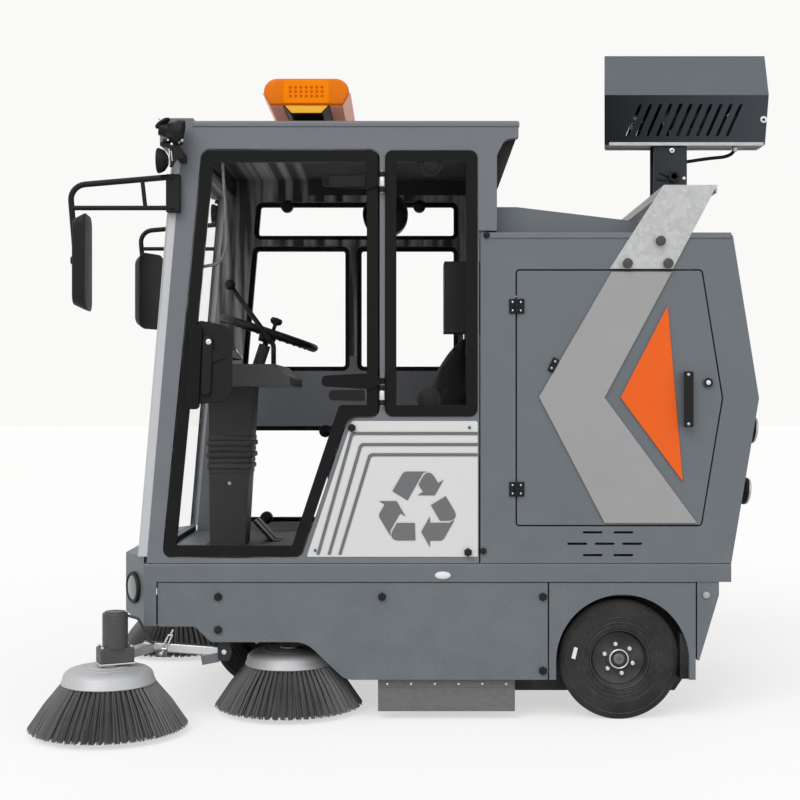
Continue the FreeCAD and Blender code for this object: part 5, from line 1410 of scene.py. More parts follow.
@dataclass
class RoadWheel:
    """A ribbed tyre on a pressed steel rim."""

    body: str
    tyre_node: str
    rim_node: str
    x: float
    y: float
    outward: int
    z: float = 0.202
    r: float = 0.202
    half: float = 0.052
    bead: float = 0.102
    bore: float = 0.02505
    groove_step: float = 3.75
    groove_depth: float = 0.005
    nut_circle: float = 0.05
    nut_turn: float = 18.0
    tag: bool = False

    def tyre(self) -> Piece:
        """The tyre with sidewall rings, circumferential ribs and cross grooves.

        Returns:
            The tyre round its axle.
        """
        h, r = self.half, self.r
        wall = [
            (self.bead, h - 0.008), (0.104, h - 0.0032), (0.1085, h - 0.0024),
            (0.1112, h - 0.0032), (0.113, h - 0.0002), (0.115, h - 0.0034), (0.1225, h - 0.0028),
            (0.1245, h), (0.1268, h - 0.003), (0.1395, h - 0.0024), (0.1415, h - 0.0003),
            (0.1435, h - 0.0024), (0.162, h - 0.0024), (0.1795, h - 0.0046), (0.182, h - 0.0016),
            (0.1845, h - 0.0054), (0.192, h - 0.008), (r - 0.003, h - 0.0125)]
        tread = [(r, h - 0.0165), (r, 0.019), (r - 0.006, 0.0175), (r - 0.006, 0.013), (r, 0.0115)]
        right = wall + tread
        left = [(a, -b) for a, b in reversed(right)]
        inner = [(self.bead, -(h - 0.012)), (self.bead, h - 0.012)]
        tyre = lathe(right + left + inner, (self.x, self.y, self.z), SIDEWAYS, 96)
        focus(tyre)
        bpy.ops.object.mode_set(mode="EDIT")
        bpy.ops.mesh.select_mode(type="FACE")
        mesh = bmesh.from_edit_mesh(tyre.data)
        for face in mesh.faces:
            at = face.calc_center_median() - Vector((self.x, self.y, self.z))
            radius = math.hypot(at.x, at.z)
            turn = math.degrees(math.atan2(at.z, at.x))
            step = round(turn / self.groove_step + (0 if at.y > 0 else 1.5))
            face.select = radius > self.r - 0.0016 and abs(at.y) > 0.011 and step % 3 == 0
        bmesh.update_edit_mesh(tyre.data)
        bpy.ops.mesh.extrude_region_shrink_fatten(
            TRANSFORM_OT_shrink_fatten={"value": -self.groove_depth})
        bpy.ops.object.mode_set(mode="OBJECT")
        return shade(tyre, 30)

    def rim(self) -> Piece:
        """The dished disc between its two flanges.

        Returns:
            The rim inside the tyre.
        """
        h = self.half - 0.008
        face = [(self.bore, 0.02), (0.04, 0.02), (0.042, 0.016), (0.083, 0.014),
                (0.087, 0.016), (0.0895, 0.011), (0.0915, 0.015), (0.0935, h - 0.012),
                (0.0955, h - 0.005), (0.0965, h), (0.099, h + 0.0012), (self.bead - 0.0003, h)]
        back = [(self.bead - 0.0003, -h), (0.096, -h), (0.088, -h + 0.01), (0.084, 0.002),
                (0.046, -0.004), (0.046, -0.02), (self.bore, -0.02)]
        profile = [(r, v * self.outward) for r, v in face + back]
        return lathe(profile, (self.x, self.y, self.z), SIDEWAYS, 72, smooth=30)

    def nuts(self) -> list[Piece]:
        """Six wheel nuts with the hub ring, and the hub's crossed cap.

        Returns:
            The nuts with the ring, and the cap.
        """
        o = self.outward
        at = (self.x, self.y, self.z)
        nut = lathe(
            [(0.0, 0.032 * o), (0.006, 0.032 * o), (0.0088, 0.0295 * o), (0.0095, 0.015 * o),
             (0.0, 0.015 * o)],
            (self.x + self.nut_circle, self.y, self.z), SIDEWAYS, 6)
        nuts = ringed(nut, 6, at, SIDEWAYS)
        turned_round(nuts, at, SIDEWAYS, self.nut_turn)
        ring = lathe([(0.0285, 0.0205 * o), (0.0285, 0.0365 * o), (0.0305, 0.038 * o),
                      (0.033, 0.0365 * o), (0.0335, 0.0205 * o)], at, SIDEWAYS, 48, smooth=35)
        cap = lathe(
            [(0.0, 0.0335 * o), (0.006, 0.0335 * o), (0.007, 0.036 * o), (0.015, 0.0365 * o),
             (0.018, 0.0345 * o), (0.0185, 0.0325 * o), (0.0, 0.0325 * o)],
            at, SIDEWAYS, 32, smooth=35)
        slot = block((-0.011, 0.0355, -0.0015), (0.011, 0.0375, 0.0015), 0.0005)
        cross = joined([slot, copied(slot, Matrix.Rotation(math.pi / 2, 4, "Y"))])
        cross.data.transform(Matrix.Translation(at) @ Matrix.Scale(o, 4, SIDEWAYS))
        return [joined([nuts, ring]), joined([cap, cross])]

    def build(self) -> None:
        """Makes the tyre, the rim and its bright parts."""
        put(self.tyre(), f"{self.tyre_node}_ribbed", TYRE, self.body, "tyre_black", self.tyre_node)
        put(self.rim(), f"{self.rim_node}_pressed", RIM, self.body, "rim_grey", self.rim_node)
        for label, piece, finish in zip(("nuts", "cap"), self.nuts(), (ZINC, CAST)):
            put(piece, f"{self.rim_node}_{label}", finish, self.body, "rim_grey", self.rim_node)
        if self.tag:
            tag = plate(
                [(-0.163, 0.006, 0.001), (-0.15, 0.002, 0.001), (-0.141, 0.04, 0.001),
                 (-0.153, 0.044, 0.001)],
                0, -0.0006)
            tag.data.transform(Matrix.Translation((self.x, self.y - self.half + 0.0003, self.z)))
            put(tag, f"{self.tyre_node}_tag", TAG, self.body, "panel_white")


@dataclass
class LightBar:
    """Amber warning bar on a black channel and two feet."""

    x0: float = -0.552
    x1: float = -0.244
    z0: float = 2.08
    z1: float = 2.171
    waist: float = 2.133
    half: float = 0.5
    roof: float = 2.01
    foot_y: float = 0.3
    joint_ys: tuple[float, ...] = (-0.3, -0.1, 0.1, 0.3)
    spot_step: float = 0.018

    @property
    def middle(self) -> float:
        """The bar's centre line."""
        return (self.x0 + self.x1) / 2

    def section(self, grow: float) -> list[Point]:
        """The lens's cross-section, grown by an amount.

        Args:
            grow: How far it grows outwards.

        Returns:
            The corners in the side plane with their radii.
        """
        a, b, g = self.x0, self.x1, grow
        return [(a + 0.03 - g, self.z0 - g, 0.01), (a - g, self.waist, 0.038),
                (a + 0.034 - g, self.z1 + g, 0.044), (b - 0.034 + g, self.z1 + g, 0.044),
                (b + g, self.waist, 0.038), (b - 0.03 + g, self.z0 - g, 0.01)]

    def lens(self) -> Piece:
        """The long moulded lens."""
        return shade(plate(self.section(0.0), -self.half, 2 * self.half, 0.014, 4))

    def ribs(self) -> Piece:
        """Joints between the lens sections."""
        return joined([plate(self.section(-0.0002), y - 0.003, 0.006) for y in self.joint_ys])

    def lamps(self) -> Piece:
        """Rows of small light sources on the end faces.

        Returns:
            The joined light sources of both ends.
        """
        spots = [(self.middle + self.spot_step * (i - 3), self.z0 + z)
                 for z in (0.03, 0.045, 0.06) for i in range(7)]
        return both(joined([
            rod((x, -self.half + 0.0005, z), (x, -self.half - 0.0009, z), 0.0052, 0.0, 16)
            for x, z in spots]))

    def base(self) -> Piece:
        """The channel under the lens with its feet.

        Returns:
            The channel and its feet.
        """
        m = self.middle
        pieces = [plate(
            [(m - 0.078, self.z0), (m + 0.078, self.z0), (m + 0.055, self.z0 - 0.027, 0.004),
             (m - 0.055, self.z0 - 0.027, 0.004)],
            -self.half + 0.012, 2 * self.half - 0.024, 0.001)]
        for y in (-self.foot_y, self.foot_y):
            pieces.append(block(
                (m - 0.055, y - 0.035, self.roof), (m + 0.055, y + 0.035, self.z0 - 0.02), 0.004))
            for dx in (-0.075, 0.075):
                pieces.append(block((m + dx - 0.022, y - 0.022, self.roof),
                                    (m + dx + 0.022, y + 0.022, self.roof + 0.004), 0.001))
                pieces.append(rod((m + dx, y, self.roof + 0.003), (m + dx, y, self.roof + 0.01),
                                  0.006, 0.0005, 6))
        return joined(pieces)

    def ends(self, corners: list[Point], level: float, depth: float, edge: float = 0.0) -> Piece:
        """A flat piece on each end; corners run from the bar's centre line and foot."""
        outline = [(self.middle + x, self.z0 + z, r) for x, z, r in corners]
        return both(plate(outline, -self.half + level, depth, edge))

    def panels(self) -> Piece:
        """The channel's blank yellow end plates."""
        return self.ends([(-0.074, -0.001, 0.002), (0.074, -0.001, 0.002),
                          (0.05, -0.026, 0.003), (-0.05, -0.026, 0.003)], 0.012, -0.006)

    def windows(self) -> Piece:
        """Bright panels in the middle of the lens's end faces.

        Returns:
            The panels of both ends.
        """
        return self.ends(
            [(-0.077, 0.006, 0.008), (0.077, 0.006, 0.008), (0.077, 0.083, 0.012),
             (-0.077, 0.083, 0.012)], -0.0004, 0.002, 0.0006)

    def underside(self) -> Piece:
        """Paler skins under the lens and on its slanted sides, with a painted glow.

        Returns:
            The joined skins.
        """
        m, half, z0, z1 = self.middle, self.half, self.z0, self.waist
        skins = []
        for side in (-1, 1):
            edge = m + side * (self.x1 - self.x0) / 2
            inner = sorted((m + side * 0.08, edge - side * 0.034))
            skins.append(block(
                (inner[0], -half + 0.014, z0 - 0.002), (inner[1], half - 0.014, z0 + 0.001),
                0.0008))
            skins.append(plate(
                [(edge - side * 0.0305, z0 - 0.001), (edge - side * 0.0035, z1 - 0.01),
                 (edge - side * 0.0065, z1 - 0.008), (edge - side * 0.0335, z0 + 0.001)],
                -half + 0.016, 2 * half - 0.032))
        return joined(skins)

    def build(self) -> None:
        """Makes the lens and what carries it."""
        for piece, name, finish, slot in (
                (self.lens(), "lens", AMBER, "amber"),
                (self.underside(), "underside", AMBER_PAINTED_GLOW, "amber"),
                (self.windows(), "windows", AMBER_LIT, "amber"),
                (self.ribs(), "joints", AMBER_DARK, "amber"),
                (self.lamps(), "lamps", AMBER_SPOT, "amber"),
                (self.base(), "channel", PLASTIC, "frame_black"),
                (self.panels(), "end_plates", LABEL, "amber")):
            put(piece, f"bar_{name}", finish, "chassis", slot, "light_bar")


@dataclass
class Mirrors:
    """Outside mirrors on two-tube arms."""

    y: float = 0.605
    half_width: float = 0.58
    x: float = -1.16
    depth: float = 0.045
    half: float = 0.085
    low: float = 1.37
    high: float = 1.694
    block_x: float = -0.832
    tube: float = 0.01

    def arm(self) -> Piece:
        """The clamp block with the bent tube, the lower tube and the strut between them.

        Returns:
            The joined arm of the left mirror.
        """
        y, b, out = -self.y, self.block_x, self.x - 0.016
        pieces = [
            block(
                (b - 0.024, -self.half_width - 0.034, 1.7), (b + 0.022, -self.half_width, 1.826),
                0.003),
            tube([(b, y, 1.818), (out, y, 1.788), (out + 0.026, y, 1.466)], self.tube, 0.05),
            rod((b, y, 1.714), (out + 0.004, y, 1.714), self.tube - 0.002),
            rod((-0.925, y, 1.714), (-0.935, y, 1.803), self.tube - 0.003),
            rod((out + 0.004, y, 1.54), (self.x + 0.012, y, 1.54), 0.013)]
        for z in (1.714, 1.815):
            pieces.append(rod((b - 0.004, -self.half_width - 0.033, z),
                              (b - 0.004, -self.half_width - 0.04, z), 0.007, 0.0008, 6))
        return joined(pieces)

    def outline(self, inset: float) -> list[Point]:
        """The glass side's outline, made smaller by an inset.

        Args:
            inset: The distance between the two outlines.

        Returns:
            The corners with their radii.
        """
        y0, y1 = -self.y - self.half + inset, -self.y + self.half - inset
        z0, z1, r = self.low + inset, self.high - inset, 0.04 - inset
        return [(y0, z0, r), (y0, z1, r), (y1, z1, r), (y1, z0, r)]

    def head(self, turn: float) -> list[Piece]:
        """The moulded shell, narrower towards the front, and its glass, turned by an angle.

        Args:
            turn: The angle about the arm, in degrees.

        Returns:
            The shell and the glass.
        """
        middle = (self.x, -self.y, (self.low + self.high) / 2)
        rear = self.x + self.depth
        shell = plate(self.outline(0.0008), rear, -self.depth, plane=Plane.FRONT)
        focus(shell)
        bpy.ops.object.mode_set(mode="EDIT")
        pick(lambda vertex: vertex.co.x < self.x + 0.001)
        bpy.ops.transform.resize(value=(1, 0.73, 0.87), center_override=middle)
        bpy.ops.object.mode_set(mode="OBJECT")
        soften(shell, 0.006, 3, 25)
        shade(shell)
        glass = plate(self.outline(0.009), rear - 0.002, 0.0019, plane=Plane.FRONT)
        for piece in (shell, glass):
            turned_round(piece, middle, UPWARD, turn)
        return [shell, glass]

    def build(self) -> None:
        """Makes both mirrors."""
        arm = self.arm()
        left, right = self.head(4.0), [swapped(piece) for piece in self.head(28.0)]
        sets = (("arms", [arm, mirrored(arm)], PLASTIC), ("heads", [left[0], right[0]], PLASTIC),
                ("glass", [left[1], right[1]], MIRROR))
        for label, pieces, finish in sets:
            slot = "glass" if label == "glass" else "seal_black"
            put(joined(pieces), f"mirror_{label}", finish, "chassis", slot, "mirrors")


@dataclass
class SidePanels:
    """Coloured films on the service doors and on the white panel below the cab's window."""

    face: float = 0.5861
    film: float = 0.0006
    panel_face: float = -0.5841
    panel_film: float = -0.0004
    stripe: float = 0.01
    stripe_end: float = 0.1805
    stripe_foot: float = 0.56
    symbol_at: Flat = (-0.0196, 0.7108)

    def films(self, side: Side) -> None:
        """Places the silver arrow and the orange triangle in its mouth on a service door.

        Args:
            side: The half of the machine.
        """
        out = side.value
        arrow = [(0.627, 1.5035), (0.8285, 1.5035), (0.604, 1.084), (0.912, 0.665),
                 (0.604, 0.665), (0.385, 1.086)]
        mouth = [(0.8145, 1.392), (0.657, 1.084), (0.865, 0.803)]
        for label, corners, finish, slot in (
                ("chevron", arrow, SILVER, "body_paint"), ("triangle", mouth, ORANGE, "amber")):
            film = plate(corners, out * self.face, out * self.film)
            put(film, f"{label}_{side.word}", finish, f"service_door_{side.word}", slot)

    def stripes(self) -> Piece:
        """Three lines that run along the panel's top and down its slanted edge.

        Returns:
            The joined lines.
        """
        bars = []
        end, base, w = self.stripe_end, self.stripe_foot, self.stripe
        for top, bend, foot in (
                (0.9695, -0.243, -0.358), (0.9325, -0.213, -0.321), (0.8985, -0.183, -0.285)):
            bars.append(plate(
                [(end, top), (bend, top, 0.016), (foot, base), (foot + w * 1.03, base),
                 (bend + w * 0.78, top - w, 0.01), (end, top - w)],
                self.panel_face, self.panel_film))
        return joined(bars)

    def symbol(self) -> Piece:
        """Three folded arrows that chase each other round an open triangle.

        The top arrow shows a long tail and a short head, the other two a short tail and a
        long head.

        Returns:
            The joined arrows.
        """
        cx, cz = self.symbol_at
        long_tail = [(-0.0847, 0.0607), (-0.047, 0.1264, 0.017), (0.0305, 0.1264),
                     (0.017, 0.1215, 0.008), (-0.0342, 0.0303)]
        short_head = [
            (0.0022, 0.0829), (0.0357, 0.1426, 0.0226), (0.0679, 0.088), (0.0861, 0.0991),
            (0.0568, 0.0475), (-0.0008, 0.0475), (0.0174, 0.0586)]
        short_tail = [
            (0.0932, 0.0445), (0.142, -0.0374, 0.0226), (0.074, -0.0374), (0.0437, 0.0142)]
        long_head = [
            (0.0406, -0.0233), (0.0406, -0.0445), (0.106, -0.0445, 0.01), (0.1225, -0.0344),
            (0.0836, -0.1041, 0.017), (0.0406, -0.1041), (0.0406, -0.1264), (0.0113, -0.0748)]
        arrows = []
        for outline, turns in ((long_tail, (0,)), (short_head, (0,)), (short_tail, (0, 120)),
                               (long_head, (0, 120))):
            for turn in turns:
                arrow = plate([(cx + u, cz + v, *c) for u, v, *c in outline],
                              self.panel_face, self.panel_film)
                turned_round(arrow, (cx, 0, cz), SIDEWAYS, turn)
                arrows.append(arrow)
        return joined(arrows)

    def build(self) -> None:
        """Makes the doors' films and the panel's stripes and arrows."""
        for side in Side:
            self.films(side)
        put(self.stripes(), "panel_stripes", GREY_STRIPE, "chassis", "body_paint")
        put(self.symbol(), "recycling_arrows", GREY_STRIPE, "chassis", "body_paint")


@dataclass
class Knobs:
    """Star-shaped plastic fasteners of the removable panels."""

    radius: float = 0.0145
    lobes: int = 6
    skirt_face: float = -0.576
    panel_face: float = -0.584

    def knob(self, x: float, y: float, z: float) -> Piece:
        """One lobed knob standing off a side face.

        Args:
            x: Where it stands along the machine.
            y: The face that it stands on; its sign gives the side.
            z: Its height.

        Returns:
            The knob.
        """
        out = math.copysign(1.0, y)
        r = self.radius
        knob = lathe([(0, 0), (r, 0), (r, 0.009), (r * 0.8, 0.013), (0, 0.0135)], (x, y, z),
                     (0, out, 0), 24)
        focus(knob)
        bpy.ops.object.mode_set(mode="EDIT")
        for i in range(self.lobes):
            a = math.tau * i / self.lobes
            at = Vector((x + r * math.cos(a), y, z + r * math.sin(a)))
            pick(lambda v, p=at: math.hypot(v.co.x - p.x, v.co.z - p.z) < r * 0.36)
            bpy.ops.transform.resize(value=(0.86, 1, 0.86), center_override=(x, y, z))
        bpy.ops.object.mode_set(mode="OBJECT")
        return shade(knob)

    def build(self) -> None:
        """Puts knobs on the skirts and the side panel, and the panel's small screws."""
        low = [(-0.687, 0.418), (-0.687, 0.308), (-0.139, 0.418), (0.399, 0.418), (0.399, 0.171)]
        near = joined([self.knob(x, self.skirt_face, z) for x, z in low])
        put(both(near), "skirt_knobs", PLASTIC, "chassis", "seal_black")
        panel = [self.knob(x, self.panel_face, z) for x, z in ((-0.24, 0.983), (0.148, 0.568))]
        put(joined(panel), "panel_knobs", PLASTIC, "chassis", "seal_black")
        small = heads(
            [(0.153, 0.984), (-0.362, 0.574)], self.panel_face - 0.0003, 0.0048, 0.0022, 16)
        put(small, "panel_screws", MOTOR, "chassis", "seal_black")


@dataclass
class Seat:
    """Driver's seat with a stitched cushion and backrest."""

    base: float = 0.88
    front: float = -0.32
    rear: float = 0.11
    half: float = 0.24
    thick: float = 0.105
    inset: float = 0.008
    channels: tuple[float, ...] = (-0.2, -0.11, -0.02)
    rows: tuple[float, ...] = (1.07, 1.16, 1.25)
    seam: float = 0.003

    def cushion(self) -> Piece:
        """The cushion, held down along its base, two seams and three channels.

        Returns:
            The cushion.
        """
        i = self.inset
        pad = block((self.front + i, -self.half + i, self.base + 0.002),
                    (self.rear - i, self.half - i, self.base + self.thick - i), 0.026, 4)
        low, side = self.base + 0.012, self.half - i - 0.06

        def held(at: Vector) -> bool:
            """Says whether the base or a seam holds a point."""
            channel = any(abs(at.x - x) < 0.004 for x in self.channels) and abs(at.y) < side
            return at.z < low or channel or abs(abs(at.y) - side) < self.seam

        stuffed(pad, held, 0.012)
        return pad

    def backrest(self) -> Piece:
        """The backrest, leaning back, with two upright seams and three channels.

        Returns:
            The backrest.
        """
        foot = self.base + self.thick
        pad = plate(
            [(0.032, foot + 0.006, 0.018), (0.061, foot + 0.2, 0.05), (0.15, 1.305, 0.034),
             (0.18, 1.297, 0.026), (0.177, foot + 0.006, 0.01)],
            -self.half + 0.02, 2 * self.half - 0.04, 0.014, 3)

        def held(at: Vector) -> bool:
            """Says whether the back or a seam holds a point."""
            row = any(abs(at.z - z) < 0.004 for z in self.rows) and abs(at.y) < 0.15
            return at.x > 0.172 or row or abs(abs(at.y) - 0.155) < self.seam

        stuffed(pad, held, 0.01)
        return pad

    def build(self) -> None:
        """Makes both pads."""
        for name, pad, fill in (
                ("seat_cushion", self.cushion(), 0.7), ("seat_backrest", self.backrest(), 0.6)):
            put(pad, f"{name}_cover", FABRIC, "chassis", "seat_black", name)


@dataclass
class Cab:
    """Fittings inside the cab and on its door."""

    wheel: Point = (-0.573, 0.0, 1.329)
    tilt: float = 18.4
    rim_r: float = 0.1805
    tube_r: float = 0.0135
    lock_face: float = -0.5775
    paddle_face: float = -0.5995
    paddles: Flat = (1.802, 1.091)
    hinge: Flat = (-0.139, -0.594)
    hinges: Flat = (1.8025, 1.0915)
    pane_face: float = -0.5535

    def steering(self) -> list[Piece]:
        """The steering wheel's rim with grips, spokes and hub, and its spinner knob.

        Returns:
            The wheel and its knob.
        """
        bpy.ops.mesh.primitive_torus_add(
            major_radius=self.rim_r, minor_radius=self.tube_r, major_segments=96,
            minor_segments=16)
        ring = bpy.context.object
        focus(ring)
        grip = rod(
            (self.rim_r - 0.006, 0, -0.0125), (self.rim_r + 0.004, 0, -0.0125), 0.0035, 0.001, 12)
        pieces = [ring, ringed(grip, 36, ORIGIN, UPWARD)]
        for turn in (90, 210, 330):
            spoke = plate(
                [(0.015, -0.017), (0.12, -0.011, 0.004), (self.rim_r - 0.004, -0.016),
                 (self.rim_r - 0.004, 0.016), (0.12, 0.011, 0.004), (0.015, 0.017)],
                -0.012, 0.008, 0.003, plane=Plane.PLAN)
            turned_round(spoke, ORIGIN, UPWARD, turn)
            pieces.append(spoke)
        hub = lathe([(0, -0.04), (0.03, -0.04), (0.034, -0.012), (0.032, 0.002),
                     (0.02, 0.007), (0, 0.008)], ORIGIN, UPWARD, 40)
        shaft = rod((0, 0, -0.14), (0, 0, -0.036), 0.011)
        knob = lathe([(0, 0.01), (0.007, 0.01), (0.007, 0.03), (0.019, 0.036), (0.023, 0.046),
                      (0.019, 0.056), (0, 0.059)], (0.031, -self.rim_r + 0.002, 0), UPWARD, 28)
        for piece in (hub, knob):
            shade(piece)
        made = joined(pieces + [hub, shaft, knob])
        made.data.transform(
            Matrix.Translation(self.wheel) @ Matrix.Rotation(math.radians(self.tilt), 4, "Y"))
        return made

    def shelf(self) -> Piece:
        """Instrument hood, switches, the gaiter's folds and the floor mat.

        Returns:
            The joined parts.
        """
        pieces = [plate(
            [(-0.8, 1.231), (-0.79, 1.292, 0.012), (-0.735, 1.296, 0.01), (-0.69, 1.231)], -0.15,
            0.3, 0.004)]
        for z, grow in ((0.935, 0.004), (0.915, 0.009), (0.893, 0.004), (0.872, 0.01),
                        (0.851, 0.004), (0.83, 0.008), (0.811, 0.003)):
            share = (z - 0.53) / 0.6
            low, high = -0.785 - 0.005 * share, -0.655 + 0.035 * share
            pieces.append(block((low - grow, -0.08 - grow, z - 0.01),
                                (high + grow, 0.08 + grow, z + 0.01), 0.006, 3))
        for i in range(6):
            y = -0.115 + 0.046 * i
            pieces.append(block((-0.735, y - 0.01, 1.262), (-0.712, y + 0.01, 1.28), 0.003))
        pieces.append(block((-0.81, -0.52, 0.5302), (-0.35, 0.52, 0.5342), 0.0015))
        return joined(pieces)

    def latch(self) -> Piece:
        """The door's inner lock plate with its lever, and the paddles of both hinges.

        Returns:
            The joined parts.
        """
        pieces = [
            plate(
                [(-0.772, 1.062, 0.02), (-0.762, 1.345, 0.02), (-0.64, 1.322, 0.045),
                 (-0.64, 1.07, 0.045)],
                self.lock_face, 0.012, 0.003),
            plate(
                [(-0.745, 1.09, 0.016), (-0.738, 1.29, 0.016), (-0.702, 1.29, 0.016),
                 (-0.712, 1.09, 0.016)],
                self.lock_face, -0.014, 0.005, 3),
            plate(
                [(-0.768, 1.215, 0.004), (-0.722, 1.262, 0.006), (-0.662, 1.215, 0.004),
                 (-0.722, 1.195, 0.006)],
                self.lock_face, -0.007, 0.002)]
        for z in self.paddles:
            pieces.append(plate(
                [(-0.316, z - 0.016, 0.014), (-0.316, z + 0.018, 0.014), (-0.196, z + 0.02, 0.006),
                 (-0.196, z - 0.018, 0.006)],
                self.paddle_face, -0.002, 0.001))
        return joined(pieces)

    def stay(self) -> Piece:
        """The grey cable pipe along the door's glass."""
        route = ((-0.676, 1.885), (-0.661, 1.6), (-0.682, 1.535), (-0.742, 1.524))
        return tube([(x, self.pane_face, z) for x, z in route], 0.0055, 0.045)

    @staticmethod
    def fan() -> Piece:
        """The fan's blades, its back plate and the wires of its guard.

        Returns:
            The joined fan.
        """
        low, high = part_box("cab_fan")
        x, r = (low[0] + high[0]) / 2, (high[0] - low[0]) / 2
        z = low[2] + r
        back = lathe([(0, 0.004), (r - 0.004, 0.004), (r - 0.004, 0.01), (0, 0.012)], (x, 0, z),
                     SIDEWAYS, 48)
        wire = rod((x + 0.024, -0.031, z), (x + r - 0.002, -0.026, z), 0.0011, 0.0, 6)
        blade = plate(
            [(x + 0.02, z - 0.012, 0.004), (x + r - 0.012, z - 0.028, 0.012),
             (x + r - 0.012, z + 0.02, 0.012), (x + 0.02, z + 0.012, 0.004)],
            -0.01, 0.0018)
        turned_round(blade, (x, -0.01, z), AHEAD, 20.0)
        at = (x, 0, z)
        return joined([back, ringed(wire, 48, at, SIDEWAYS), ringed(blade, 5, at, SIDEWAYS)])

    def window_knobs(self) -> Piece:
        """Round fasteners of the quarter window and of the right wall's panes.

        Returns:
            The joined fasteners.
        """
        pieces = []
        for x, z in ((0.0245, 1.862), (0.018, 1.078)):
            pieces.append(rod((x, -0.568, z), (x, -0.579, z), 0.04, 0.003, 40))
            pieces.append(rod((x, -0.578, z), (x, -0.5835, z), 0.026, 0.003, 40))
        for x, z in ((-0.551, 1.885), (0.002, 1.885), (-0.391, 0.946), (-0.637, 0.584)):
            pieces.append(rod((x, 0.57, z), (x, 0.535, z), 0.026, 0.004, 32))
        return joined(pieces)

    def hinge_pieces(self) -> None:
        """Places the door's hinge pins, their knuckles and the lock's bright button."""
        x, y = self.hinge
        pins = [rod((-0.717, -0.591, 1.27), (-0.717, -0.5935, 1.27), 0.0095, 0.001, 24)]
        knuckles = []
        for z in self.hinges:
            pins.append(rod((x, y, z - 0.0155), (x, y, z + 0.0155), 0.01))
            for way in (-1, 1):
                knuckles.append(rod(
                    (x, y, z + way * 0.0165), (x, y, z + way * 0.034), 0.0098, 0.002))
                pins.append(rod(
                    (x, y, z + way * 0.033), (x, y, z + way * 0.0365), 0.0055, 0.001, 16))
        put(joined(pins), "door_hinge_pins", ZINC, "cab_door", "trim_silver")
        put(joined(knuckles), "door_hinge_knuckles", PLASTIC, "cab_door", "seal_black")

    def build(self) -> None:
        """Makes the cab's fittings."""
        put(self.steering(), "steering_wheel_grips", PLASTIC, "steering_wheel",
            "interior_black", "steering_wheel")
        put(self.shelf(), "dash_fittings", PEDESTAL, "chassis", "interior_black")
        put(self.latch(), "door_lock", PLASTIC, "cab_door", "seal_black")
        self.hinge_pieces()
        seal = block((-0.16, -0.556, 1.03), (-0.138, -0.544, 1.905), 0.003)
        put(seal, "door_post_seal", RUBBER, "chassis", "seal_black")
        put(self.fan(), "fan_guard", PLASTIC, "chassis", "interior_black")
        put(self.stay(), "door_cable_pipe", FLAP, "cab_door", "galvanised")
        put(self.window_knobs(), "window_fasteners", PLASTIC, "chassis", "seal_black")
        gauges = [lathe([(0, 0), (0.022, 0), (0.022, 0.004), (0.019, 0.005), (0.018, 0.003),
                         (0, 0.003)], (-0.709, y, 1.256), (0.82, 0, 0.57), 36)
                  for y in (-0.175, 0.175)]
        put(joined(gauges), "dash_gauges", CHROME, "chassis", "trim_silver")


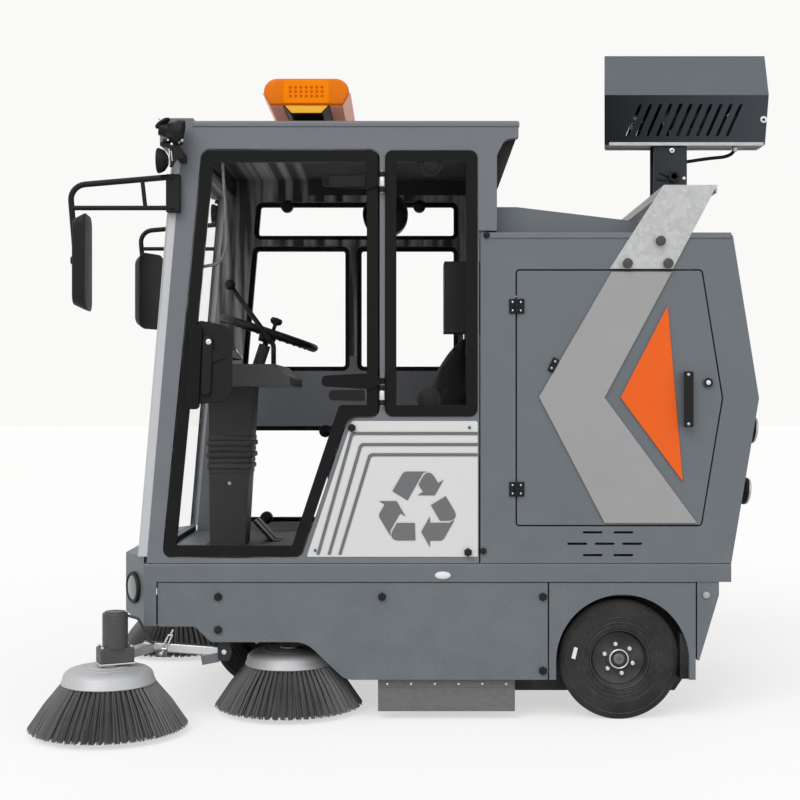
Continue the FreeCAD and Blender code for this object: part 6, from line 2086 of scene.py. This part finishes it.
@dataclass
class Lamps:
    """Headlamps, tail lamps and the pairs of work lamps at the roof's corners."""

    half_width: float = 0.58

    @staticmethod
    def set_of(name: str, node: str, at: Point, axis: Point,
               parts: tuple) -> None:
        """Turns one lamp's parts, repeats them on the other side and places them.

        Args:
            name: Start of the pieces' names.
            node: The node that they stand for.
            at: The lamp's foot.
            axis: Its direction.
            parts: Each part's label, profile, finish and slot.
        """
        for label, profile, finish, slot in parts:
            piece = lathe(profile, at, axis, 48, smooth=30)
            put(both(piece), f"{name}_{label}", finish, "chassis", slot, node)

    def head(self) -> None:
        """Headlamps with a black ring and a frosted lens."""
        ring = [(0.034, 0.0003), (0.0535, 0.0003), (0.0538, 0.007), (0.051, 0.012),
                (0.043, 0.0125), (0.0425, 0.006), (0.034, 0.006)]
        lens = [(0, 0.0065), (0.042, 0.0065), (0.042, 0.0095), (0.034, 0.0118), (0.016, 0.0135),
                (0, 0.0138)]
        self.set_of(
            "headlamp", "headlamps", (-0.979, -0.5115, 0.441), (-0.8414, -0.5405, 0),
            (("ring", ring, PLASTIC, "seal_black"), ("lens", lens, FROSTED, "lamp_lens")))

    def tail(self) -> None:
        """Tail lamps with a rubber seat, a bright bezel and a smoked dome."""
        down = Vector((1.058 - 1.121, 0, 0.53 - 1.082)).normalized()
        axis = (-down.z, 0, down.x)
        seat = [(0, 0), (0.046, 0), (0.046, 0.01), (0.0445, 0.0115), (0, 0.0115)]
        bezel = [
            (0.036, 0.0117), (0.044, 0.0117), (0.0445, 0.016), (0.041, 0.0195), (0.036, 0.0195)]
        dome = [(0, 0.0117), (0.0355, 0.0117), (0.0355, 0.018), (0.026, 0.0235), (0.012, 0.026),
                (0, 0.0265)]
        for i, (x, z) in enumerate(((1.0852, 0.768), (1.1088, 0.975))):
            self.set_of(f"tail_lamp_{i}", "tail_lamps", (x, -0.502, z), axis, (
                ("seat", seat, RUBBER, "seal_black"), ("bezel", bezel, STEEL, "trim_silver"),
                ("lens", dome, SMOKED, "lamp_lens")))

    def work(self) -> None:
        """Bell-shaped upper lamps, dish-shaped lower lamps and their screws and brackets."""
        y = -self.half_width - 0.056
        rear, front = Vector((-0.799, y, 1.955)), Vector((-0.884, y, 1.975))
        axis = (front - rear).normalized()
        bell = [(0, 0.003), (0.034, 0.003), (0.038, 0.0), (0.0436, 0.0), (0.0438, 0.013),
                (0.0415, 0.015), (0.0415, 0.019), (0.038, 0.024), (0.03, 0.038),
                (0.024, 0.046), (0.0225, 0.074), (0, 0.074)]
        body = lathe(bell, rear, axis, 48)
        cap = lathe([(0, 0.0), (0.026, 0.0), (0.028, 0.002), (0.028, 0.007), (0.024, 0.01),
                     (0, 0.011)], (-0.86, y, 1.986), (-0.55, 0, 0.83), 40)
        dish = lathe(
            [(0, -0.02), (0.018, -0.019), (0.034, -0.008), (0.0405, 0.006), (0.042, 0.012),
             (0.04, 0.0155), (0.036, 0.0125), (0, 0.0125)],
            (-0.864, y, 1.866), (-1, 0, 0), 48)
        stand = plate(
            [(-0.87, 1.912, 0.003), (-0.868, 1.926, 0.003), (-0.822, 1.93, 0.003),
             (-0.7915, 1.897, 0.003), (-0.7915, 1.868, 0.003), (-0.812, 1.872, 0.01),
             (-0.828, 1.842, 0.003), (-0.838, 1.842, 0.003), (-0.838, 1.906, 0.003)],
            y - 0.008, -0.004, 0.001)
        neck = block((-0.862, y - 0.012, 1.918), (-0.796, y + 0.012, 1.936), 0.004)
        foot = block((-0.8125, y - 0.0085, 1.8655), (-0.7895, -self.half_width, 1.8925), 0.003)
        for piece in (body, cap, dish):
            shade(piece, 30)
        black = joined([body, cap, dish, stand, neck, foot])
        put(both(black), "work_lamps_body", PLASTIC, "chassis", "frame_black", "work_lamps")
        face = y - 0.012
        screws = [rod((x, face, z), (x, face - 0.004, z), r, 0.001, 12) for x, z, r in (
            (-0.842, 1.931, 0.0035), (-0.808, 1.923, 0.0045), (-0.797, 1.93, 0.0055),
            (-0.83, 1.918, 0.0045))]
        screws += [
            rod((-0.8705, y - 0.012, 1.999), (-0.8735, y - 0.012, 2.0035), 0.0035),
            rod((-0.856, y - 0.018, 1.9985), (-0.859, y - 0.018, 2.003), 0.0035),
            rod((-0.8365, y - 0.0125, 1.846), (-0.8385, y - 0.0125, 1.902), 0.0018),
            rod((-0.8285, y - 0.0125, 1.862), (-0.8325, y - 0.0125, 1.896), 0.0018)]
        put(
            both(joined(screws)), "work_lamps_screws", ZINC, "chassis", "trim_silver",
            "work_lamps")

    def build(self) -> None:
        """Makes all lamps."""
        self.head()
        self.tail()
        self.work()


@dataclass
class BrushDrive:
    """Arm, gear case and motor of a front brush."""

    side: int
    x: float = -1.004
    y: float = -0.706
    low: float = 0.225
    arm_y: float = -0.526
    skew: float = 25.0
    case_x: float = -1.015

    def skewed(self, obj: Piece) -> None:
        """Turns a piece of the gear case to the case's own angle."""
        turned_round(obj, (self.case_x, self.y, 0), UPWARD, self.skew)

    def dark(self) -> Piece:
        """The painted motor, gear case and cable.

        Returns:
            The joined parts of one drive.
        """
        x, y, z = self.x, self.y, self.low
        case = block((x - 0.055, y - 0.035, z + 0.001), (x + 0.055, y + 0.035, z + 0.049), 0.003)
        self.skewed(case)
        motor = lathe(
            [(0, 0.048), (0.041, 0.048), (0.041, 0.158), (0.0395, 0.1605), (0.033, 0.1615),
             (0.033, 0.165), (0.014, 0.166), (0.013, 0.1655), (0, 0.1655)],
            (x, y, z), UPWARD, 56, smooth=30)
        pieces = [case, motor]
        for level in (0.075, 0.142):
            pieces.append(lathe([(0.04, level), (0.0416, level), (0.0416, level + 0.003),
                                 (0.04, level + 0.003)], (x, y, z), UPWARD, 48))
        pieces.append(tube(
            [(x + 0.036, y + 0.01, z + 0.15), (x + 0.07, y + 0.03, z + 0.136),
             (x + 0.094, y + 0.11, z + 0.044), (x + 0.098, y + 0.15, z + 0.035)],
            0.0045, 0.018))
        return joined(pieces)

    def bright(self) -> Piece:
        """The zinc-plated arm, link, shaft, screws and the pinned turnbuckle.

        Returns:
            The joined parts of one drive.
        """
        x, y, z, arm = self.x, self.y, self.low, self.arm_y
        beam = plate(
            [(-0.691, 0.213, 0.006), (-0.691, 0.243, 0.006), (-0.945, 0.261, 0.004),
             (-0.945, 0.231, 0.004)],
            arm - 0.015, 0.03, 0.003)
        end = rod((-0.671, arm - 0.015, 0.228), (-0.671, arm + 0.015, 0.228), 0.02, 0.002)
        hole = block((-0.7, arm - 0.014, 0.2135), (-0.671, arm + 0.014, 0.2425), 0.002)
        run = Vector((x + 0.925, y - arm, 0))
        across = Vector((-run.y, run.x, 0)).normalized() * 0.024
        base = Vector((-0.925, arm, 0))
        corners = [base + across, base - across, base + run - across, base + run + across]
        link = plate(
            [(p.x, p.y, 0.006) for p in corners], z + 0.003, 0.026, 0.002, plane=Plane.PLAN)
        plate_low = block(
            (x - 0.058, y - 0.038, z - 0.004), (x + 0.058, y + 0.038, z + 0.001), 0.001)
        self.skewed(plate_low)
        pieces = [beam, end, hole, link, plate_low, rod(
            (x - 0.022, y, 0.179), (x - 0.022, y, z), 0.0119, 0.0005)]
        for dx, dy in ((-0.047, -0.027), (-0.047, 0.027), (0.047, -0.027), (0.047, 0.027)):
            pieces.append(rod(
                (x + dx, y + dy, z + 0.049), (x + dx, y + dy, z + 0.056), 0.0055, 0.001, 6))
            self.skewed(pieces[-1])
        face = arm - 0.0215
        for x0, z0, x1, z1, radius, edge in (
                (-0.8805, 0.238, -0.8585, 0.284, 0.0032, 0.0005),
                (-0.8675, 0.238, -0.8455, 0.284, 0.0032, 0.0005),
                (-0.883, 0.238, -0.865, 0.238, 0.0048, 0.001),
                (-0.861, 0.284, -0.843, 0.284, 0.0048, 0.001),
                (-0.883, 0.219, -0.874, 0.238, 0.0036, 0.0005),
                (-0.852, 0.284, -0.842, 0.305, 0.004, 0.0012)):
            pieces.append(rod((x0, face, z0), (x1, face, z1), radius, edge, 16))
        pieces.append(rod(
            (-0.884, arm - 0.03, 0.222), (-0.884, arm - 0.015, 0.222), 0.0075, 0.001, 6))
        return joined(pieces)

    def guard(self) -> Piece:
        """The painted plate that hangs beside the arm's hinge."""
        corners = [(-0.75, 0.213), (-0.69, 0.225), (-0.687, 0.194), (-0.745, 0.183)]
        return plate(corners, -0.5415, -0.003, 0.0008)

    def clamp(self) -> Piece:
        """The dark foot that holds the turnbuckle against the arm."""
        return block((-0.902, -0.5475, 0.2105), (-0.862, -0.5405, 0.2365), 0.003)

    def build(self) -> None:
        """Makes the arm's pieces on one side."""
        node = f"front_arm_{Side(self.side).word}"
        for label, piece, finish, slot in (
                ("drive", self.dark(), MOTOR, "frame_black"),
                ("beam", self.bright(), ZINC, "galvanised"),
                ("clamp", self.clamp(), CAST, "frame_black"),
                ("guard", self.guard(), BODY, "body_paint")):
            if self.side > 0:
                swapped(piece)
            put(piece, f"{node}_{label}", finish, node, slot, node)


@dataclass
class Blower:
    """Fasteners, flanges, grips and fan of the spray unit."""

    pivot: Flat = (0.943, 1.91)
    shaft: Flat = (0.797, 2.138)
    blades: int = 7

    @staticmethod
    def pins(*parts: tuple[float, ...]) -> Piece:
        """Short rods that stand off both sides of the unit.

        Args:
            parts: Each rod's x, inner y and z, outer y and z, radius, rounding and faces.

        Returns:
            The joined rods.
        """
        return joined([
            rod((x, side * y0, z0), (x, side * y1, z1), radius, edge, faces)
            for side in (-1, 1) for x, y0, z0, y1, z1, radius, edge, faces in parts])

    def strips(self) -> Piece:
        """Bright flanges under the case's long edges."""
        near = block((0.702, -0.05, 2.0262), (1.28, -0.044, 2.0392), 0.0012)
        return both(near)

    def knob(self) -> Piece:
        """Star grips on the clamping bolt and the slots beside them.

        Returns:
            The joined grips and slots.
        """
        x, z = self.pivot
        pieces = []
        for side in (-1, 1):
            face = side * 0.063
            pieces.append(rod((x, face, z), (x, face - side * 0.018, z), 0.016, 0.003, 24))
            lobe = rod((x + 0.016, face + side * 0.001, z), (x + 0.016, face - side * 0.016, z),
                       0.0065, 0.002, 16)
            pieces.append(ringed(lobe, 6, (x, face, z), SIDEWAYS))
            for a, b in (((-0.052, 0.016), (-0.022, 0.002)), ((-0.062, -0.008), (-0.026, -0.014))):
                pieces.append(rod((x + a[0], side * 0.0396, z + a[1]),
                                  (x + b[0], side * 0.0396, z + b[1]), 0.0035, 0.001, 12))
        return joined(pieces)

    def fan(self) -> Piece:
        """The impeller behind the case's mouth.

        Returns:
            The impeller.
        """
        x, z = self.shaft
        hub = rod((x - 0.037, 0, z), (x + 0.038, 0, z), 0.017, 0.003)
        blade = plate(
            [(0.01, 2.144), (0.016, 2.132), (0.05, 2.138, 0.004), (0.048, 2.156, 0.006)], 0.796,
            0.0016, plane=Plane.FRONT)
        turned_round(blade, (x, 0, z), (0, 1, 0.2), 24.0)
        return joined([hub, ringed(blade, self.blades, (x, 0, z), AHEAD)])

    def build(self) -> None:
        """Makes the blower's fittings."""
        bolts = self.pins(
            (0.938, 0.039, 2.009, 0.046, 2.009, 0.011, 0.00175, 6),
            (1.272, 0.0745, 2.118, 0.0785, 2.1175, 0.013, 0.001, 24),
            (0.984, 0.0385, 1.906, 0.0405, 1.906, 0.006, 0.0005, 20))
        put(bolts, "blower_bolts", ZINC, "spray_unit", "trim_silver")
        put(self.strips(), "blower_flanges", GALVANISED, "spray_unit", "trim_silver")
        sockets = self.pins(
            (1.272, 0.078, 2.1176, 0.0795, 2.1174, 0.005, 0.0004, 16),
            (0.938, 0.0455, 2.009, 0.0468, 2.009, 0.0035, 0.0003, 16))
        put(sockets, "blower_sockets", PLASTIC, "spray_unit", "seal_black")
        put(self.fan(), "blower_fan", STEEL, "spray_unit", "galvanised")
        put(self.knob(), "blower_knobs", PLASTIC, "chassis", "seal_black")


@dataclass
class SprayCable:
    """The flexible cable that loops from the spray box down to its bracket.

    The cable follows the route of its own centre line.
    """

    route: tuple[Point, ...] = (
        (1.183, 0.0, 2.03), (1.183, 0.0, 1.996), (1.073, 0.0, 1.986), (0.978, 0.0, 1.97),
        (0.902, 0.0, 1.97))
    diameter: float = 0.013
    length: float = 0.305

    def build(self) -> None:
        """Makes the cable as one smooth line and its end sleeve."""
        curve = bpy.data.curves.new("spray_lead", "CURVE")
        curve.dimensions = "3D"
        line = curve.splines.new("NURBS")
        line.points.add(len(self.route) - 1)
        for point, place in zip(line.points, self.route):
            point.co = (*place, 1.0)
        line.order_u = 3
        line.use_endpoint_u = True
        curve.resolution_u = 24
        curve.bevel_depth = self.diameter / 2
        curve.bevel_resolution = 6
        curve.use_fill_caps = True
        cable = bpy.data.objects.new("spray_lead", curve)
        bpy.context.scene.collection.objects.link(cable)
        put(cable, "spray_lead", RUBBER, "spray_unit", "seal_black", "spray_cable")
        x, y, z = self.route[0]
        sleeve = lathe([(0.0068, 0.0), (0.012, 0.0), (0.012, 0.006), (0.0095, 0.008),
                        (0.0092, 0.017), (0.0068, 0.018)], (x, y, z), (0, 0, -1), 32, smooth=30)
        put(sleeve, "spray_lead_sleeve", ZINC, "spray_unit", "trim_silver")


@dataclass
class Hardware:
    """Bolts, hinges, handles, catches, trims and the wiper of the body."""

    face: float = 0.58
    hinge: Flat = (0.31, 0.0245)
    hinge_zs: Flat = (0.778, 1.389)
    hinge_out: float = 0.0058
    handle_x: float = 0.8775
    handle_face: float = 0.0294
    lock: Flat = (0.95, 1.134)
    lock_face: float = 0.0085
    catch_face: float = 0.011
    screen_slope: Flat = (0.1179, 1.388)
    wiper_foot: Point = (-0.8385, 0.0, 1.905)
    wiper_half: float = 0.26
    hatch_top: Flat = (1.033, 1.63)
    hatch_foot: Flat = (1.121, 1.082)

    def hinges(self, side: Side) -> None:
        """Places both hinges of a service door, with the leaves that move with it.

        Args:
            side: The half of the machine.
        """
        out, w = side.value, side.word
        y = out * self.face
        axis, half = self.hinge
        leaf, pin = y + out * self.hinge_out, out * (self.face + 0.009)
        fixed, moving = ([], []), ([], [])
        for z in self.hinge_zs:
            for x0, x1, (parts, screws) in ((0.2855, 0.3085, fixed), (0.3115, 0.3365, moving)):
                parts.append(block((x0, y, z - half), (x1, leaf, z + half), 0.0015))
                middle = (x0 + x1) / 2
                screws.append(heads(
                    [(middle, z - 0.014), (middle, z + 0.014)], leaf, 0.0032, 0.0012, 12))
            for low, high, (parts, _) in (
                    (-0.0242, -0.0082, fixed), (0.0082, 0.0242, fixed), (-0.0076, 0.0076, moving)):
                parts.append(rod((axis, pin, z + low), (axis, pin, z + high), 0.0063, 0.0006, 24))
        body = f"service_door_{w}"
        put(joined(fixed[0]), f"door_hinges_{w}", PLASTIC, "chassis", "seal_black")
        put(joined(moving[0]), f"door_leaves_{w}", PLASTIC, body, "seal_black")
        put(joined(fixed[1]), f"hinge_screws_{w}", ZINC, "chassis", "trim_silver")
        put(joined(moving[1]), f"leaf_screws_{w}", ZINC, body, "trim_silver")

    def handle(self, side: Side) -> None:
        """Places the handle, the lock and the catch of a service door.

        Args:
            side: The half of the machine.
        """
        out, body = side.value, f"service_door_{side.word}"
        y = out * self.face
        x, (lock_x, lock_z), cap = self.handle_x, self.lock, self.lock_face
        grip = plate(
            [(0.8596, 0.9846, 0.008), (0.8596, 1.1724, 0.008), (0.8954, 1.1724, 0.008),
             (0.8954, 0.9846, 0.008)],
            y + out * self.handle_face, out * 0.0092, 0.003, 3)
        feet = [rod((x, y, z), (x, y + out * 0.031, z), 0.011, 0.002) for z in (1.005, 1.152)]
        ends = heads([(x, 0.9965), (x, 1.1605)], y + out * 0.0386, 0.0052, 0.0006, 16)
        lock = lathe([(0, 0), (0.0175, 0), (0.0175, 0.006), (0.015, cap), (0, cap)],
                     (lock_x, y, lock_z), (0, out, 0), 40, smooth=35)
        catch = plate(
            [(0.4125, 1.176, 0.004), (0.4335, 1.22, 0.004), (0.4525, 1.21, 0.004),
             (0.432, 1.166, 0.004)],
            y, out * self.catch_face, 0.003)
        eyes = heads(
            [(0.4265, 1.1825), (0.4385, 1.2045)], y + out * self.catch_face, 0.0038, 0.0015, 16)
        black = joined([grip, lock, catch] + feet)
        key = rod((lock_x, y + out * cap, lock_z), (lock_x, y + out * (cap + 0.001), lock_z),
                  0.008, 0.0003, 24)
        for piece, label, finish, slot in (
                (ends, "handle_screws", STEEL, "trim_silver"),
                (eyes, "catch_screws", STEEL, "trim_silver"),
                (black, "door_handle", PLASTIC, "seal_black"),
                (key, "door_lock", ZINC, "trim_silver")):
            put(piece, f"{label}_{side.word}", finish, body, slot)

    def bolts(self) -> None:
        """Bolts and screws of the body, the strips along its flaps and the rail's cap."""
        arch = heads([(0.679, 1.531), (0.814, 1.531), (0.789, 1.606)], -0.5955, 0.017, 0.008, 32)
        put(both(arch), "arch_bolts", MOTOR, "chassis", "seal_black")
        dark = heads([(0.21, 1.627), (0.199, 0.572)], -self.face, 0.012, 0.01, 6)
        put(both(dark), "body_bolts", PLASTIC, "chassis", "seal_black")
        screw = rod((-0.712, -0.08, 0.767), (-0.712, -0.083, 0.767), 0.0065, 0.001, 16)
        put(screw, "pedestal_screw", ZINC, "chassis", "trim_silver")
        grey = heads([(0.945, 0.424)], -0.579, 0.0118, 0.003, 24)
        put(both(grey), "apron_bolts", BIN, "chassis", "galvanised")
        bright = [heads([(-0.122 + 0.08 * i, 0.121) for i in range(6)], -0.5452, 0.0048, 0.004),
                  heads([(-0.671, 0.228)], -0.549, 0.0095, 0.005, 6)]
        put(both(joined(bright)), "bright_bolts", ZINC, "chassis", "trim_silver")
        strip = plate(
            [(-0.15, 0.108), (-0.15, 0.134), (0.305, 0.134), (0.305, 0.108)], -0.545,
            -0.0018, 0.0005)
        put(both(strip), "flap_strips", FLAP, "chassis", "galvanised")
        cap = lathe([(0, 0), (0.0265, 0), (0.0255, 0.004), (0.016, 0.009), (0, 0.01)],
                    (0.064, -self.face, 0.49), (0, -1, 0), 40)
        cap.data.transform(
            Matrix.Translation((0, 0, 0.49)) @ Matrix.Scale(0.5, 4, UPWARD)
            @ Matrix.Translation((0, 0, -0.49)))
        shade(cap)
        put(cap, "rail_cap", TAG, "chassis", "panel_white")

    def panels(self) -> None:
        """Lips along the housing's top in the lighter cab paint as a painted highlight, wheel-well
        strips and a dark sheet of painted shade under the eave.
        """
        # The lips take the lighter cab paint as a painted highlight along the housing's top edge.
        lip = block((0.204, -0.5838, 1.6165), (1.028, -0.578, 1.6358), 0.0028, 3)
        put(both(lip), "housing_lips", CAB, "chassis", "body_paint")
        strip = block((0.862, -0.556, 0.1385), (0.8915, -0.5, 0.29), 0.002)
        put(both(strip), "well_strips", CHASSIS, "chassis", "frame_black")
        # A dark sheet of painted shade on the inner face of each eave gusset.
        y = -0.5402
        dark = plate(
            [(0.246, 1.996), (0.31, 1.996), (0.3112, 1.954), (0.2512, 1.7912), (0.246, 1.7912)], y,
            -0.0006)
        put(both(dark), "eave_linings", PAINTED_SHADE, "chassis", "frame_black")

    def wiper(self) -> None:
        """Wiper on the windshield, its arm and motor cover."""
        rake = math.atan2(*self.screen_slope)
        foot = Vector(self.wiper_foot)
        down = Vector((-math.sin(rake), 0, -math.cos(rake)))
        out = Vector((-math.cos(rake), 0, math.sin(rake)))
        a = foot + down * 0.03 + out * 0.024
        b = foot + down * 0.6 + out * 0.022 + Vector((0, 0.16, 0))
        arm = rod(a, b, 0.005, 0.001, 12)
        middle, reach = b + out * -0.01, down * self.wiper_half
        blade = rod(middle - reach, middle + reach, 0.006, 0.002, 8)
        boss = rod(foot + down * 0.03, a + out * 0.008, 0.017, 0.003)
        put(joined([arm, blade, boss]), "wiper", PLASTIC, "chassis", "seal_black")

    def rear(self) -> None:
        """Handle of the rear hatch."""
        top, low = [Vector((x, 0, z)) for x, z in (self.hatch_top, self.hatch_foot)]
        down = (low - top).normalized()
        out = Vector((-down.z, 0, down.x))
        foot = top + down * 0.435 + out * 0.01
        grip = []
        for y in (-0.055, 0.055):
            here = foot + Vector((0, y, 0))
            grip.append(rod(here, here + out * 0.028, 0.007, 0.002, 16))
        bar, half = foot + out * 0.028, Vector((0, 0.07, 0))
        grip.append(rod(bar - half, bar + half, 0.009, 0.004, 24))
        put(joined(grip), "hatch_handle", PLASTIC, "rear_hatch", "seal_black")

    def build(self) -> None:
        """Makes the body's hardware."""
        for side in Side:
            self.hinges(side)
            self.handle(side)
        self.bolts()
        self.panels()
        self.wiper()
        self.rear()


# ---- studio -------------------------------------------------------------------------------
@dataclass
class Studio:
    """Floor, light and camera."""

    eye: Point = (-0.079, -5.08, 1.076)
    lens: float = 60.6
    floor_size: float = 60.0
    floor_y: float = 20.0
    pale: Colour = (0.955, 0.95, 0.942)
    shaded: Colour = (0.42, 0.42, 0.42)
    hidden: Colour = (0.75, 0.75, 0.75)
    glow: float = 0.625
    ambient: float = 0.55

    def floor(self) -> None:
        """A large pale floor that keeps the machine's shadow."""
        rest()
        bpy.ops.mesh.primitive_plane_add(size=self.floor_size, location=(0, self.floor_y, 0))
        bpy.ops.object.transform_apply()
        floor = bpy.context.object
        floor.name = "studio_floor"
        material = bpy.data.materials.new("studio_floor")
        material.use_nodes = True
        nodes = material.node_tree.nodes
        nodes.remove(nodes["Principled BSDF"])
        g = Graph(material.node_tree)
        shown = g.add("ShaderNodeAddShader")
        g.link(g.shader("BsdfDiffuse", self.shaded), shown.inputs[0])
        g.link(g.shader("Emission", self.pale, self.glow), shown.inputs[1])
        plain = g.shader("BsdfDiffuse", self.hidden)
        self.show(g, plain, shown.outputs[0], nodes["Material Output"])
        floor.data.materials.append(material)

    @staticmethod
    def show(g: Graph, hidden: Socket, shown: Socket, out: bpy.types.Node) -> None:
        """Splits the rays that a viewer sees, also in gloss or through glass, from the rest.

        Args:
            g: The graph.
            hidden: The shader that only lights.
            shown: The shader that a viewer sees.
            out: The graph's last node.
        """
        path = g.add("ShaderNodeLightPath").outputs
        rays = g.maths("MAXIMUM", path["Is Camera Ray"], path["Is Glossy Ray"])
        mix = g.add("ShaderNodeMixShader")
        share = g.maths("MAXIMUM", rays, path["Is Transmission Ray"])
        for socket, source in zip(mix.inputs, (share, hidden, shown)):
            g.link(source, socket)
        g.link(mix.outputs[0], out.inputs["Surface"])

    def world(self) -> None:
        """Soft light from all round in front of a pale background."""
        world = bpy.data.worlds.new("studio")
        bpy.context.scene.world = world
        world.use_nodes = True
        g = Graph(world.node_tree)
        g.tree.nodes.clear()
        light = g.shader("Background", (1.0, 1.0, 1.0), self.ambient)
        shown = g.shader("Background", self.pale)
        self.show(g, light, shown, g.add("ShaderNodeOutputWorld"))

    @staticmethod
    def sun(name: str, strength: float, angle: float, towards: Point) -> None:
        """A soft sun lamp shining in one direction.

        Args:
            name: The lamp's name.
            strength: Its strength.
            angle: Its angular size in degrees.
            towards: The direction that it shines in.
        """
        rest()
        bpy.ops.object.light_add(type="SUN", location=(0, 0, 6))
        lamp = bpy.context.object
        lamp.name = name
        lamp.data.energy = strength
        lamp.data.angle = math.radians(angle)
        lamp.rotation_euler = Vector(towards).to_track_quat("-Z", "Y").to_euler()

    def camera(self) -> None:
        """A level camera square to the machine's left side."""
        rest()
        bpy.ops.object.camera_add(location=self.eye, rotation=(math.radians(90), 0, 0))
        camera = bpy.context.object
        camera.data.lens = self.lens
        camera.data.sensor_width = 36.0
        camera.data.clip_end = 200.0
        bpy.context.scene.camera = camera

    def build(self) -> None:
        """Sets up the whole studio."""
        bpy.context.scene.view_settings.view_transform = "Standard"
        self.floor()
        self.world()
        self.sun("key", 1.5, 40.0, (0.35, 0.75, -0.75))
        self.sun("fill", 0.5, 60.0, (-0.5, 0.6, -0.35))
        self.camera()


def main() -> None:
    """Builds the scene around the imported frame."""
    logging.basicConfig(level=logging.INFO, format="%(message)s")
    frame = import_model()
    rest()
    Groups.make()
    dress_nodes(frame)
    for name, x, y, seed in (
            ("front_brush_left", -1.026, -0.706, 11), ("front_brush_right", -1.026, 0.706, 12),
            ("mid_brush_left", -0.466, -0.385, 13), ("mid_brush_right", -0.466, 0.385, 14)):
        SideBrush(x, y, name, seed).build()
    Roller().build()
    RoadWheel("front_wheel", "front_tyre", "front_rim", -0.579, 0.0, -1).build()
    for side in Side:
        RoadWheel(
            f"rear_wheel_{side.word}", f"rear_tyre_{side.word}", f"rear_rim_{side.word}", 0.66,
            side.value * 0.5, side.value, tag=side is Side.LEFT).build()
    LightBar().build()
    Mirrors().build()
    SidePanels().build()
    Knobs().build()
    Seat().build()
    Cab().build()
    Lamps().build()
    for side in Side:
        BrushDrive(side.value).build()
    Blower().build()
    SprayCable().build()
    Hardware().build()
    Studio().build()


if __name__ == "__main__":
    main()
